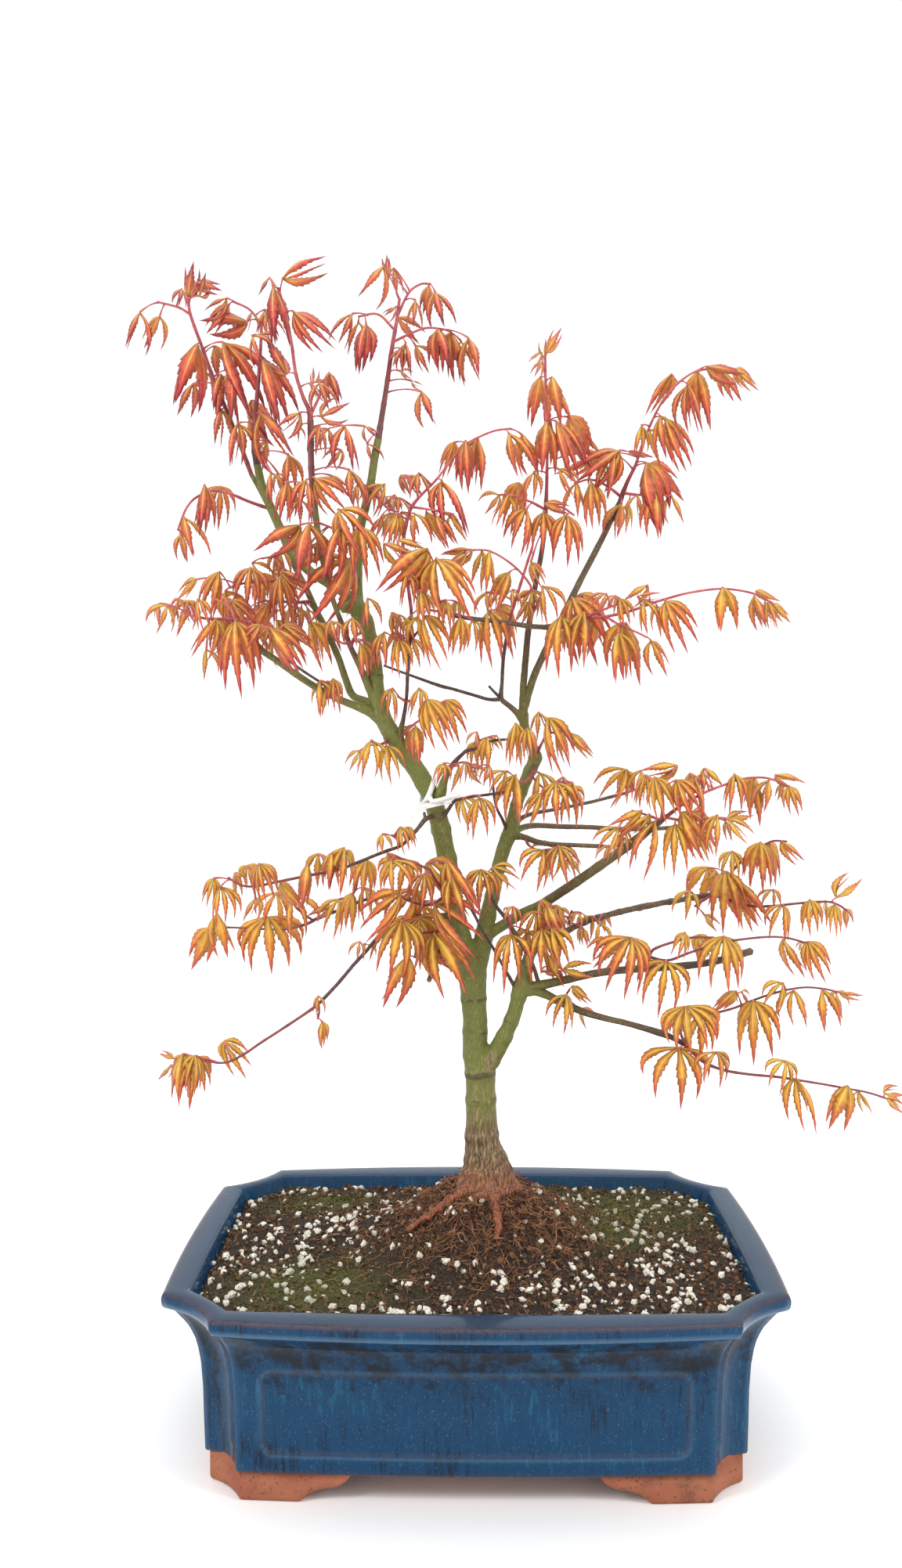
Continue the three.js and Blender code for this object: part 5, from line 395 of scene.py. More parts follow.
  -113 272.7 -44 0.6, -120 273.6 -46 0.55, -126 277.5 -48 0.5 | -133.5 277 -138 262 5 18 -4,
  -130 272.5 -133 252 7 30 -6, -122.5 279.5 -121 265 5 18 5, -110 284.5 -107 264 7 26 -6,
  -85 284 -87.5 261.5 3 8 -5, -72.5 290 -72.5 271.5 3 14 -4, -66 292.5 -68 268 5 18 -6,
  -64.5 291 -61.5 275 5 16 5, -99 274 -86.5 259.5 5 12 5, -112 266.5 -118.5 254 3 10 5

west_near: -37 293.5 -17 0.9, -39 297 -22 0.6, -41.5 299 -25 0.5 | -37 303 -36 289.5 5 20 -5,
  -46.5 299.5 -46 289 3 20 -4

low_west: -78 213.8 -48 0.9, -82 210.3 -50 0.8, -90 204.8 -53 0.75, -100 198.2 -57 0.7,
  -110 191.8 -60 0.7, -119 185.7 -63 0.7, -128 181.6 -65 0.6, -137 182 -67 0.55, -145 184 -69 0.5;
  -80 212 -49 0.7, -79.5 208 -51 0.55, -80.5 204 -52 0.5 | -129 192 -117 173 5 22 5,
  -150.5 186 -154 158 5 18 -5, -144 185 -145 164 5 20 -7, -147 183 -148 157 5 12 5,
  -141 184 -139.5 165 5 18 6, -155 183.5 -163 186 3 8 -3, -156.5 179.5 -163.5 171.5 3 10 4,
  -80 216 -80.5 205 3 16 -3, -78 202.5 -79 188 5 14 -3

low_west_bud: -56 238.2 -36 0.9, -57 242.5 -40 0.55 | -58.5 244 -60 234 3 23 -4.5

stub_limb: 88 230.1 -27 1.1, 90 236 -33 0.8, 92 239.8 -36 0.75, 104 244.2 -39 0.65,
  112 246 -41 0.6, 123 246 -43 0.5; 90 236 -33 0.8, 84 240 -38 0.6, 81 243 -41 0.5;
  90 236 -33 0.8, 99 234.2 -37 0.7, 110 238 -40 0.65, 125 243 -43 0.6, 135 244.7 -45 0.6,
  150 246.2 -48 0.55, 160 245.7 -50 0.5, 170 243 -52 0.45 | 81 246 77 214 7 42 -6,
  98.5 233.5 93 204.5 5 40 -7, 108 248.5 104 233.5 5 22 -4, 115 247 118 232.5 5 20 4,
  128 246.5 129 217 7 34 -6, 158 244.5 170.5 226 3 10 -4, 167.5 243.5 166 238.5 3 20 3,
  171 243.5 179 222 5 20 -4, 75 243 61 230 3 10 5

stub_foot: 45 223.8 -15 1, 45 227.5 -21 0.6, 44 229 -24 0.5 | 46 229.5 61 226.5 3 14 -4,
  37 228 44 227 3 8 5

low_east_near: 45 212.6 -18 1, 47 216 -24 0.6, 49 219 -27 0.5 | 51 221 60.5 212 5 14 -5,
  47.5 216.5 46 196 5 26 -7, 54 209 58 198.5 3 16 5

low_east: 108 191 -31 1.3, 112 187 -32 1, 116 183 -34 0.9, 122 179.7 -36 0.8, 130 177.2 -38 0.75,
  142 175.4 -41 0.7, 155 174.2 -44 0.7, 168 172.2 -46 0.65, 180 170.2 -47 0.6, 192 168 -48 0.55,
  202 166 -48 0.5, 214 162 -48 0.45; 109 190 -31 0.9, 106 197 -39 0.7, 107 204 -45 0.6 |
  108.5 210.5 112 184 7 46 -6, 105 189 105 157 5 46 -5, 124.5 187 126 167.5 5 48 -5,
  159.5 182.5 156 164 5 40 -4, 165 173.5 176 144 5 18 -5, 191 169.5 182 147 3 14 -4,
  197 166.5 204 155 5 16 4, 210 165.5 221 165 3 8 4, 211 163 220 155 3 8 -3

low_east_upper: 95 197 -29 1.1, 104 202.5 -24 0.75, 114 206 -20 0.7, 125 207.5 -17 0.65,
  134 210 -15 0.6, 142 213.3 -14 0.6, 150 216.2 -14 0.6, 160 219 -14 0.55, 170 220.3 -14 0.5,
  180 219.3 -14 0.45, 186 217.8 -14 0.45 | 143 213 144 180 5 26 -8, 158 222.5 152 204.5 5 32 -4,
  163.5 218.5 171 199.5 5 34 -4, 134 218.5 122 208 5 14 -4, 137 218 141 210 3 24 4,
  178 218.5 180.5 197 3 12 -3, 185 217.5 188.5 203.5 3 16 4, 187 217.5 199.5 215.5 3 4 -3

side_limb_end: 16.5 347.6 -14 0.7, 20 347.6 -15 0.6, 24 347.2 -16 0.5 | 22 356 19.5 335 5 17 -4,
  23 348 25 334 3 16 5, 28 353 30 336 5 18 -7

side_limb_mid: 3 343.9 -14.5 0.8, 3.2 346 -18 0.65, 3.6 347.2 -20.5 0.5 | 2 351.5 1 343 3 22 -3,
  7.5 348.5 7 331.5 5 14 -5, 12.5 349.5 15.5 342 3 16 4

side_limb_foot: -11.5 333 -11 1.1, -8 335.5 -18 0.6, -3 336 -21 0.6, 2 333 -24 0.5 |
  -15 335.5 -19 324 5 30 -6, -7 334 -11 321 3 20 5, -4 336 -7 325 5 18 -5,
  8.5 334.5 8.5 322.5 5 22 -5, -3 333 5 325 3 14 5

leader_mid: 31 335 11 1.3, 30 329 0 0.8, 26 326 -8 0.6, 21 327 -13 0.5; 30 329 0 0.7,
  36 323 -6 0.6, 43 322.5 -11 0.5 | 17 331.5 13 316.5 5 27 -3.5, 22 329.5 24 303 5 18 -7,
  34 330.5 32 310 5 28 -6, 42.5 325.5 42 302 5 32 -5, 46 328 52.5 312 3 16 5,
  51 325.5 55 315 3 6 -4, 35 320 29 303 5 18 -9

leader_east: 32 339.5 12 1.2, 35 345 4 0.7, 38 350 -2 0.6, 44 351.5 -6 0.5 |
  33.5 361.5 32.5 347 3 22 -4, 38 358.5 44 329 5 16 -7, 44 352.5 46 335 5 16 5,
  50 350.5 61 338 3 6 -3

cross_twig: 4 319 -14 0.8, 3.5 319 -19 0.55 | 3 318 0.5 297 5 26 -4

leader_west: -41 348 -6 1.2, -46 345.8 -13 0.7, -49 345 -17 0.5 | -52 347.5 -57 327.5 5 34 -4,
  -44 344.5 -42.5 325 5 28 -6, -58 342 -63 332 3 16 4

leader_inner: -38 348 -5 1.1, -34.5 351 -12 0.6, -30 355.5 -16 0.6, -25 359 -19 0.5 |
  -29 354.5 -28 336.5 5 14 -4, -23.5 368.5 -15 345.5 5 18 -4

thin_stem_pair: -33.9 367.2 -14 0.9, -38 369.8 -18 0.5; -33.9 367.2 -14 0.9, -30 368 -18 0.5 |
  -41 374 -40 357.5 5 16 -3, -27 374 -31 361 5 22 -4""")
# The shoots of the crown.
CROWN = {"shoot_" + name for name in """
  west_top west_inner second_stem front_crown west_arch west_upper_twig west_lower_twig
  west_limb_end west_red_twig west_elbow brown_stem middle_stem middle_low north_arch front_wave
  twig_pair centre_twig crown_east crown_east_foot east_arch east_crown thin_stem_pair
""".split()}


def srgb(code: str) -> Colour:
    """Turns an sRGB hex colour into a linear one.

    Args:
        code: The colour as "#rrggbb".

    Returns:
        Linear red, green, blue and an alpha of one.
    """
    parts = [int(code[i : i + 2], 16) / 255 for i in (1, 3, 5)]
    red, green, blue = (
        c / 12.92 if c <= 0.04045 else ((c + 0.055) / 1.055) ** 2.4 for c in parts
    )
    return (red, green, blue, 1.0)


def wire(tree: bpy.types.NodeTree, node: bpy.types.Node, inputs: dict[Any, Any]) -> None:
    """Fills a node's sockets.

    Args:
        tree: The tree that holds the node.
        node: The node.
        inputs: What goes into each socket: a value, a socket, or a node's first output.
    """
    for key, value in inputs.items():
        source = value.outputs[0] if isinstance(value, bpy.types.Node) else value
        if isinstance(source, bpy.types.NodeSocket):
            tree.links.new(source, node.inputs[key])
        else:
            node.inputs[key].default_value = source


def add(
    tree: bpy.types.NodeTree,
    kind: str,
    inputs: dict[Any, Any] | None = None,
    stops: Sequence[tuple[float, str]] = (),
    **settings: Any,
) -> bpy.types.Node:
    """Adds a node with its settings and links.

    Args:
        tree: The tree that gets the node.
        kind: Blender's name for the node.
        inputs: What goes into each socket, as `wire` takes it.
        stops: Colour stops of a ramp, as (position, hex colour).
        **settings: Properties of the node.

    Returns:
        The node.
    """
    node = tree.nodes.new(kind)
    for name, value in settings.items():
        setattr(node, name, value)
    if stops:
        ramp = node.color_ramp.elements
        (ramp[0].position, first), (ramp[1].position, last) = stops[0], stops[-1]
        ramp[0].color, ramp[1].color = srgb(first), srgb(last)
        for position, code in stops[1:-1]:
            ramp.new(position).color = srgb(code)
    wire(tree, node, inputs or {})
    return node


def blank_material(
    name: str, *values: str
) -> tuple[bpy.types.Material, bpy.types.NodeTree, bpy.types.Node, dict[str, Any]]:
    """Starts a node material.

    Args:
        name: The material's name.
        *values: Names of the point values that it reads.

    Returns:
        The material, its tree, its surface shader, and the sockets that it reads: those values by
        name, and the place on the object as "spot".
    """
    material = bpy.data.materials.new(name)
    material.use_nodes = True
    tree = material.node_tree
    given = {
        key: add(tree, "ShaderNodeAttribute", attribute_name=key).outputs["Fac"] for key in values
    }
    given["spot"] = add(tree, "ShaderNodeTexCoord").outputs["Object"]
    return material, tree, tree.nodes["Principled BSDF"], given


def per_metre(size: float) -> float:
    """Gives a pattern's scale from the size of its marks in millimetres."""
    return 1 / (MILLIMETRE * size)


def place(across: float, up: float, depth: float) -> Vector:
    """Gives a spot read on the plane through the trunk its depth along the line of sight.

    Args:
        across: Distance right of the pot's middle on that plane.
        up: Height on that plane.
        depth: Distance behind that plane.

    Returns:
        The spot in space.
    """
    return EYE + (Vector((across, 0, up)) - EYE) * ((depth - EYE.y) / -EYE.y)


def blend(value: float, low: float, high: float) -> float:
    """Rises smoothly from 0 at `low` to 1 at `high`."""
    t = min(max((value - low) / (high - low), 0.0), 1.0)
    return t * t * (3 - 2 * t)


def bell(*offsets: float) -> float:
    """Falls from 1 where every offset is 0 to 0.37 where one of them reaches 1."""
    return math.exp(-sum(offset**2 for offset in offsets))


def between(profile: Profile, at: float) -> float:
    """Reads a curve given as (position, value) pairs."""
    return float(np.interp(at, [p for p, _ in profile], [v for _, v in profile]))


@dataclass
class Station:
    """A spot along a stem: where it is, how thick, and the values that its bark carries."""

    at: Vector
    radius: float
    values: dict[str, float] = field(default_factory=dict)


def stations(rows: Sequence[Row]) -> list[Station]:
    """Places the stations of one branch in space.

    Args:
        rows: Its rows of across, up, depth and radius.

    Returns:
        The stations.
    """
    return [
        Station(place(u, w, depth), radius * (depth - EYE.y) / -EYE.y)
        for u, w, depth, radius in rows
    ]


def rounded(path: Sequence[Station], step: float) -> list[Station]:
    """Rounds a path into an evenly stepped curve through its stations.

    Args:
        path: The stations.
        step: Distance between the new stations.

    Returns:
        The finer path.
    """
    spots = [s.at for s in path]
    gaps = [max((b - a).length, 1e-6) for a, b in zip(spots, spots[1:])]
    slopes = []
    for i, spot in enumerate(spots):
        before, after = max(i - 1, 0), min(i + 1, len(spots) - 1)
        slopes.append((spots[after] - spots[before]) / sum(gaps[before:after]))
    finer = []
    for i, gap in enumerate(gaps):
        count = max(1, round(gap / step))
        for k in range(count):
            t = k / count
            a, b = 2 * t**3 - 3 * t**2 + 1, t**3 - 2 * t**2 + t
            c, d = 3 * t**2 - 2 * t**3, t**3 - t**2
            ends = spots[i] * a + slopes[i] * (gap * b)
            spot = ends + spots[i + 1] * c + slopes[i + 1] * (gap * d)
            finer.append(Station(spot, path[i].radius * (1 - t) + path[i + 1].radius * t))
    return [*finer, Station(spots[-1], path[-1].radius)]


# How far the rounded ends of a stem stand out, as shares of its radius.
FOOT_DOME, TIP_DOME = 0.4, 0.6


@dataclass
class Draft:
    """A mesh being put together, in millimetres, with named values kept at its points."""

    points: list[Vector] = field(default_factory=list)
    values: list[dict[str, float]] = field(default_factory=list)
    faces: list[tuple[int, ...]] = field(default_factory=list)
    slots: list[int] = field(default_factory=list)

    def point(self, at: Vector, **values: float) -> int:
        """Adds a point and returns its number."""
        self.points.append(Vector(at))
        self.values.append(values)
        return len(self.points) - 1

    def face(self, *corners: int, slot: int = 0) -> None:
        """Adds a face."""
        self.faces.append(corners)
        self.slots.append(slot)

    def band(self, lower: Sequence[int], upper: Sequence[int], slot: int = 0) -> None:
        """Joins two closed rings of the same count with quads."""
        for k, low in enumerate(lower):
            following = (k + 1) % len(lower)
            self.face(low, lower[following], upper[following], upper[k], slot=slot)

    def fan(self, ring: Sequence[int], centre: int, slot: int = 0) -> None:
        """Closes a ring to a point."""
        for k, corner in enumerate(ring):
            self.face(corner, ring[(k + 1) % len(ring)], centre, slot=slot)

    def tube(
        self,
        path: Sequence[Station],
        sides: int,
        slot: int = 0,
        relief: Callable[[Vector], float] = lambda at: 0.0,
    ) -> None:
        """Sweeps a round stem with domed ends along a path.

        Args:
            path: Its stations.
            sides: How many sides it has.
            slot: Its material's place in the list.
            relief: How far the bark stands out at a spot.
        """
        across = Vector((0.31, 0.95, 0.1))
        rings: list[list[int]] = []
        ahead = Vector((0, 0, 1))
        for i, station in enumerate(path):
            ahead = (path[min(i + 1, len(path) - 1)].at - path[max(i - 1, 0)].at).normalized()
            across = (across - ahead * across.dot(ahead)).normalized()
            over = ahead.cross(across)
            ring = []
            for k in range(sides):
                angle = 2 * math.pi * k / sides
                out = across * math.cos(angle) + over * math.sin(angle)
                reach = station.radius + relief(station.at + out * station.radius)
                ring.append(self.point(station.at + out * reach, **station.values))
            rings.append(ring)
        for lower, upper in zip(rings, rings[1:]):
            self.band(lower, upper, slot)
        end, start = path[-1], path[0]
        back = (path[1].at - start.at).normalized()
        high = self.point(end.at + ahead * end.radius * TIP_DOME, **end.values)
        self.fan(rings[-1], high, slot)
        low = self.point(start.at - back * start.radius * FOOT_DOME, **start.values)
        self.fan(rings[0][::-1], low, slot)

    def build(
        self, name: str, materials: Sequence[bpy.types.Material], linked: bool = True
    ) -> bpy.types.Object:
        """Makes the mesh object, in metres in the frame's own place.

        Args:
            name: The object's name.
            materials: Its materials, in the order of the faces' slots.
            linked: False for a form that others repeat, which keeps its own origin.

        Returns:
            The object.
        """
        mesh = bpy.data.meshes.new(name)
        shift = Vector((POT_OFF_CENTRE, 0, 0)) if linked else Vector()
        scale = MILLIMETRE if linked else 1.0
        mesh.from_pydata([(p - shift) * scale for p in self.points], [], self.faces)
        for material in materials:
            mesh.materials.append(material)
        mesh.polygons.foreach_set("material_index", self.slots)
        for key in sorted({key for values in self.values for key in values}):
            layer = mesh.attributes.new(key, "FLOAT", "POINT")
            layer.data.foreach_set("value", [values.get(key, 0.0) for values in self.values])
        work = bmesh.new()
        work.from_mesh(mesh)
        bmesh.ops.recalc_face_normals(work, faces=work.faces)
        work.to_mesh(mesh)
        work.free()
        mesh.shade_smooth()
        piece = bpy.data.objects.new(name, mesh)
        if linked:
            bpy.context.scene.collection.objects.link(piece)
        return piece


def declare(piece: bpy.types.Object, nodes: Sequence[str] = ()) -> bpy.types.Object:
    """Rides a finished piece on the body and hides the CAD nodes that it stands for.

    Args:
        piece: The piece.
        nodes: The CAD nodes that it replaces.

    Returns:
        The piece.
    """
    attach(piece, BODY)
    if nodes:
        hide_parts(*nodes)
    log.info("%s: %d faces", piece.name, len(piece.data.polygons))
    return piece


def settle(
    carrier: bpy.types.Object, tree: bpy.types.NodeTree, inputs: dict[str, Any], name: str
) -> bpy.types.Object:
    """Runs a Geometry Nodes tree on a carrier mesh and keeps the result as a plain mesh.

    Args:
        carrier: The object that feeds the tree; it is removed.
        tree: The tree.
        inputs: Values of its named inputs.
        name: The result's name.

    Returns:
        The new object.
    """
    modifier = carrier.modifiers.new(tree.name, "NODES")
    modifier.node_group = tree
    items = tree.interface.items_tree
    sockets = {item.name: item.identifier for item in items if item.in_out == "INPUT"}
    for key, value in inputs.items():
        modifier[sockets[key]] = value
    shown = carrier.evaluated_get(bpy.context.evaluated_depsgraph_get())
    mesh = bpy.data.meshes.new_from_object(shown)
    carrier.modifiers.remove(modifier)
    bpy.data.objects.remove(carrier)
    mesh.name = name
    piece = bpy.data.objects.new(name, mesh)
    bpy.context.scene.collection.objects.link(piece)
    return piece


def tree_with(
    name: str, sockets: dict[str, str]
) -> tuple[bpy.types.NodeTree, bpy.types.Node, bpy.types.Node]:
    """Starts a Geometry Nodes tree with named inputs and one geometry output.

    Args:
        name: The tree's name.
        sockets: Its inputs, as name to socket type.

    Returns:
        The tree, its input node and its output node.
    """
    tree = bpy.data.node_groups.new(name, "GeometryNodeTree")
    for key, kind in sockets.items():
        tree.interface.new_socket(key, in_out="INPUT", socket_type=kind)
    tree.interface.new_socket("Made", in_out="OUTPUT", socket_type="NodeSocketGeometry")
    return tree, add(tree, "NodeGroupInput"), add(tree, "NodeGroupOutput")


def forms_of(name: str, forms: Sequence[bpy.types.Object]) -> bpy.types.Collection:
    """Gathers forms that a tree repeats; they stay out of the scene.

    Args:
        name: The collection's name.
        forms: The forms.

    Returns:
        The collection.
    """
    collection = bpy.data.collections.new(name)
    for form in forms:
        collection.objects.link(form)
    return collection


@dataclass(frozen=True)
class GlazedStoneware:
    """High-fired stoneware under a thick cobalt glaze, glossy, pooled dark in the hollows.

    It breaks to teal streaks down the walls, thins to clay brown on the arrises, and gathers
    brown-black blotches under the lip. A pale line along the lip's lower edge and the field's edge
    and a lighter line down the corners' edges are painted highlights, and the flat lip is painted
    greyer as a painted reflection. The point values `arris`, `groove` (the corners' edges),
    `gleam` (the pale edge line) and `rim` (the flat lip) steer it.
    """

    deep: str = "#03172b"
    body: str = "#023759"
    teal: str = "#0c5672"
    fleck: str = "#9db6c2"
    blotch: str = "#0b090b"
    arris: str = "#463d45"
    # Lighter teal of the painted highlight down the corners' edges.
    groove: str = "#2a5270"
    # Grey-blue of the flat lip, a painted reflection of the pale surroundings.
    rim: str = "#2a3d50"
    # Pale grey-blue of the painted highlight along the lip's lower edge and the field's edge.
    painted_highlight: str = "#6d93ab"
    run_size: tuple[float, float, float] = (1.9231, 1.9231, 16.129)
    cloud_size: float = 38.462
    fleck_size: tuple[float, float, float] = (0.43478, 0.43478, 1.1111)
    stain_size: float = 10.526
    heights: tuple[float, float] = (14, 92)

    def material(self) -> bpy.types.Material:
        """Builds the glaze.

        Returns:
            The material.
        """
        material, tree, shader, given = blank_material(
            "cobalt glazed stoneware", "arris", "groove", "gleam", "rim")
        spot = given["spot"]
        # Runs of glaze are about 2 mm wide and 16 mm long.
        runs = add(tree, "ShaderNodeMapping", {
            "Vector": spot, "Scale": [per_metre(size) for size in self.run_size]})
        streaks = add(tree, "ShaderNodeTexNoise", {
            "Vector": runs, "Scale": 1.0, "Detail": 5.0, "Roughness": 0.62})
        clouds = add(tree, "ShaderNodeTexNoise", {
            "Vector": spot, "Scale": per_metre(self.cloud_size), "Detail": 3.0})
        both = add(tree, "ShaderNodeMath", {0: streaks, 1: clouds}, operation="ADD")
        half = add(tree, "ShaderNodeMath", {0: both, 1: 0.5}, operation="MULTIPLY")
        colour = add(tree, "ShaderNodeValToRGB", {0: half}, stops=[
            (0.36, self.deep), (0.47, self.body), (0.56, self.body), (0.66, self.teal)]).outputs[0]
        # Whitish flecks under half a millimetre across, drawn out down the wall.
        fine = add(tree, "ShaderNodeMapping", {
            "Vector": spot, "Scale": [per_metre(size) for size in self.fleck_size]})
        grains = add(tree, "ShaderNodeTexNoise", {"Vector": fine, "Scale": 1.0, "Detail": 2.0})
        flecks = add(tree, "ShaderNodeValToRGB", {0: grains}, stops=[
            (0.62, "#000000"), (0.78, "#8c8c8c")])
        # Height on the pot, 0 at the underside and 1 at the rim, places the blotches.
        height = add(tree, "ShaderNodeMapRange", {
            0: add(tree, "ShaderNodeSeparateXYZ", {0: spot}).outputs[2],
            1: self.heights[0] * MILLIMETRE, 2: self.heights[1] * MILLIMETRE})
        band = add(tree, "ShaderNodeValToRGB", {0: height}, stops=[
            (0.3, "#000000"), (0.52, "#3c3c3c"), (0.72, "#585858"), (0.86, "#505050"),
            (0.9, "#000000")])
        stains = add(tree, "ShaderNodeTexNoise", {
            "Vector": spot, "Scale": per_metre(self.stain_size), "Detail": 7.0, "Roughness": 0.7})
        laid = add(tree, "ShaderNodeMath", {0: band, 1: 2.4, 2: stains}, operation="MULTIPLY_ADD")
        dark = add(tree, "ShaderNodeMapRange", {0: laid, 1: 0.64, 2: 0.78, 3: 0.0, 4: 0.85})
        # The glaze leaves an arris unevenly, as its runs do.
        uneven = add(tree, "ShaderNodeMapRange", {0: streaks, 1: 0.35, 2: 0.6, 3: 0.45, 4: 1.0})
        wear = add(tree, "ShaderNodeMath", {0: given["arris"], 1: uneven}, operation="MULTIPLY")
        for share, code in (
            (flecks, self.fleck), (dark, self.blotch), (wear, self.arris),
            # The next line paints highlights: a lighter line down the corners' edges and a pale
            # line along the lip's lower edge and the field's edge.
            (given["groove"], self.groove), (given["gleam"], self.painted_highlight),
            # The flat lip's grey is a painted reflection.
            (given["rim"], self.rim),
        ):
            colour = add(tree, "ShaderNodeMix", {0: share, 6: colour, 7: srgb(code)},
                         data_type="RGBA").outputs[2]
        gloss = add(tree, "ShaderNodeMapRange", {0: stains, 1: 0.3, 2: 0.7, 3: 0.1, 4: 0.28})
        ripple = add(tree, "ShaderNodeBump", {"Height": half, "Strength": 0.25, "Distance": 0.0006})
        wire(tree, shader, {
            "Base Color": colour, "Roughness": gloss, "Normal": ripple,
            "Specular IOR Level": 0.06, "Coat Weight": 0.34, "Coat Roughness": 0.04})
        return material


@dataclass(frozen=True)
class BareClay:
    """Red stoneware clay left bare: matt, gritty, flecked with dark iron and stained by damp."""

    clay: str = "#95533b"
    pale: str = "#a66748"
    iron: str = "#4a3026"
    damp: str = "#473c2a"
    cloud_size: float = 18.182
    iron_size: float = 1.6129
    damp_size: float = 26.316

    def material(self) -> bpy.types.Material:
        """Builds the fired clay.

        Returns:
            The material.
        """
        material, tree, shader, given = blank_material("bare red stoneware clay")
        spot = given["spot"]
        clouds = add(tree, "ShaderNodeTexNoise", {
            "Vector": spot, "Scale": per_metre(self.cloud_size), "Detail": 5.0})
        colour = add(tree, "ShaderNodeValToRGB", {0: clouds}, stops=[
            (0.35, self.clay), (0.68, self.pale)]).outputs[0]
        # Iron spots about a millimetre across.
        spots = add(tree, "ShaderNodeTexNoise", {
            "Vector": spot, "Scale": per_metre(self.iron_size), "Detail": 3.0})
        iron = add(tree, "ShaderNodeValToRGB", {0: spots}, stops=[
            (0.6, "#000000"), (0.68, "#d8d8d8")])
        wet = add(tree, "ShaderNodeTexNoise", {
            "Vector": spot, "Scale": per_metre(self.damp_size), "Detail": 6.0, "Roughness": 0.7})
        stain = add(tree, "ShaderNodeValToRGB", {0: wet}, stops=[
            (0.52, "#000000"), (0.62, "#c8c8c8")])
        for share, code in ((iron, self.iron), (stain, self.damp)):
            colour = add(tree, "ShaderNodeMix", {0: share, 6: colour, 7: srgb(code)},
                         data_type="RGBA").outputs[2]
        grit = add(tree, "ShaderNodeBump", {"Height": spots, "Strength": 0.5, "Distance": 0.0004})
        wire(tree, shader, {"Base Color": colour, "Roughness": 0.85, "Normal": grit})
        return material


@dataclass(frozen=True)
class Ground:
    """A loose material of the filling: two tones that vary from grain to grain, dull and rough.

    The point value `moss` greens it.
    """

    name: str
    dark: str
    light: str
    grain: float
    roughness: float = 0.95
    moss: str = "#5d6427"

    def material(self) -> bpy.types.Material:
        """Builds the material; `grain` is the size of its spots in millimetres.

        Returns:
            The material.
        """
        material, tree, shader, given = blank_material(self.name, "moss")
        grains = add(tree, "ShaderNodeTexNoise", {
            "Vector": given["spot"], "Scale": per_metre(self.grain), "Detail": 4.0,
            "Roughness": 0.65})
        colour = add(tree, "ShaderNodeValToRGB", {0: grains}, stops=[
            (0.38, self.dark), (0.69, self.light)])
        covered = add(tree, "ShaderNodeMath", {0: given["moss"], 1: grains}, operation="MULTIPLY")
        green = add(tree, "ShaderNodeMix", {0: covered, 6: colour, 7: srgb(self.moss)},
                    data_type="RGBA")
        bump = add(tree, "ShaderNodeBump", {"Height": grains, "Strength": 0.6, "Distance": 0.0006})
        wire(tree, shader, {
            "Base Color": green.outputs[2], "Roughness": self.roughness, "Normal": bump})
        return material


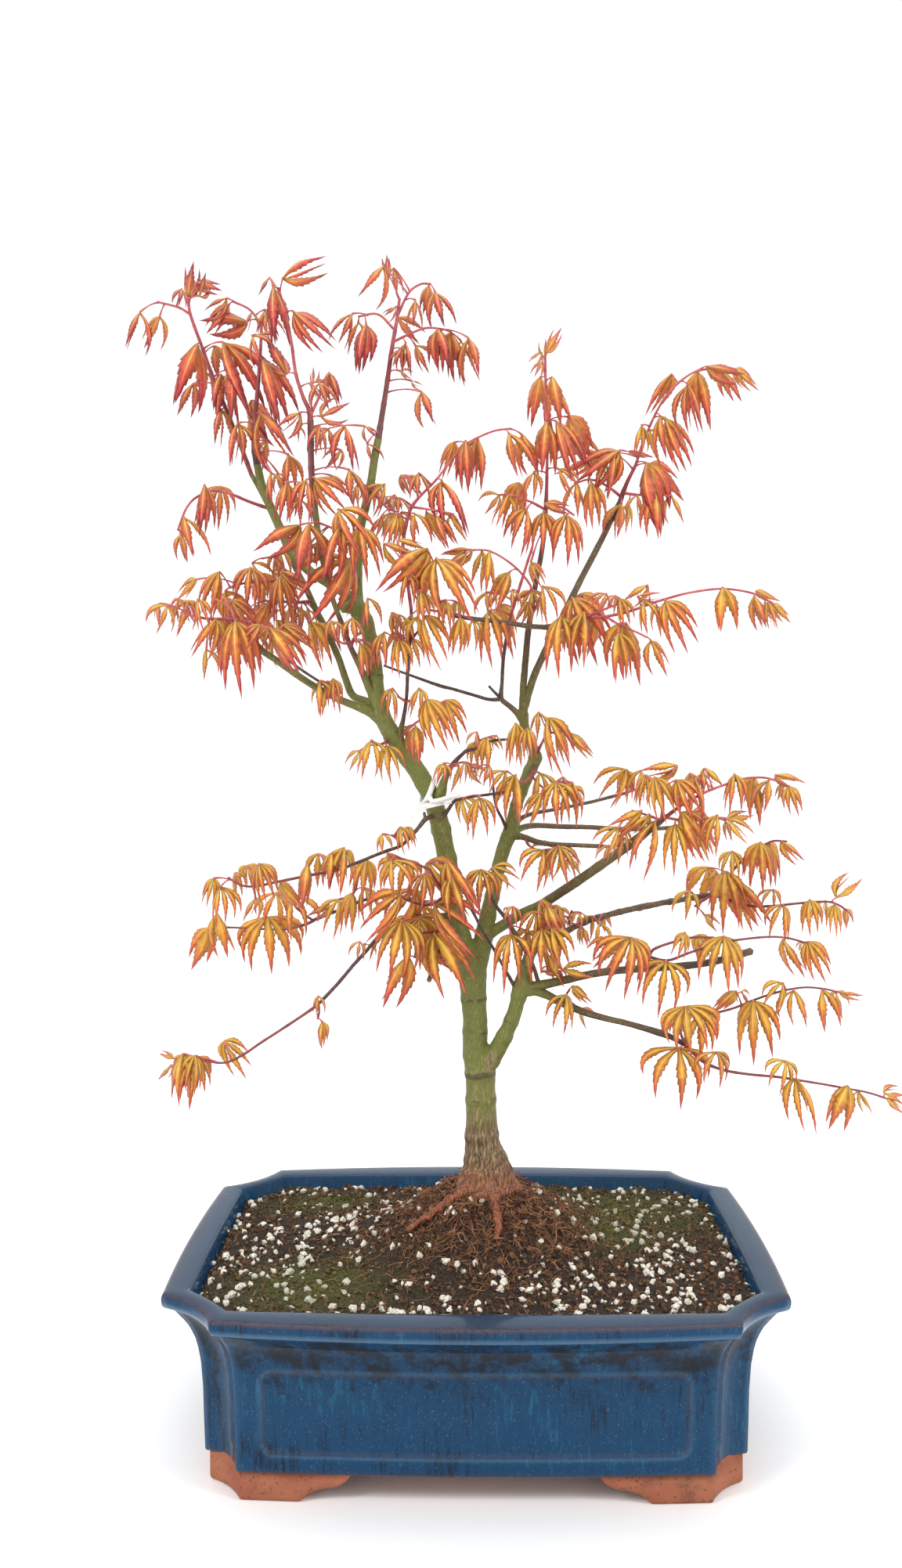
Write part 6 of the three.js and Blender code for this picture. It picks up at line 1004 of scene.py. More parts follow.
@dataclass(frozen=True)
class MapleBark:
    """Smooth living maple bark: olive green with fine tan dashes, browner as the wood thins.

    The point values `tone` (0 green to 1 maroon brown), `earth` (the tan, cracked bark of the
    foot), `root` (red-brown roots), `dark`, `ring` (scars left by old buds) and `scar` (bare tan
    wood) steer it.
    """

    green: str = "#6c702c"
    olive: str = "#655f28"
    brown: str = "#57402c"
    maroon: str = "#43242a"
    dash: str = "#b3a878"
    shade: str = "#3f4a20"
    earth: tuple[str, str, str] = ("#3a2818", "#6b5335", "#a58d60")
    root: tuple[str, str, str] = ("#3a1d10", "#7f4022", "#aa6439")
    dark: str = "#241b18"
    ring: str = "#40301f"
    scar: str = "#a5896a"
    split: str = "#2e2018"
    cloud_size: float = 11.111
    dash_size: tuple[float, float, float] = (0.52632, 0.52632, 2.6316)
    crack_size: tuple[float, float, float] = (0.90909, 0.90909, 6.25)
    chip_size: float = 3.8462

    def material(self) -> bpy.types.Material:
        """Builds the bark.

        Returns:
            The material.
        """
        material, tree, shader, value = blank_material(
            "living maple bark", "tone", "dark", "ring", "scar", "earth", "root")
        spot = value["spot"]
        clouds = add(tree, "ShaderNodeTexNoise", {
            "Vector": spot, "Scale": per_metre(self.cloud_size), "Detail": 4.0})
        shift = add(tree, "ShaderNodeMapRange", {0: clouds, 1: 0.3, 2: 0.7, 3: -0.14, 4: 0.14})
        tone = add(tree, "ShaderNodeMath", {0: value["tone"], 1: shift}, operation="ADD")
        colour = add(tree, "ShaderNodeValToRGB", {0: tone}, stops=[
            (0.0, self.green), (0.3, self.olive), (0.62, self.brown), (0.95, self.maroon)]
        ).outputs[0]
        # Dashes half a millimetre wide and a few long, along the trunk, with dark ones between.
        along = add(tree, "ShaderNodeMapping", {
            "Vector": spot, "Scale": [per_metre(size) for size in self.dash_size]})
        dashes = add(tree, "ShaderNodeTexNoise", {
            "Vector": along, "Scale": 1.0, "Detail": 3.0, "Roughness": 0.6})
        light = add(tree, "ShaderNodeValToRGB", {0: dashes}, stops=[
            (0.54, "#000000"), (0.68, "#a4a4a4")])
        deep = add(tree, "ShaderNodeValToRGB", {0: dashes}, stops=[
            (0.33, "#909090"), (0.45, "#000000")])
        # Cracks at the foot are about a millimetre wide and six long.
        foot = add(tree, "ShaderNodeMapping", {
            "Vector": spot, "Scale": [per_metre(size) for size in self.crack_size]})
        cracks = add(tree, "ShaderNodeTexNoise", {
            "Vector": foot, "Scale": 1.0, "Detail": 4.0, "Roughness": 0.65})
        cracked = add(tree, "ShaderNodeValToRGB", {0: cracks}, stops=list(
            zip((0.38, 0.5, 0.64), self.earth)))
        # The tan bark of the foot breaks up into flecks as it climbs.
        climbing = add(tree, "ShaderNodeMath", {0: value["earth"], 1: cracks}, operation="ADD")
        reached = add(tree, "ShaderNodeMapRange", {0: climbing, 1: 0.7, 2: 0.95})
        roots = add(tree, "ShaderNodeValToRGB", {0: cracks}, stops=list(
            zip((0.36, 0.5, 0.66), self.root)))
        # Only the crest of a bud scar darkens, and it breaks off here and there.
        chips = add(tree, "ShaderNodeTexNoise", {
            "Vector": spot, "Scale": per_metre(self.chip_size), "Detail": 3.0})
        crest = add(tree, "ShaderNodeMath", {0: chips, 1: 1.1, 2: value["ring"]},
                    operation="MULTIPLY_ADD")
        ring = add(tree, "ShaderNodeMapRange", {0: crest, 1: 1.49, 2: 1.68, 3: 0.0, 4: 0.7})
        # Pale corky bark round old joints, with dark splits in it.
        corky = add(tree, "ShaderNodeMath", {0: chips, 1: 1.7, 2: value["scar"]},
                    operation="MULTIPLY_ADD")
        scar = add(tree, "ShaderNodeMapRange", {0: corky, 1: 1.42, 2: 1.78, 3: 0.0, 4: 0.55})
        open_crack = add(tree, "ShaderNodeMapRange", {0: cracks, 1: 0.5, 2: 0.42})
        split = add(tree, "ShaderNodeMath", {0: open_crack, 1: scar}, operation="MULTIPLY")
        for share, laid in (
            (light, srgb(self.dash)), (deep, srgb(self.shade)), (reached, cracked),
            (value["root"], roots), (value["dark"], srgb(self.dark)), (ring, srgb(self.ring)),
            (scar, srgb(self.scar)), (split, srgb(self.split)),
        ):
            colour = add(tree, "ShaderNodeMix", {0: share, 6: colour, 7: laid},
                         data_type="RGBA").outputs[2]
        bump = add(tree, "ShaderNodeBump", {"Height": dashes, "Strength": 0.45, "Distance": 0.0003})
        wire(tree, shader, {"Base Color": colour, "Roughness": 0.58, "Normal": bump})
        return material


@dataclass(frozen=True)
class YoungBark:
    """Bark of this year's twigs and of leaf stalks: smooth, waxy, pink-red on stalks (`ripe` 0)."""

    stalk: str = "#c2655f"
    pink: str = "#a8434c"
    red: str = "#7c3a38"
    brown: str = "#4d3430"
    blush_size: float = 4.7619

    def material(self) -> bpy.types.Material:
        """Builds the young bark.

        Returns:
            The material.
        """
        material, tree, shader, given = blank_material("young maple shoot bark", "ripe")
        # Blush changes every few millimetres along a twig.
        clouds = add(tree, "ShaderNodeTexNoise", {
            "Vector": given["spot"], "Scale": per_metre(self.blush_size), "Detail": 3.0})
        shift = add(tree, "ShaderNodeMapRange", {0: clouds, 1: 0.3, 2: 0.7, 3: -0.18, 4: 0.18})
        tone = add(tree, "ShaderNodeMath", {0: given["ripe"], 1: shift}, operation="ADD")
        colour = add(tree, "ShaderNodeValToRGB", {0: tone}, stops=[
            (0.0, self.stalk), (0.25, self.pink), (0.6, self.red), (1.0, self.brown)])
        wire(tree, shader, {"Base Color": colour, "Roughness": 0.45})
        return material


@dataclass(frozen=True)
class MapleLeaf:
    """Soft new maple leaf: gold at the hub, orange blade, coral edge and wine-red thread tips.

    The point values `reach` (0 hub to 1 tip), `side` (0 rib to 1 edge) and `tone` (0 gold leaf
    to 1 coral leaf) steer it. Light glows through the thin blade.
    """

    olive: str = "#9c8226"
    gold: str = "#d89a2a"
    orange: str = "#d3722b"
    coral: str = "#cc5138"
    red: str = "#ad2b3a"
    wine: str = "#6a1828"
    rib: str = "#e6c274"
    # Deep colour of darker leaf patches, partly own colour and partly painted shade.
    deep: str = "#7e3618"
    blotch_size: float = 3.0303
    depth_size: float = 10.526

    def material(self) -> bpy.types.Material:
        """Builds the leaf.

        Returns:
            The material.
        """
        material, tree, shader, value = blank_material("new maple leaf", "reach", "side", "tone")
        spot = value["spot"]
        # Blotches some 3 mm wide break up the blush.
        clouds = add(tree, "ShaderNodeTexNoise", {
            "Vector": spot, "Scale": per_metre(self.blotch_size), "Detail": 4.0})
        shift = add(tree, "ShaderNodeMapRange", {0: clouds, 1: 0.3, 2: 0.7, 3: -0.16, 4: 0.16})
        edge = add(tree, "ShaderNodeMath", {0: value["side"], 1: 2.2}, operation="POWER")
        tips = add(tree, "ShaderNodeMath", {0: value["reach"], 1: 1.7}, operation="POWER")
        blush = shift
        for part, weight in ((edge, 0.38), (tips, 0.75), (value["tone"], 0.42)):
            blush = add(tree, "ShaderNodeMath", {0: part, 1: weight, 2: blush},
                        operation="MULTIPLY_ADD")
        colour = add(tree, "ShaderNodeValToRGB", {0: blush}, stops=[
            (0.0, self.gold), (0.12, self.gold), (0.3, self.orange), (0.52, self.coral),
            (0.82, self.red), (1.0, self.wine)]).outputs[0]
        hub = add(tree, "ShaderNodeMapRange", {
            0: value["reach"], 1: 0.0, 2: 0.3, 3: 0.5, 4: 0.0})
        # Leaves some 10 mm apart differ in depth of colour; these darker patches are partly the
        # leaves' own colour and partly painted shade standing in for shadow within the crown.
        broad = add(tree, "ShaderNodeTexNoise", {
            "Vector": spot, "Scale": per_metre(self.depth_size), "Detail": 4.0})
        deeper_and_shade = add(tree, "ShaderNodeMapRange", {0: broad, 1: 0.38, 2: 0.58, 3: 0.42, 4: 0.0})
        near = add(tree, "ShaderNodeMapRange", {
            0: value["side"], 1: 0.0, 2: 0.16, 3: 0.75, 4: 0.0})
        fade = add(tree, "ShaderNodeMapRange", {
            0: value["reach"], 1: 0.35, 2: 0.8, 3: 1.0, 4: 0.0})
        rib = add(tree, "ShaderNodeMath", {0: near, 1: fade}, operation="MULTIPLY")
        for share, code in ((hub, self.olive), (deeper_and_shade, self.deep), (rib, self.rib)):
            colour = add(tree, "ShaderNodeMix", {0: share, 6: colour, 7: srgb(code)},
                         data_type="RGBA").outputs[2]
        wire(tree, shader, {
            "Base Color": colour, "Roughness": 0.5, "Subsurface Weight": 0.35,
            "Subsurface Radius": (1.0, 0.45, 0.2), "Subsurface Scale": 0.002})
        return material


@dataclass(frozen=True)
class Plain:
    """A plain moulded or paper-like material whose tone clouds slightly with handling."""

    name: str
    base: str
    soiled: str
    patch: float
    roughness: float

    def material(self) -> bpy.types.Material:
        """Builds the material; `patch` is the size of its clouds in millimetres.

        Returns:
            The material.
        """
        material, tree, shader, given = blank_material(self.name)
        clouds = add(tree, "ShaderNodeTexNoise", {
            "Vector": given["spot"], "Scale": per_metre(self.patch), "Detail": 4.0})
        colour = add(tree, "ShaderNodeValToRGB", {0: clouds}, stops=[
            (0.4, self.base), (0.75, self.soiled)])
        wire(tree, shader, {"Base Color": colour, "Roughness": self.roughness})
        return material


class Side(Enum):
    """The pot's four sides, each with the direction it faces."""

    EAST = (1, 0)
    NORTH = (0, 1)
    WEST = (-1, 0)
    SOUTH = (0, -1)

    @property
    def is_long(self) -> bool:
        """Whether this is the front or the back."""
        return self.value[0] == 0


@dataclass
class Pot:
    """The glazed pot: bowed sides, scooped corners, a heavy lip and four cloud-cut clay feet.

    A profile is read by height, apart from the arch, which is read by the way in from its end.
    """

    width: float = 290
    depth: float = 200
    corner_cut: float = 28.7
    field_depth: float = 0.8
    field_half: float = 97
    field_low: float = 23.4
    field_high: float = 62.5
    field_corner: float = 6.5
    hole_offset: float = 62
    hole_radius: float = 10
    hole_steps: int = 36
    long_steps: int = 150
    short_steps: int = 44
    corner_steps: int = 10
    outer: Profile = (
        (14.2, 19.6), (14.35, 18.9), (14.9, 18.45), (16, 18.25), (18, 18.2), (30, 17.9), (45, 17.6),
        (57, 16.8), (64, 15.7), (68.5, 14.6), (72, 13.2), (75, 11.8), (78, 9.8), (80.5, 7.9),
        (82.6, 6.3), (83.6, 5.0), (84.2, 3.4), (84.9, 1.9), (85.7, 0.9), (86.8, 0.35), (88.4, 0.15),
        (90, 0.15), (91, 0.45), (91.7, 1.1), (92, 2.1),
    )
    bow: Profile = (
        (14.2, 3.2), (16, 3.4), (50, 3.6), (64, 4.4), (75, 5.4), (83, 6.4), (85.2, 7), (92, 7))
    short_bow: float = 2.5
    scoop: float = 4.2
    courses: Sequence[float] = tuple(18 + 1.15 * k for k in range(1, 43))
    # The flat lip: height, inset and share of the way in.
    lip: Sequence[tuple[float, float, float]] = (
        (92.25, 3.6, 0.25), (92.3, 7, 0.5), (92.2, 10.6, 0.8), (91.9, 12, 1.0))
    inner: Profile = (
        (23, 29.1), (26, 26), (62, 23.1), (78, 17.6), (86, 14.2), (90, 13.1), (91.3, 12.6))
    inner_bows: tuple[float, float] = (2.5, 1)
    inner_scoop: float = 0.8
    foot_insets: tuple[float, float] = (20.3, 34.3)
    foot_bows: tuple[float, float] = (3, 2.5)
    foot_scoop: float = 2
    foot_steps: tuple[int, int, int] = (240, 150, 12)
    foot_top: float = 15.9
    foot_soft: float = 1.1
    arch: Profile = ((0, 0), (4.8, 4), (9.5, 5.8), (17, 7), (21.5, 9.6), (24.6, 14.2), (27, 15.4))
    arch_halves: tuple[float, float] = (80.4, 38)
    arch_crown: float = 15.39

    def ring(
        self, inset: float, bows: tuple[float, float], scoop: float,
        steps: tuple[int, int, int] | None = None,
    ) -> list[tuple[Vector, Side | None, float]]:
        """Lays out one level of the pot as a closed outline.

        Args:
            inset: How far it lies inside the rim's own outline.
            bows: How far the long and the short sides bow out.
            scoop: How far the corners are hollowed.
            steps: Steps along a long side, a short side and a corner.

        Returns:
            For each point its place (height 0), its side or None in a corner, and its share.
        """
        long_steps, short_steps, corner_steps = steps or (
            self.long_steps, self.short_steps, self.corner_steps)
        cut = self.corner_cut - (2 - math.sqrt(2)) * inset
        half_width, half_depth = self.width / 2 - inset, self.depth / 2 - inset

        def on(side: Side, share: float) -> Vector:
            """Gives the spot at a share along a side."""
            nx, ny = side.value
            reach, half = half_width, half_depth - cut
            if side.is_long:
                reach, half = half_depth, half_width - cut
            out = reach + bows[0 if side.is_long else 1] * (1 - share * share)
            return Vector((nx * out - ny * half * share, ny * out + nx * half * share, 0))

        outline: list[tuple[Vector, Side | None, float]] = []
        sides = list(Side)
        for i, side in enumerate(sides):
            count = long_steps if side.is_long else short_steps
            for k in range(count + 1):
                outline.append((on(side, 2 * k / count - 1), side, 2 * k / count - 1))
            following = sides[(i + 1) % 4]
            start, end = on(side, 1), on(following, -1)
            diagonal = (Vector((*side.value, 0)) + Vector((*following.value, 0))).normalized()
            for k in range(1, corner_steps):
                t = k / corner_steps
                outline.append((start.lerp(end, t) - diagonal * (scoop * 4 * t * (1 - t)), None, t))
        return outline

    def field_edge(self, across: float, height: float) -> float:
        """Distance from the edge of the pressed field, negative inside it.

        Args:
            across: Distance right of the pot's middle.
            height: Height over the table.

        Returns:
            The distance.
        """
        middle = (self.field_low + self.field_high) / 2
        x = abs(across) - self.field_half + self.field_corner
        z = abs(height - middle) - (self.field_high - middle) + self.field_corner
        return math.hypot(max(x, 0), max(z, 0)) + min(max(x, z), 0) - self.field_corner

    def inset_inside(self, height: float) -> float:
        """How far the wall's inner face lies inside the rim's outline."""
        return between(self.inner, height)

    def dress(self, at: Vector, side: Side | None, share: float, z: float) -> Dressed:
        """Presses the field into a spot of the outer wall and says how the glaze lies there.

        Args:
            at: Its place on the outline.
            side: Its side, or None in a corner.
            share: Its share along the side or corner.
            z: Its height.

        Returns:
            Its place in space, and the values that the glaze reads.
        """
        # gleam is a painted highlight along the lip's lower edge.
        spot, arris, gleam = Vector((at.x, at.y, z)), 0.0, 0.55 * bell((z - 86.2) / 0.7)
        from_edge = 26 * min(share, 1 - share) if side is None else 70 * (1 - abs(share))
        # groove is a painted highlight down the corners' edges, below the lip.
        groove = 0.5 * bell(from_edge / 1.6) if z < 80 else 0.0
        if side and side.is_long and 20 < z < 66:
            edge = self.field_edge(at.x, z)
            spot.y -= side.value[1] * self.field_depth * blend(-edge, -0.8, 0.8)
            # A faint painted highlight runs just outside the field's edge.
            arris, gleam = 0.5 * bell((edge + 0.9) / 0.8), 0.16 * bell((edge - 0.9) / 0.8)
        # Arrises: the lip's inner edge, the step under it and the wall's foot.
        arris = max(arris, blend(z, 90.2, 91.2), 0.5 * bell((z - 84.6) / 0.8),
                    0.8 * bell((z - 14.6) / 1.2))
        return spot, {"arris": arris, "groove": groove, "gleam": gleam}

    def wall(self, draft: Draft) -> tuple[list[int], list[int]]:
        """Draws the wall from the underside over the rim to the floor.

        Args:
            draft: The mesh.

        Returns:
            The rings at its two ends.
        """
        rings = []
        for z in sorted({z for z, _ in self.outer} | set(self.courses)):
            outline = self.ring(
                between(self.outer, z), (between(self.bow, z), self.short_bow), self.scoop)
            ring = []
            for at, side, share in outline:
                spot, values = self.dress(at, side, share, z)
                ring.append(draft.point(spot, **values))
            rings.append(ring)
        # Over the lip the bows and the scoop ease from the outer wall's to the inner wall's.
        # The flat lip is painted greyer through rim, a painted reflection of the pale surroundings.
        for z, inset, share in self.lip:
            bows, scoop = (7 - 4.5 * share, 2.5 - 1.5 * share), 4.2 - 3.4 * share
            rings.append([
                draft.point(Vector((at.x, at.y, z)), rim=0.75, arris=0.5 * (share < 0.3))
                for at, _, _ in self.ring(inset, bows, scoop)
            ])
        # The top of the inner wall takes part of that painted reflection.
        for z, inset in reversed(self.inner):
            rings.append([
                draft.point(Vector((at.x, at.y, z)), rim=0.4 * blend(z, 88, 91.3))
                for at, _, _ in self.ring(inset, self.inner_bows, self.inner_scoop)
            ])
        for lower, upper in zip(rings, rings[1:]):
            draft.band(lower, upper)
        return rings[0], rings[-1]

    def sheet_with_holes(self, draft: Draft, ring: Sequence[int]) -> list[list[int]]:
        """Fills a level ring, leaving the two drain holes.

        Args:
            draft: The mesh.
            ring: The ring to fill.

        Returns:
            The rims of the two holes.
        """
        z = draft.points[ring[0]].z
        turns = [2 * math.pi * k / self.hole_steps for k in range(self.hole_steps)]
        rims = [[
            draft.point(Vector((side * self.hole_offset + self.hole_radius * math.cos(a),
                                self.hole_radius * math.sin(a), z)))
            for a in turns
        ] for side in (-1, 1)]
        numbers = [*ring, *rims[0], *rims[1]]
        edges, start = [], 0
        for loop in (ring, *rims):
            edges += [(start + k, start + (k + 1) % len(loop)) for k in range(len(loop))]
            start += len(loop)
        flat = [draft.points[n].to_2d() for n in numbers]
        _, _, triangles, originals, _, _ = delaunay_2d_cdt(flat, edges, [], 1, 1e-6)
        for triangle in triangles:
            corners = [numbers[originals[n][0]] for n in triangle]
            spot = (sum((draft.points[n] for n in corners), Vector()) / 3).xy
            holes = (Vector((side * self.hole_offset, 0)) for side in (-1, 1))
            if min((spot - hole).length for hole in holes) > self.hole_radius * 0.98:
                draft.face(*corners, slot=1)
        return rims

    def feet(self, draft: Draft) -> None:
        """Draws the four feet, each a bent bar whose underside follows the arches.

        Args:
            draft: The mesh.
        """
        outer, inner = (
            self.ring(inset, self.foot_bows, self.foot_scoop, self.foot_steps)
            for inset in self.foot_insets
        )
        count = len(outer)
        lift = []
        for at, side, _ in outer:
            is_long = side is not None and side.is_long
            along = abs(at.x if is_long else at.y)
            half = self.arch_halves[0 if is_long else 1]
            under_arch = side is not None and along < half
            lift.append(between(self.arch, half - along) if under_arch else 0.0)
        for start in [k for k in range(count) if lift[k] < self.arch_crown <= lift[k - 1]]:
            run = [(start - 1) % count]
            while len(run) == 1 or lift[run[-1]] < self.arch_crown:
                run.append((run[-1] + 1) % count)
            bars = []
            for n in run:
                low, top = lift[n], self.foot_top
                out, into = outer[n][0], inner[n][0]
                soft = min(self.foot_soft, (top - low) / 2.5)
                across = (into - out).normalized()
                section = [
                    (out, top), (out, low + 2 * soft), (out + across * 0.25 * soft, low + soft),
                    (out + across * soft, low + 0.2 * soft), (out + across * 2 * soft, low),
                    (into - across * soft, low), (into, low + soft), (into, top),
                ]
                bars.append([draft.point(Vector((p.x, p.y, z))) for p, z in section])
            for lower, upper in zip(bars, bars[1:]):
                draft.band(lower, upper, 1)
            draft.face(*bars[0], slot=1)
            draft.face(*bars[-1][::-1], slot=1)

    def build(self) -> bpy.types.Object:
        """Builds the pot as one closed body with its feet.

        Returns:
            The piece.
        """
        draft = Draft()
        under, floor = self.wall(draft)
        below, above = self.sheet_with_holes(draft, under), self.sheet_with_holes(draft, floor)
        for low, high in zip(below, above):
            draft.band(low, high, 1)
        self.feet(draft)
        return draft.build("pot_glazed", [GlazedStoneware().material(), BareClay().material()])


@dataclass
class DrainScreens:
    """Two squares of moulded mesh over the drain holes, under the soil."""

    side: float = 34
    thickness: float = 1
    level: float = 23.3
    pitch: float = 3.4
    bar: float = 1.1

    def build(self, offset: float, name: str) -> bpy.types.Object:
        """Builds one screen of crossed bars inside a border.

        Args:
            offset: Its middle, right of the pot's middle.
            name: The piece's name.

        Returns:
            The piece.
        """
        draft = Draft()
        cells = round(self.side / self.pitch)
        middles = [(k - cells / 2) * self.pitch for k in range(cells + 1)]
        stops = sorted({middle + s * self.bar / 2 for middle in middles for s in (-1, 1)})
        count = len(stops)
        grid = {
            (i, j, k): draft.point(Vector((offset + stops[i], stops[j], level)))
            for i in range(count) for j in range(count)
            for k, level in enumerate((self.level, self.level + self.thickness))
        }
        squares = [(i, j) for i in range(count - 1) for j in range(count - 1)]
        solid = {(i, j) for i, j in squares if i % 2 == 0 or j % 2 == 0}
        for i, j in solid:
            draft.face(grid[i, j, 1], grid[i + 1, j, 1], grid[i + 1, j + 1, 1], grid[i, j + 1, 1])
            draft.face(grid[i, j, 0], grid[i, j + 1, 0], grid[i + 1, j + 1, 0], grid[i + 1, j, 0])
            for di, dj, a, b in (
                (-1, 0, (0, 0), (0, 1)), (1, 0, (1, 0), (1, 1)),
                (0, -1, (0, 0), (1, 0)), (0, 1, (0, 1), (1, 1)),
            ):
                if (i + di, j + dj) not in solid:
                    p, q = (i + a[0], j + a[1]), (i + b[0], j + b[1])
                    draft.face(grid[(*p, 0)], grid[(*q, 0)], grid[(*q, 1)], grid[(*p, 1)])
        mesh = Plain("black polyethylene mesh", "#1d1d1e", "#38352f", 6.0, 0.6)
        return draft.build(name, [mesh.material()])


def pebble(name: str, seed: int, fine: int, flat: float, rough: float) -> bpy.types.Object:
    """Makes a lump one unit across, sunk a little below its origin, to be scattered.

    Args:
        name: The form's name.
        seed: Which lump it is.
        fine: How finely it is faceted, 1 or 2.
        flat: Its height as a share of its width.
        rough: How uneven it is.

    Returns:
        The form.
    """
    mesh = bpy.data.meshes.new(name)
    work = bmesh.new()
    bmesh.ops.create_icosphere(work, subdivisions=fine, radius=0.5)
    for vert in work.verts:
        swell = 1 + rough * noise.noise(vert.co * 2.6 + Vector((seed * 7.3, 0, 0)))
        x, y, z = vert.co
        vert.co = Vector((x * swell, y * swell * 0.85, z * swell * flat + 0.22 * flat))
    work.to_mesh(mesh)
    work.free()
    return bpy.data.objects.new(name, mesh)


def strand(name: str, seed: int) -> bpy.types.Object:
    """Makes a thin bent root hair one unit long, to be scattered.

    Args:
        name: The form's name.
        seed: Which hair it is.

    Returns:
        The form.
    """
    rng = random.Random(seed)
    draft = Draft()
    path = [
        Station(Vector((t - 0.5, 0.16 * math.sin(5 * t + seed) + rng.uniform(-0.04, 0.04),
                        0.03 + 0.12 * math.sin(math.pi * t) * rng.random())), 0.016 * (1.15 - t))
        for t in (0, 0.22, 0.45, 0.7, 1)
    ]
    draft.tube(path, 3)
    return draft.build(name, [], linked=False)


def scatter_tree() -> bpy.types.NodeTree:
    """Builds the tree that strews forms over a surface where a named value says so.

    Returns:
        The tree.
    """
    tree, given, made = tree_with("strewn over the soil", {
        "Ground": "NodeSocketGeometry", "Forms": "NodeSocketCollection",
        "Where": "NodeSocketString",
        "Density": "NodeSocketFloat", "Smallest": "NodeSocketFloat", "Largest": "NodeSocketFloat",
        "Tilt": "NodeSocketFloat", "Seed": "NodeSocketInt", "Material": "NodeSocketMaterial"})
    where = add(tree, "GeometryNodeInputNamedAttribute", {"Name": given.outputs["Where"]},
                data_type="FLOAT")
    density = add(tree, "ShaderNodeMath", {0: where, 1: given.outputs["Density"]},
                  operation="MULTIPLY")
    spots = add(tree, "GeometryNodeDistributePointsOnFaces", {
        "Mesh": given.outputs["Ground"], "Density": density, "Seed": given.outputs["Seed"]})
    forms = add(tree, "GeometryNodeCollectionInfo", {
        "Collection": given.outputs["Forms"], "Separate Children": True, "Reset Children": True})
    pick = add(tree, "FunctionNodeRandomValue", {4: 0, 5: 5, "Seed": 3}, data_type="INT")
    size = add(tree, "FunctionNodeRandomValue", {
        2: given.outputs["Smallest"], 3: given.outputs["Largest"], "Seed": 5}, data_type="FLOAT")
    # Each form leans up to the tilt about two axes and turns freely about the third.
    tilt = add(tree, "FunctionNodeRandomValue", {
        0: (-1, -1, -3.14159), 1: (1, 1, 3.14159), "Seed": 8}, data_type="FLOAT_VECTOR")
    parts = add(tree, "ShaderNodeCombineXYZ", {
        0: given.outputs["Tilt"], 1: given.outputs["Tilt"], 2: 1.0})
    turn = add(tree, "ShaderNodeVectorMath", {0: tilt, 1: parts}, operation="MULTIPLY")
    spin = add(tree, "FunctionNodeEulerToRotation", {0: turn})
    turned = add(tree, "FunctionNodeRotateRotation", {
        0: spots.outputs["Rotation"], 1: spin}, rotation_space="LOCAL")
    strewn = add(tree, "GeometryNodeInstanceOnPoints", {
        "Points": spots, "Instance": forms, "Pick Instance": True,
        "Instance Index": pick.outputs[2], "Rotation": turned, "Scale": size.outputs[1]})
    real = add(tree, "GeometryNodeRealizeInstances", {0: strewn})
    coated = add(tree, "GeometryNodeSetMaterial", {
        "Geometry": real, "Material": given.outputs["Material"]})
    tree.links.new(coated.outputs[0], made.inputs[0])
    return tree


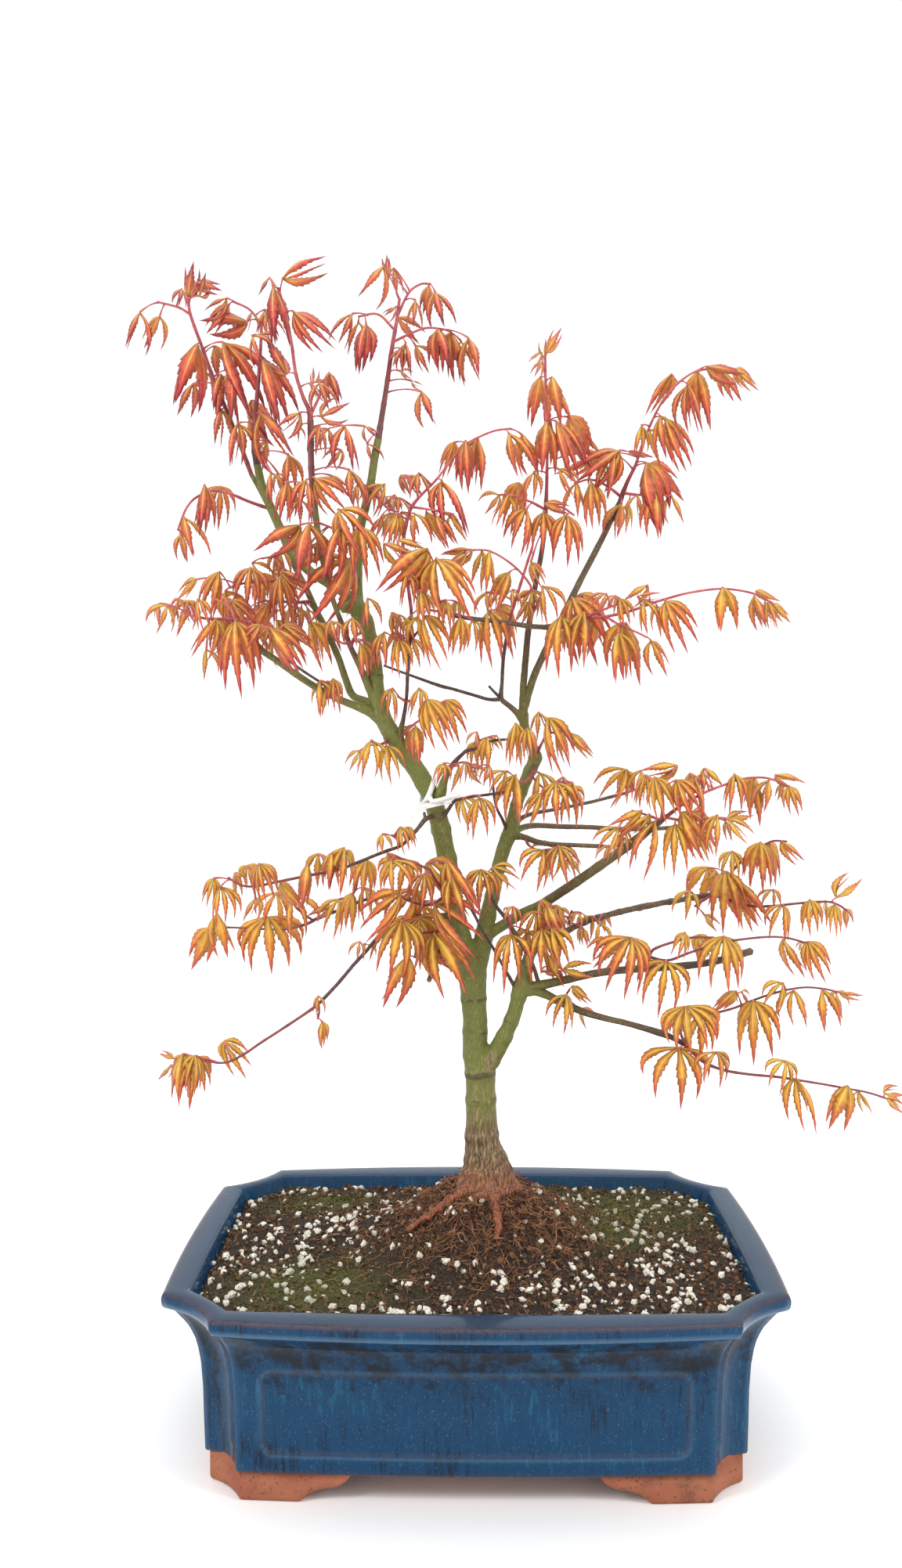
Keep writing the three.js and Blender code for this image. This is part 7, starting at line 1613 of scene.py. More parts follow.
@dataclass
class Filling:
    """The soil: it fills the pot, mounds round the trunk and carries grit, fibres and moss.

    A bed is where its middle lies, right and behind, and how far it spreads both ways.
    """

    pot: Pot
    edge_height: float = 86
    mound: float = 36
    centre: tuple[float, float] = (6, 2)
    reach: tuple[float, float] = (50, 42)
    clearance: float = 0.3
    levels: tuple[float, ...] = (23.3, 26, 62, 78)
    steps: tuple[int, int, int] = (76, 50, 6)
    courses: int = 96
    edge_droop: float = 1.2
    moss_beds: Sequence[tuple[float, float, float, float]] = (
        (84, 46, 40, 30), (-78, -52, 34, 26), (70, 6, 26, 22), (-84, 60, 26, 14))
    grit_beds: Sequence[tuple[float, float, float, float]] = (
        (-96, -20, 30, 60), (60, -66, 50, 20), (-20, -76, 40, 14), (92, -30, 26, 44),
        (40, -50, 30, 24), (-70, 30, 36, 24))

    def height(self, x: float, y: float) -> float:
        """Height of the smooth ground at a spot."""
        dx, dy = (x - self.centre[0]) / self.reach[0], (y - self.centre[1]) / self.reach[1]
        return self.edge_height + self.mound * bell(dx, dy)

    def lumps(self, x: float, y: float) -> float:
        """How far the crumbly ground stands out from the smooth one."""
        spot = Vector((x, y, 0))
        return (1.6 * noise.noise(spot / 11) + 1.1 * noise.noise(spot / 4.3 + Vector((9, 0, 0)))
                + 0.6 * noise.noise(spot / 1.9 + Vector((0, 5, 0))))

    def cover(self, x: float, y: float) -> dict[str, float]:
        """Says what lies at a spot.

        Args:
            x: How far right it lies.
            y: How far behind it lies.

        Returns:
            The shares of grit, fibre, moss and crumbs.
        """
        def beds(rows: Sequence[tuple[float, float, float, float]]) -> float:
            """Gives the share of the bed that lies thickest here."""
            return max(bell((x - a) / c, (y - b) / d) for a, b, c, d in rows)

        mound = bell((x - 8) / 46, (y + 4) / 40)
        patch = 0.5 + 0.5 * noise.noise(Vector((x / 9, y / 9, 3)))
        return {
            "moss": min(1.0, beds(self.moss_beds) * (0.3 + 1.1 * patch)) * (1 - mound),
            "grit": max(0.3, beds(self.grit_beds)) * (1 - 0.8 * mound),
            "fibre": mound, "crumb": 1.0,
        }

    def outline(self, level: float) -> list[Vector]:
        """Lays out the filling's edge at a height, just inside the wall."""
        inset = self.pot.inset_inside(level) + self.clearance
        bows, scoop = self.pot.inner_bows, self.pot.inner_scoop
        return [at for at, _, _ in self.pot.ring(inset, bows, scoop, self.steps)]

    def ground(self) -> bpy.types.Object:
        """Builds the filling as one closed body.

        Returns:
            The piece.
        """
        draft = Draft()
        rings = [
            [draft.point(Vector((at.x, at.y, level))) for at in self.outline(level)]
            for level in self.levels
        ]
        draft.fan(rings[0][::-1], draft.point(Vector((0, 0, self.levels[0]))))
        edge, middle = self.outline(self.edge_height), Vector((*self.centre, 0))
        for k in range(self.courses):
            share = 1 - k / self.courses
            ring = []
            for at in edge:
                x, y, _ = middle.lerp(at, share)
                z = self.height(x, y) + self.lumps(x, y) * min(1.0, share * 6)
                z -= self.edge_droop * blend(share, 0.97, 1.0)
                ring.append(draft.point(Vector((x, y, z)), **self.cover(x, y)))
            rings.append(ring)
        for lower, upper in zip(rings, rings[1:]):
            draft.band(lower, upper)
        top = draft.point(Vector((*self.centre, self.height(*self.centre))), crumb=1.0)
        draft.fan(rings[-1], top)
        soil = Ground("damp potting soil", "#0a0705", "#3f2b1a", 1.6)
        return draft.build("soil_ground", [soil.material()])

    def strew(self, ground: bpy.types.Object) -> list[bpy.types.Object]:
        """Strews grit, crumbs, moss tufts and root fibres over the ground.

        Args:
            ground: The piece that they lie on.

        Returns:
            The strewn pieces.
        """
        tree, numbers = scatter_tree(), range(6)
        lumps = forms_of("grit forms", [pebble(f"grit_{k}", k, 1, 0.75, 0.9) for k in numbers])
        crumbs = forms_of("crumb forms", [
            pebble(f"crumb_{k}", k + 20, 1, 0.6, 0.9) for k in numbers])
        hairs = forms_of("fibre forms", [strand(f"fibre_{k}", k) for k in numbers])
        perlite = Ground("expanded perlite", "#c0b9a4", "#fdf9ef", 0.9, 0.9).material()
        peat = Ground("bark crumb and peat", "#0b0705", "#835d3c", 2.2).material()
        fibre = Ground("dry root fibre", "#552815", "#c28a5c", 6.0, 0.8).material()
        moss = Ground("olive moss", "#141706", "#5f5f24", 1.2).material()
        # Name, forms, where they lie, how many a square metre, sizes in metres, tilt and seed.
        rows = (
            ("soil_perlite", lumps, "grit", 44000.0, 0.001, 0.0048, 0.9, 11, perlite),
            ("soil_crumbs", crumbs, "crumb", 120000.0, 0.001, 0.0036, 1.4, 12, peat),
            ("soil_moss", crumbs, "moss", 170000.0, 0.0008, 0.002, 1.5, 13, moss),
            ("soil_fibres", hairs, "fibre", 330000.0, 0.005, 0.016, 0.45, 14, fibre),
        )
        made = []
        for name, forms, where, density, smallest, largest, tilt, seed, material in rows:
            carrier = bpy.data.objects.new(name + "_carrier", ground.data.copy())
            bpy.context.scene.collection.objects.link(carrier)
            made.append(settle(carrier, tree, {
                "Forms": forms, "Where": where, "Density": density, "Smallest": smallest,
                "Largest": largest, "Tilt": tilt, "Seed": seed, "Material": material}, name))
        return made


@dataclass
class Tree:
    """The wood: root flare, surface roots, trunk, three leaders and all the bare limbs."""

    voxel: float = 0.8
    softening: int = 5
    wound: Vector = Vector((9, -7, 183))
    wound_size: float = 4.6
    thick_step: float = 1.5
    foot_step: float = 1.2
    foot_length: float = 7
    limb_step: float = 1.6
    thick_scars: tuple[float, float] = (7, 19)
    limb_scars: tuple[float, float] = (11, 26)

    @staticmethod
    def tone_of(at: Vector, radius: float) -> float:
        """Says how brown the bark is: thin wood is browner, the tall middle stem stays olive.

        Args:
            at: The spot.
            radius: The stem's radius there.

        Returns:
            The tone, 0 green to 1 maroon brown.
        """
        tone = min(max((2.1 - radius) / 1.3, 0.0), 1.0)
        if at.z > 400 and (at.x < -66 or at.x > 20):
            tone = tone * 0.5 + 0.5 * blend(at.z, 470, 530)
        if at.x > 20 and at.z < 350:
            tone = min(tone + 0.5 * blend(at.x, 24, 48), 0.62)
        elif at.x > 8:
            tone = max(tone, 0.62 * blend(at.z, 345, 400))
        return min(max(tone, 0.0), 1.0)

    @staticmethod
    @functools.cache
    def joints() -> list[tuple[Vector, float]]:
        """Where the thicker limbs leave the wood, with their radius."""
        feet = [stations(rows)[0] for rows in LIMBS]
        return [(foot.at, foot.radius) for foot in feet if foot.radius > 1.5]

    def scarring(self, at: Vector) -> float:
        """How corky the bark is: at the joints, and on the old wound at the side stem's fork.

        Args:
            at: The spot.

        Returns:
            The corkiness, 0 for smooth bark.
        """
        out = at - self.wound
        wound = bell(math.hypot(out.x, out.y, 0.34 * out.z) / self.wound_size)
        return max([0.95 * wound] + [
            0.5 * bell((at - foot).length / (2.0 * thick)) for foot, thick in self.joints()])

    def dressed(
        self, path: Sequence[Station], seed: int, spacing: tuple[float, float]
    ) -> list[Station]:
        """Gives each station its bark values, with bud scars at uneven distances.

        Args:
            path: The finely stepped path.
            seed: Its own seed.
            spacing: Least and greatest distance between scars.

        Returns:
            The same stations, swollen a little at the scars.
        """
        rng = random.Random(seed)
        run, following = 0.0, rng.uniform(*spacing)
        for before, station in zip([path[0], *path], path):
            run += (station.at - before.at).length
            if run > following + 1.5:
                following += rng.uniform(*spacing)
            near, swell = bell((run - following) / 1.1), bell((run - following) / 1.8)
            at, radius = station.at, station.radius
            low_right = at.x > 34 and at.z < 242
            rooted = max(1.0 - blend(radius, 2.4, 3.8), 0.9 - 0.9 * blend(at.z, 113, 134))
            station.values = {
                "tone": self.tone_of(at, radius),
                "ring": max(near, 1.2 * bell(at.z - 177) if radius > 6.5 else 0.0),
                "earth": 0.75 - 0.55 * blend(at.z, 122, 172) - 0.2 * blend(at.z, 172, 200),
                "root": rooted if at.z < 134 else 0.0,
                "dark": 0.55 * blend(at.x, 70, 100) if low_right else 0.0,
                "scar": self.scarring(at),
            }
            station.radius = radius * (1 + 0.05 * swell)
        return list(path)

    def thick_paths(self) -> list[list[Station]]:
        """The stems that are blended into one body: trunk, leaders, roots and every limb's foot.

        Returns:
            Their finely stepped paths, dressed.
        """
        starts = [stations(rows) for rows in (TRUNK, *LEADERS)]
        starts += [[Station(Vector(row[:3]), row[3]) for row in rows] for rows in SURFACE_ROOTS]
        paths = [rounded(start, self.thick_step) for start in starts]
        for rows in LIMBS:
            limb = rounded(stations(rows), self.foot_step)
            foot = limb[: round(self.foot_length / self.foot_step)]
            for k, station in enumerate(foot):
                station.radius = station.radius * 1.3 - 0.25 * k * station.radius / len(foot)
            if foot[0].radius > 1.6:
                paths.append(foot)
        return [self.dressed(path, 40 + i, self.thick_scars) for i, path in enumerate(paths)]

    def relief(self, at: Vector, height: float) -> float:
        """Says how far the bark stands out: fine long ridges, and coarse ones on the flare.

        Args:
            at: The spot.
            height: Its height.

        Returns:
            The height of the bark over the smooth stem.
        """
        ridges = noise.noise(Vector((at.x * 1.1, at.y * 1.1, at.z * 0.16)))
        lumps = noise.noise(at * 0.16)
        flare = 1 - blend(height, 118, 146)
        folds = noise.noise(Vector((at.x * 0.42, at.y * 0.42, at.z * 0.06 + 4)))
        return 0.16 * ridges + 0.3 * lumps + flare * (1.5 * folds + 0.4 * ridges)

    def trunk(self, bark: bpy.types.Material) -> bpy.types.Object:
        """Blends the thick stems into one body and raises its bark.

        Args:
            bark: The bark.

        Returns:
            The piece.
        """
        paths = self.thick_paths()
        draft = Draft()
        for path in paths:
            draft.tube(path, 18 if path[0].radius > 4 else 12)
        block = draft.build("trunk_block", [])
        modifier = block.modifiers.new("blend", "REMESH")
        modifier.mode, modifier.use_smooth_shade = "VOXEL", True
        modifier.voxel_size = self.voxel * MILLIMETRE
        shown = block.evaluated_get(bpy.context.evaluated_depsgraph_get())
        mesh = bpy.data.meshes.new_from_object(shown)
        block.modifiers.remove(modifier)
        bpy.data.objects.remove(block)
        self.soften(mesh)
        spine = [station for path in paths for station in path]
        lookup = kdtree.KDTree(len(spine))
        for i, station in enumerate(spine):
            lookup.insert(station.at, i)
        lookup.balance()
        shift = Vector((POT_OFF_CENTRE, 0, 0))
        values: dict[str, list[float]] = {key: [] for key in sorted(spine[0].values)}
        moved = []
        for vert in mesh.vertices:
            at = vert.co / MILLIMETRE + shift
            near = lookup.find_n(at, 8)
            _, best, _ = min(near, key=lambda found: found[2] - spine[found[1]].radius)
            for key, column in values.items():
                column.append(self.scarring(at) if key == "scar" else spine[best].values[key])
            out = self.relief(at, at.z) + 0.22 * spine[best].values["ring"]
            moved.append(vert.co + vert.normal * (out * MILLIMETRE))
        mesh.vertices.foreach_set("co", [c for co in moved for c in co])
        for key, column in values.items():
            mesh.attributes.new(key, "FLOAT", "POINT").data.foreach_set("value", column)
        mesh.materials.clear()
        mesh.materials.append(bark)
        mesh.update()
        mesh.shade_smooth()
        piece = bpy.data.objects.new("trunk_wood", mesh)
        bpy.context.scene.collection.objects.link(piece)
        return piece

    def soften(self, mesh: bpy.types.Mesh) -> None:
        """Smooths away the voxels' steps without shrinking the stems.

        Args:
            mesh: The blended wood.
        """
        count = len(mesh.vertices)
        spots = np.empty(count * 3)
        mesh.vertices.foreach_get("co", spots)
        spots = spots.reshape(-1, 3)
        ends = np.empty(len(mesh.edges) * 2, dtype=np.int64)
        mesh.edges.foreach_get("vertices", ends)
        ends = ends.reshape(-1, 2)
        links = np.bincount(ends.ravel(), minlength=count)[:, None]
        for k in range(2 * self.softening):
            total = np.zeros_like(spots)
            np.add.at(total, ends[:, 0], spots[ends[:, 1]])
            np.add.at(total, ends[:, 1], spots[ends[:, 0]])
            spots += (total / links - spots) * (0.55 if k % 2 == 0 else -0.57)
        mesh.vertices.foreach_set("co", spots.ravel())
        mesh.update()

    def limbs(self, bark: bpy.types.Material) -> bpy.types.Object:
        """Sweeps every limb along its path with bud scars.

        Args:
            bark: The bark.

        Returns:
            The piece.
        """
        draft = Draft()
        for i, rows in enumerate(LIMBS):
            path = self.dressed(rounded(stations(rows), self.limb_step), 200 + i, self.limb_scars)
            thick = max(station.radius for station in path)
            draft.tube(path, 12 if thick > 2 else 8, relief=lambda at: 0.1 * noise.noise(at * 0.5))
        return draft.build("trunk_limbs", [bark])


@dataclass
class LabelTie:
    """A narrow white strap wound once round the left leader, with its free end hanging over."""

    centre: tuple[float, float, float] = (-22.6, 320.6, -2)
    radius: float = 5.9
    width: float = 2.6
    thickness: float = 0.7
    winding_steps: int = 34
    winding_count: int = 40
    slant: float = 4.4
    climb: float = 0.06
    tail: Sequence[Row] = (
        (-21, 316.4, -10), (-16, 316.9, -12), (-11, 318.6, -13), (-6.5, 319.2, -13))
    fray_depth: float = -9.6

    def build(self) -> bpy.types.Object:
        """Builds the winding and its loose end as one bent strap.

        Returns:
            The piece.
        """
        draft = Draft()
        middle = place(*self.centre)
        # It follows the left leader's slope between its eighth and ninth stations.
        low, high = (place(*row[:3]) for row in LEADERS[0][7:9])
        axis = (high - low).normalized()
        across = Vector((0, 1, 0)).cross(axis).normalized()
        over = axis.cross(across)
        spots = []
        for k in range(self.winding_count):
            angle = 2 * math.pi * k / self.winding_steps + 0.4
            lean = self.slant * math.cos(angle - 0.3) + self.climb * k
            out = across * math.cos(angle) + over * math.sin(angle)
            spots.append(middle + axis * lean + out * self.radius)
        spots += [place(*row) for row in self.tail]
        path = rounded([Station(at, 1) for at in spots], 1.0)
        rings = []
        for i, station in enumerate(path):
            ahead = (path[min(i + 1, len(path) - 1)].at - path[max(i - 1, 0)].at).normalized()
            out = station.at - middle
            out = (out - ahead * out.dot(ahead)).normalized()
            flat = ahead.cross(out) * (self.width / 2)
            lift = out * self.thickness / 2
            corners = (flat + lift, lift - flat, -flat - lift, flat - lift)
            rings.append([draft.point(station.at + corner) for corner in corners])
        for lower, upper in zip(rings, rings[1:]):
            draft.band(lower, upper)
        draft.face(*rings[0][::-1])
        draft.face(*rings[-1])
        self.frays(draft)
        paper = Plain("white coated paper strap", "#fdfdfb", "#ebe9e2", 5.0, 0.45)
        return draft.build("label_strap", [paper.material()])

    def frays(self, draft: Draft) -> None:
        """Adds the torn threads at both ends of the strap.

        Args:
            draft: The mesh.
        """
        rng = random.Random(9)
        for k in range(10):
            end = (-36 + rng.uniform(-2, 4), 308 + rng.uniform(-1.5, 3)) if k % 2 else (
                -8 + rng.uniform(-4, 3), 318.6 + rng.uniform(-3, 1.6))
            start = (-25.2 + rng.uniform(-1, 1), 313.4 + rng.uniform(-1.4, 1.4))
            middle = [(a + b) / 2 + rng.uniform(-0.8, 0.8) for a, b in zip(start, end)]
            draft.tube([Station(place(*spot, self.fray_depth), radius)
                        for spot, radius in ((start, 0.45), (middle, 0.36), (end, 0.12))], 4)


@dataclass
class LeafForm:
    """One palmate leaf, one unit long from hub to tip, hanging along +X and facing +Z.

    Its outline is the half width of a lobe, as a share of the widest, by the way to the tip.
    """

    lobes: int
    spread: float
    bend: float
    seed: int
    teeth: int = 6
    thickness: float = 0.005
    least_width: float = 0.006
    outline: Profile = (
        (0, 0.3), (0.08, 0.42), (0.2, 0.72), (0.32, 0.96), (0.42, 1.0), (0.54, 0.8), (0.66, 0.54),
        (0.77, 0.33), (0.87, 0.19), (0.94, 0.12), (1, 0.0),
    )

    def lobe(self, draft: Draft, rank: float, order: int, rng: random.Random) -> None:
        """Draws one toothed lobe as a thin closed blade folded along its rib.

        It leaves the hub sideways and then hangs down, as an umbrella's rib does.

        Args:
            draft: The mesh.
            rank: Its place across the leaf, -1 to 1.
            order: Its number, which sets how far it lies behind the middle lobe.
            rng: Source of its small differences.
        """
        angle = rank * self.spread + rng.uniform(-0.04, 0.04)
        length = 1 - 0.1 * abs(rank) - (0.22 * rank * rank if self.lobes > 3 else 0)
        # Lobes are broader where there are few of them, or where they hang close together.
        half = (0.096 if self.lobes == 3 else 0.075) * (1.2 if self.spread < 0.26 else 1.0)
        half = half * (1 - 0.1 * abs(rank)) * rng.uniform(0.9, 1.1)
        across, down = math.sin(angle) * length, math.cos(angle) * length
        away = -0.5 * self.bend * abs(rank) ** 1.4 * length
        swell = (0.17 - 0.1 * abs(rank)) * (1.25 - 0.4 * self.bend)
        swing, flick = rng.uniform(-0.05, 0.05), rng.uniform(-0.1, 0.06)

        def rib(reach: float) -> Vector:
            """Gives a spot along the rib."""
            left = max(1 - reach, 0.0)
            out = 1 - left**2.7 - 0.12 * reach**3
            arch = 4 * reach * left**1.5
            return Vector((
                down * reach - 0.1 * abs(rank) * arch,
                across * out + swing * reach * reach,
                away * out + swell * arch + flick * reach**3 - 0.014 * order,
            ))

        def spot(reach: float, side: float, lift: float = 0.0) -> Vector:
            """Gives a spot beside or over the rib."""
            ahead = (rib(reach + 0.02) - rib(reach - 0.02)).normalized()
            facing = Vector((0, 0.75 * rank * self.bend, 1)).normalized()
            beside = facing.cross(ahead).normalized()
            up = ahead.cross(beside)
            return rib(reach) + beside * side + up * (lift - 0.45 * abs(side))

        steps = [0.0]
        for k in range(self.teeth):
            start = 0.12 + 0.72 * k / self.teeth
            steps += [start, start + 0.5 / self.teeth]
        steps += [0.91]
        rows = []
        for k, reach in enumerate(steps):
            is_tooth = k > 0 and k % 2 == 0
            jag = (1.12 if is_tooth else 0.88) if 0.3 < reach < 0.88 else 1.0
            wide = max(half * between(self.outline, reach) * jag, self.least_width)
            along = reach + (0.02 if is_tooth else 0)
            rows.append([
                draft.point(spot(place_on, side, lift), reach=reach, side=float(side != 0))
                for place_on, side, lift in (
                    (reach, 0, self.thickness), (along, wide, 0.0),
                    (reach, 0, -self.thickness), (along, -wide, 0.0))
            ])
        tip = draft.point(spot(1.0, 0), reach=1.0, side=1.0)
        for lower, upper in zip(rows, rows[1:]):
            draft.band(lower, upper)
        draft.fan(rows[-1], tip)
        draft.face(*rows[0][::-1])

    def build(self, name: str) -> bpy.types.Object:
        """Builds the leaf from its lobes.

        Args:
            name: The form's name.

        Returns:
            The form.
        """
        rng = random.Random(self.seed)
        draft = Draft()
        middle = (self.lobes - 1) / 2
        for i in range(self.lobes):
            rank = (i - middle) / middle
            self.lobe(draft, rank, round(abs(i - middle)) * 2 + (i > middle), rng)
        return draft.build(name, [], linked=False)


@dataclass
class LeafShapes:
    """All the leaf forms: three lobe counts, six spreads and two bends of each."""

    lobes: tuple[int, ...] = (3, 5, 7)
    spreads: tuple[int, ...] = (8, 14, 20, 27, 36, 47)
    bends: tuple[float, ...] = (0.55, 1.15)

    def collection(self) -> bpy.types.Collection:
        """Builds every form, named so that its place in the list can be worked out.

        Returns:
            The collection that a shoot tree picks from.
        """
        forms = []
        for count in self.lobes:
            for spread in self.spreads:
                for bend in self.bends:
                    number = len(forms)
                    form = LeafForm(count, math.radians(spread), bend, 60 + number)
                    forms.append(form.build(f"leaf_{number:02d}"))
        return forms_of("leaf forms", forms)

    def pick(self, lobes: int, spread: float, variant: int) -> tuple[int, float]:
        """Chooses the form for a leaf.

        Args:
            lobes: How many lobes it has.
            spread: Half the angle that they span, in degrees.
            variant: Which of the bends.

        Returns:
            The form's number, and by how much its width is stretched to the true spread.
        """
        nearest = min(range(len(self.spreads)), key=lambda k: abs(self.spreads[k] - spread))
        number = (self.lobes.index(lobes) * len(self.spreads) + nearest) * len(self.bends) + variant
        stretch = math.tan(math.radians(spread)) / math.tan(math.radians(self.spreads[nearest]))
        return number, min(max(stretch, 0.75), 1.3)


def shoot_tree() -> bpy.types.NodeTree:
    """Builds the tree that turns a shoot's skeleton into twigs, stalks and leaves.

    Returns:
        The tree.
    """
    tree, given, made = tree_with("leafy shoot", {
        "Skeleton": "NodeSocketGeometry", "Leaves": "NodeSocketCollection",
        "Sides": "NodeSocketInt", "Bark": "NodeSocketMaterial", "Blade": "NodeSocketMaterial"})
    value = {
        key: add(tree, "GeometryNodeInputNamedAttribute", {"Name": key}, data_type=kind).outputs[0]
        for key, kind in (("leaf", "FLOAT"), ("thick", "FLOAT"), ("form", "INT"),
                          ("turn", "FLOAT_VECTOR"), ("size", "FLOAT_VECTOR"))
    }
    is_leaf = add(tree, "FunctionNodeCompare", {0: value["leaf"], 1: 0.5},
                  data_type="FLOAT", operation="GREATER_THAN")
    split = add(tree, "GeometryNodeSeparateGeometry", {
        "Geometry": given.outputs["Skeleton"], "Selection": is_leaf}, domain="POINT")
    lines = add(tree, "GeometryNodeMeshToCurve", {"Mesh": split.outputs["Inverted"]})
    round_section = add(tree, "GeometryNodeCurvePrimitiveCircle", {
        "Resolution": given.outputs["Sides"], "Radius": 1.0})
    stems = add(tree, "GeometryNodeCurveToMesh", {
        "Curve": lines, "Profile Curve": round_section, "Scale": value["thick"], "Fill Caps": True})
    barked = add(tree, "GeometryNodeSetMaterial", {
        "Geometry": stems, "Material": given.outputs["Bark"]})
    forms = add(tree, "GeometryNodeCollectionInfo", {
        "Collection": given.outputs["Leaves"], "Separate Children": True, "Reset Children": True})
    turn = add(tree, "FunctionNodeEulerToRotation", {0: value["turn"]})
    hung = add(tree, "GeometryNodeInstanceOnPoints", {
        "Points": split.outputs["Selection"], "Instance": forms, "Pick Instance": True,
        "Instance Index": value["form"], "Rotation": turn, "Scale": value["size"]})
    real = add(tree, "GeometryNodeRealizeInstances", {0: hung})
    leaves = add(tree, "GeometryNodeSetMaterial", {
        "Geometry": real, "Material": given.outputs["Blade"]})
    whole = add(tree, "GeometryNodeJoinGeometry", {0: barked})
    tree.links.new(leaves.outputs[0], whole.inputs[0])
    tree.links.new(whole.outputs[0], made.inputs[0])
    return tree


@dataclass
class Skeleton:
    """The points and lines of one shoot, with the values that the tree reads."""

    spots: list[Vector] = field(default_factory=list)
    lines: list[tuple[int, int]] = field(default_factory=list)
    values: list[dict[str, Any]] = field(default_factory=list)

    def stem(self, path: Sequence[Station], ripe: Sequence[float]) -> None:
        """Adds a twig or stalk.

        Args:
            path: Its stations.
            ripe: How woody it is at each.
        """
        for i, (station, share) in enumerate(zip(path, ripe)):
            self.spots.append(station.at)
            self.values.append({"thick": station.radius * MILLIMETRE, "ripe": share})
            if i:
                self.lines.append((len(self.spots) - 2, len(self.spots) - 1))

    def leaf(self, at: Vector, form: int, axes: Matrix, size: Vector, tone: float) -> None:
        """Adds a leaf's hub with its form, turn, size and tone.

        Args:
            at: The hub's place.
            form: The form's number.
            axes: The leaf's own axes.
            size: Its length, width and height.
            tone: Its colour, 0 gold to 1 coral.
        """
        self.spots.append(at)
        self.values.append({
            "leaf": 1.0, "form": form, "turn": Vector(axes.to_euler()),
            "size": size * MILLIMETRE, "tone": tone})

    def build(self, name: str) -> bpy.types.Object:
        """Makes the carrier object that the tree works on.

        Args:
            name: The shoot's name.

        Returns:
            The carrier.
        """
        mesh = bpy.data.meshes.new(name)
        shift = Vector((POT_OFF_CENTRE, 0, 0))
        mesh.from_pydata([(spot - shift) * MILLIMETRE for spot in self.spots], self.lines, [])
        for key in ("leaf", "thick", "ripe", "tone"):
            layer = mesh.attributes.new(key, "FLOAT", "POINT")
            layer.data.foreach_set("value", [values.get(key, 0.0) for values in self.values])
        mesh.attributes.new("form", "INT", "POINT").data.foreach_set(
            "value", [values.get("form", 0) for values in self.values])
        for key in ("turn", "size"):
            rows = [values.get(key, Vector()) for values in self.values]
            mesh.attributes.new(key, "FLOAT_VECTOR", "POINT").data.foreach_set(
                "vector", [c for row in rows for c in row])
        carrier = bpy.data.objects.new(name + "_skeleton", mesh)
        bpy.context.scene.collection.objects.link(carrier)
        return carrier


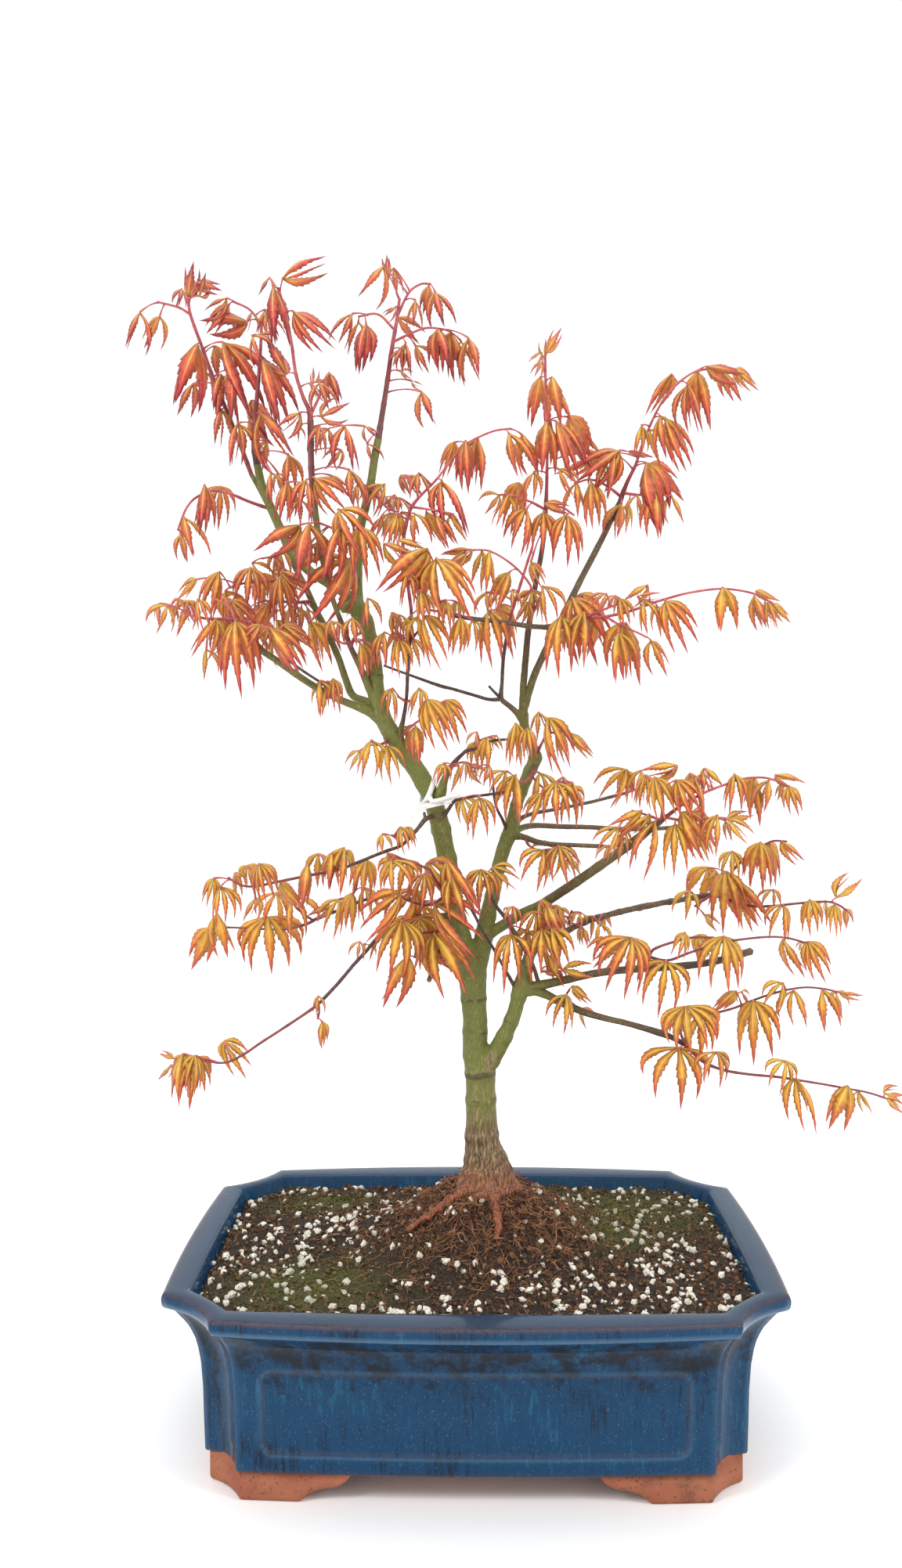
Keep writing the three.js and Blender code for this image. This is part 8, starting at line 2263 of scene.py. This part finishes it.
@dataclass
class Foliage:
    """The leafy shoots: twigs of this year, red leaf stalks and hanging leaves."""

    foot_spacing: float = 1.9
    stalk_arch: float = 0.16
    roll: float = 0.62
    coral_from: float = 330
    coral_to: float = 560
    bare_foot: float = 4.5
    small_leaf: float = 13
    twig_step: float = 2.0
    node_every: int = 6
    stalk_steps: int = 6
    stalk_sides: int = 7

    def feet(self, paths: Sequence[Sequence[Station]]) -> list[Vector]:
        """Finds where leaf stalks can leave the twigs, clear of the wood that carries them.

        Args:
            paths: The shoot's twigs.

        Returns:
            The spots.
        """
        found = []
        for order, path in enumerate(paths):
            whole = sum((b.at - a.at).length for a, b in zip(path, path[1:]))
            clear, run = min(self.bare_foot, 0.6 * whole), 0.0
            for a, b in zip(path, path[1:]):
                length = (b.at - a.at).length
                steps = max(1, round(length))
                for s in range(steps):
                    share = (s + 0.37) / steps
                    if order > 0 or run + length * share > clear:
                        found.append(a.at.lerp(b.at, share))
                run += length
        return found

    @staticmethod
    def seen_distance(foot: Vector, across: float, up: float) -> float:
        """Says how far a foot lies from a leaf's hub to the eye; one above it counts as further.

        Args:
            foot: The foot.
            across: The hub's distance right of the pot's middle.
            up: The hub's height.

        Returns:
            The distance on the plane through the trunk.
        """
        reach = (foot.y - EYE.y) / -EYE.y
        du = EYE.x + (foot.x - EYE.x) / reach - across
        dw = EYE.z + (foot.z - EYE.z) / reach - up
        return math.hypot(du, dw) + 0.6 * max(0.0, dw)

    def hang(
        self, skeleton: Skeleton, shapes: LeafShapes, foot: Vector, leaf: Row, rng: random.Random
    ) -> None:
        """Hangs one leaf on its stalk.

        Args:
            skeleton: The shoot that it joins.
            shapes: The leaf forms.
            foot: Where its stalk starts.
            leaf: Its row of the table of shoots.
            rng: Source of its small differences.
        """
        head_u, head_w, tip_u, tip_w, lobes, spread, depth = leaf
        head_depth = foot.y + depth
        seen = math.hypot(tip_u - head_u, tip_w - head_w)
        head = place(head_u, head_w, head_depth)
        tip = place(tip_u, tip_w, head_depth + 0.2 * seen * (1 if depth > 0 else -1))
        ahead = (tip - head).normalized()
        beside = ahead.cross(Vector((0, 1, 0))).normalized()
        beside = Matrix.Rotation(rng.uniform(-self.roll, self.roll), 3, ahead) @ beside
        axes = Matrix((ahead, beside, ahead.cross(beside))).transposed()
        number, stretch = shapes.pick(int(lobes), spread * 1.14, rng.randrange(2))
        length = (tip - head).length * (1.02 + 0.3 * self.fullness(leaf))
        tone = blend(head_w, self.coral_from, self.coral_to) * (0.95 - 0.5 * blend(head_u, -30, 30))
        # The big leaves in the middle of the crown are painted more golden, a painted pool of
        # light, and small ones are red.
        tone += rng.uniform(-0.26, 0.26) - 0.34 * bell((head_u + 35) / 40, (head_w - 432) / 36)
        if seen < self.small_leaf:
            tone += 0.35
        skeleton.leaf(head, number, axes, Vector((length, length * stretch, length)), tone)
        bend = foot.lerp(head, 0.5) + Vector((0, 0, self.stalk_arch * (head - foot).length))
        path = []
        for k in range(self.stalk_steps + 1):
            t = k / self.stalk_steps
            at = foot * (1 - t) ** 2 + bend * (2 * t * (1 - t)) + head * t * t
            path.append(Station(at, 0.62 - 0.3 * math.sin(math.pi * min(t * 1.1, 1))))
        skeleton.stem(path, [
            0.3 - 0.3 * k / self.stalk_steps + rng.uniform(-0.05, 0.05) for k in range(len(path))])

    @staticmethod
    def fullness(leaf: Row) -> float:
        """Says how crowded the leaves are round a given one; they leave the left leader bare.

        Args:
            leaf: Its row.

        Returns:
            The crowding, 0 to 1.
        """
        inner = bell((leaf[0] + 60) / 75, (leaf[1] - 400) / 60)
        core = bell((leaf[0] + 10) / 45, (leaf[1] - 265) / 40)
        bare = bell((leaf[0] + 52) / 12) if leaf[1] < 425 else 0
        return max(inner, core) * (1 - bare)

    @staticmethod
    def partner(leaf: Row, rng: random.Random) -> Row:
        """Lays out the smaller leaf that grows opposite a given one, from the same foot.

        Args:
            leaf: The given leaf's row.
            rng: Source of its small differences.

        Returns:
            Its own row.
        """
        head_u, head_w, tip_u, tip_w, lobes, spread, depth = leaf
        long = min(math.hypot(tip_u - head_u, tip_w - head_w), 24)
        size = rng.uniform(0.66, 0.92)
        head_u += rng.choice((-1, 1)) * rng.uniform(0.2, 0.42) * long
        head_w += rng.uniform(-0.16, 0.1) * long
        swing = rng.uniform(-0.35, 0.35)
        along_u, along_w = (tip_u - leaf[0]) * size, (tip_w - leaf[1]) * size
        tip_u = head_u + along_u - swing * along_w
        tip_w = head_w + along_w + swing * along_u
        return [head_u, head_w, tip_u, tip_w, lobes, min(spread * 1.1 + 3, 44), abs(depth) + 2]

    def shoot(self, rows: Sequence[Any], shapes: LeafShapes, seed: int) -> bpy.types.Object:
        """Lays out one shoot.

        Args:
            rows: Its name, twigs and leaves.
            shapes: The leaf forms.
            seed: Its own seed.

        Returns:
            The carrier object.
        """
        name, twigs, leaves = rows
        rng = random.Random(seed)
        skeleton = Skeleton()
        paths = [stations(twig) for twig in twigs]
        for path in paths:
            finer = rounded(path, self.twig_step)
            for k, station in enumerate(finer):
                is_node = k % self.node_every == self.node_every // 2
                station.radius = max(station.radius, 0.5) * (1.12 if is_node else 1.0)
            # Thick twigs are woody; thin ones are redder at the top and browner low down.
            top = finer[-1].at.z
            span, least = 1.3 if top > 470 else 0.9, 0.15 if top > 300 else 0.62
            skeleton.stem(finer, [
                min(max((station.radius - 0.55) / span, least), 1.0) for station in finer])
        feet = self.feet(paths)
        taken: list[Vector] = []
        # The longest leaves choose their feet first.
        for leaf in sorted(leaves, key=lambda row: -math.hypot(row[2] - row[0], row[3] - row[1])):
            free = [p for p in feet if all((p - q).length > self.foot_spacing for q in taken)]
            foot = min(free or feet, key=lambda p: self.seen_distance(p, leaf[0], leaf[1]))
            taken.append(foot)
            self.hang(skeleton, shapes, foot, leaf, rng)
            # The chance that its opposite partner shows is greatest where the crown is full.
            if rng.random() < 0.1 + 0.9 * self.fullness(leaf):
                self.hang(skeleton, shapes, foot, self.partner(leaf, rng), rng)
        return skeleton.build(name)

    def build(self) -> list[tuple[bpy.types.Object, str]]:
        """Builds every shoot.

        Returns:
            Each piece with the CAD node that it stands for.
        """
        shapes = LeafShapes()
        forms, tree = shapes.collection(), shoot_tree()
        bark, blade = YoungBark().material(), MapleLeaf().material()
        made = []
        for i, rows in enumerate(SHOOTS):
            carrier = self.shoot(rows, shapes, 500 + i)
            piece = settle(carrier, tree, {
                "Leaves": forms, "Sides": self.stalk_sides, "Bark": bark, "Blade": blade,
            }, "leafy_" + rows[0].removeprefix("shoot_"))
            piece.data.shade_smooth()
            made.append((piece, rows[0]))
        return made


@dataclass
class Studio:
    """The pale floor, soft lights and the camera at the photograph's viewing angle."""

    eye: tuple[float, float, float] = (-0.011, -0.64, 0.344)
    yaw: float = -1.13
    pitch: float = 1.7
    roll: float = -0.27
    lens: float = 50.0
    sensor: float = 36.0
    floor_colour: str = "#fdfdfc"
    front: float = 3200
    back: float = 2200
    half_width: float = 4200
    curve: float = 900
    curve_steps: int = 16
    top: float = 4200
    # Name, place and side in metres, watts, and the other side where it isn't square.
    lamps: Sequence[tuple[str, tuple[float, float, float], float, float, float | None]] = (
        ("high_strip", (0, -1.0, 1.7), 2.4, 4, 0.08),
        ("window_left", (-1.3, -1.1, 1.5), 0.5, 14, None),
        ("window_right", (1.4, -0.9, 1.3), 0.5, 10, None),
        ("overhead", (0, 0.3, 2.2), 1.6, 14, None),
    )

    def camera(self) -> None:
        """Sets the camera up."""
        yaw, pitch, roll = (math.radians(a) for a in (self.yaw, self.pitch, self.roll))
        ahead = Vector((
            math.sin(yaw) * math.cos(pitch), math.cos(yaw) * math.cos(pitch), -math.sin(pitch)))
        right = Vector((math.cos(yaw), -math.sin(yaw), 0))
        up = right.cross(ahead)
        across = right * math.cos(roll) + up * math.sin(roll)
        above = up * math.cos(roll) - right * math.sin(roll)
        data = bpy.data.cameras.new("camera")
        data.sensor_fit, data.sensor_width, data.lens = "HORIZONTAL", self.sensor, self.lens
        camera = bpy.data.objects.new("camera", data)
        camera.matrix_world = Matrix((across, above, -ahead)).transposed().to_4x4()
        camera.location = self.eye
        bpy.context.scene.collection.objects.link(camera)
        bpy.context.scene.camera = camera

    def lamp(
        self, name: str, at: Vector, size: float, power: float, depth: float | None
    ) -> None:
        """Adds a soft lamp that faces the tree.

        Args:
            name: Its name.
            at: Its place in metres.
            size: Its side in metres.
            power: Its power in watts.
            depth: Its other side, where it isn't square.
        """
        data = bpy.data.lights.new(name, "AREA")
        data.shape = "RECTANGLE"
        data.size, data.size_y, data.energy = size, depth or size, power
        lamp = bpy.data.objects.new(name, data)
        lamp.location = at
        lamp.rotation_euler = (Vector((0, 0, 0.25)) - at).to_track_quat("-Z", "Y").to_euler()
        bpy.context.scene.collection.objects.link(lamp)

    def floor(self) -> None:
        """Lays the floor with a backdrop that curves up behind it."""
        draft = Draft()
        profile = [(-self.front, 0), (self.back, 0)]
        for k in range(1, self.curve_steps + 1):
            angle = math.pi / 2 * k / self.curve_steps
            profile.append((self.back + self.curve * math.sin(angle),
                            self.curve - self.curve * math.cos(angle)))
        profile.append((self.back + self.curve, self.top))
        rows = [
            [draft.point(Vector((x, y, z))) for x in (-self.half_width, self.half_width)]
            for y, z in profile
        ]
        for lower, upper in zip(rows, rows[1:]):
            draft.face(lower[0], lower[1], upper[1], upper[0])
        paper = Plain("matt white paper", self.floor_colour, "#f8f8f6", 900.0, 0.9)
        floor = draft.build("floor", [paper.material()])

    def build(self) -> None:
        """Sets up the whole studio."""
        self.camera()
        self.floor()
        world = bpy.data.worlds.new("daylight")
        world.use_nodes = True
        bpy.context.scene.world = world
        back = world.node_tree.nodes["Background"]
        back.inputs[0].default_value, back.inputs[1].default_value = srgb("#fbfcff"), 0.96
        bpy.context.scene.view_settings.view_transform = "Standard"
        for name, at, size, power, depth in self.lamps:
            self.lamp(name, Vector(at), size, power, depth)


def main() -> None:
    """Builds the bonsai and its studio."""
    logging.basicConfig(level=logging.INFO, format="%(message)s")
    pot = Pot()
    declare(pot.build(), ["pot"])
    for side, word in ((-1, "left"), (1, "right")):
        screen = DrainScreens().build(side * pot.hole_offset, "mesh_" + word)
        declare(screen, [f"drain_screen_{word}"])
    filling = Filling(pot)
    ground = filling.ground()
    strewn = filling.strew(ground)
    declare(ground, ["soil"])
    for piece in strewn:
        declare(piece)
    bark = MapleBark().material()
    tree = Tree()
    declare(tree.trunk(bark), ["trunk"])
    declare(tree.limbs(bark))
    declare(LabelTie().build(), ["label_tie"])
    for piece, node in Foliage().build():
        declare(piece, [node])
    Studio().build()


if __name__ == "__main__":
    main()
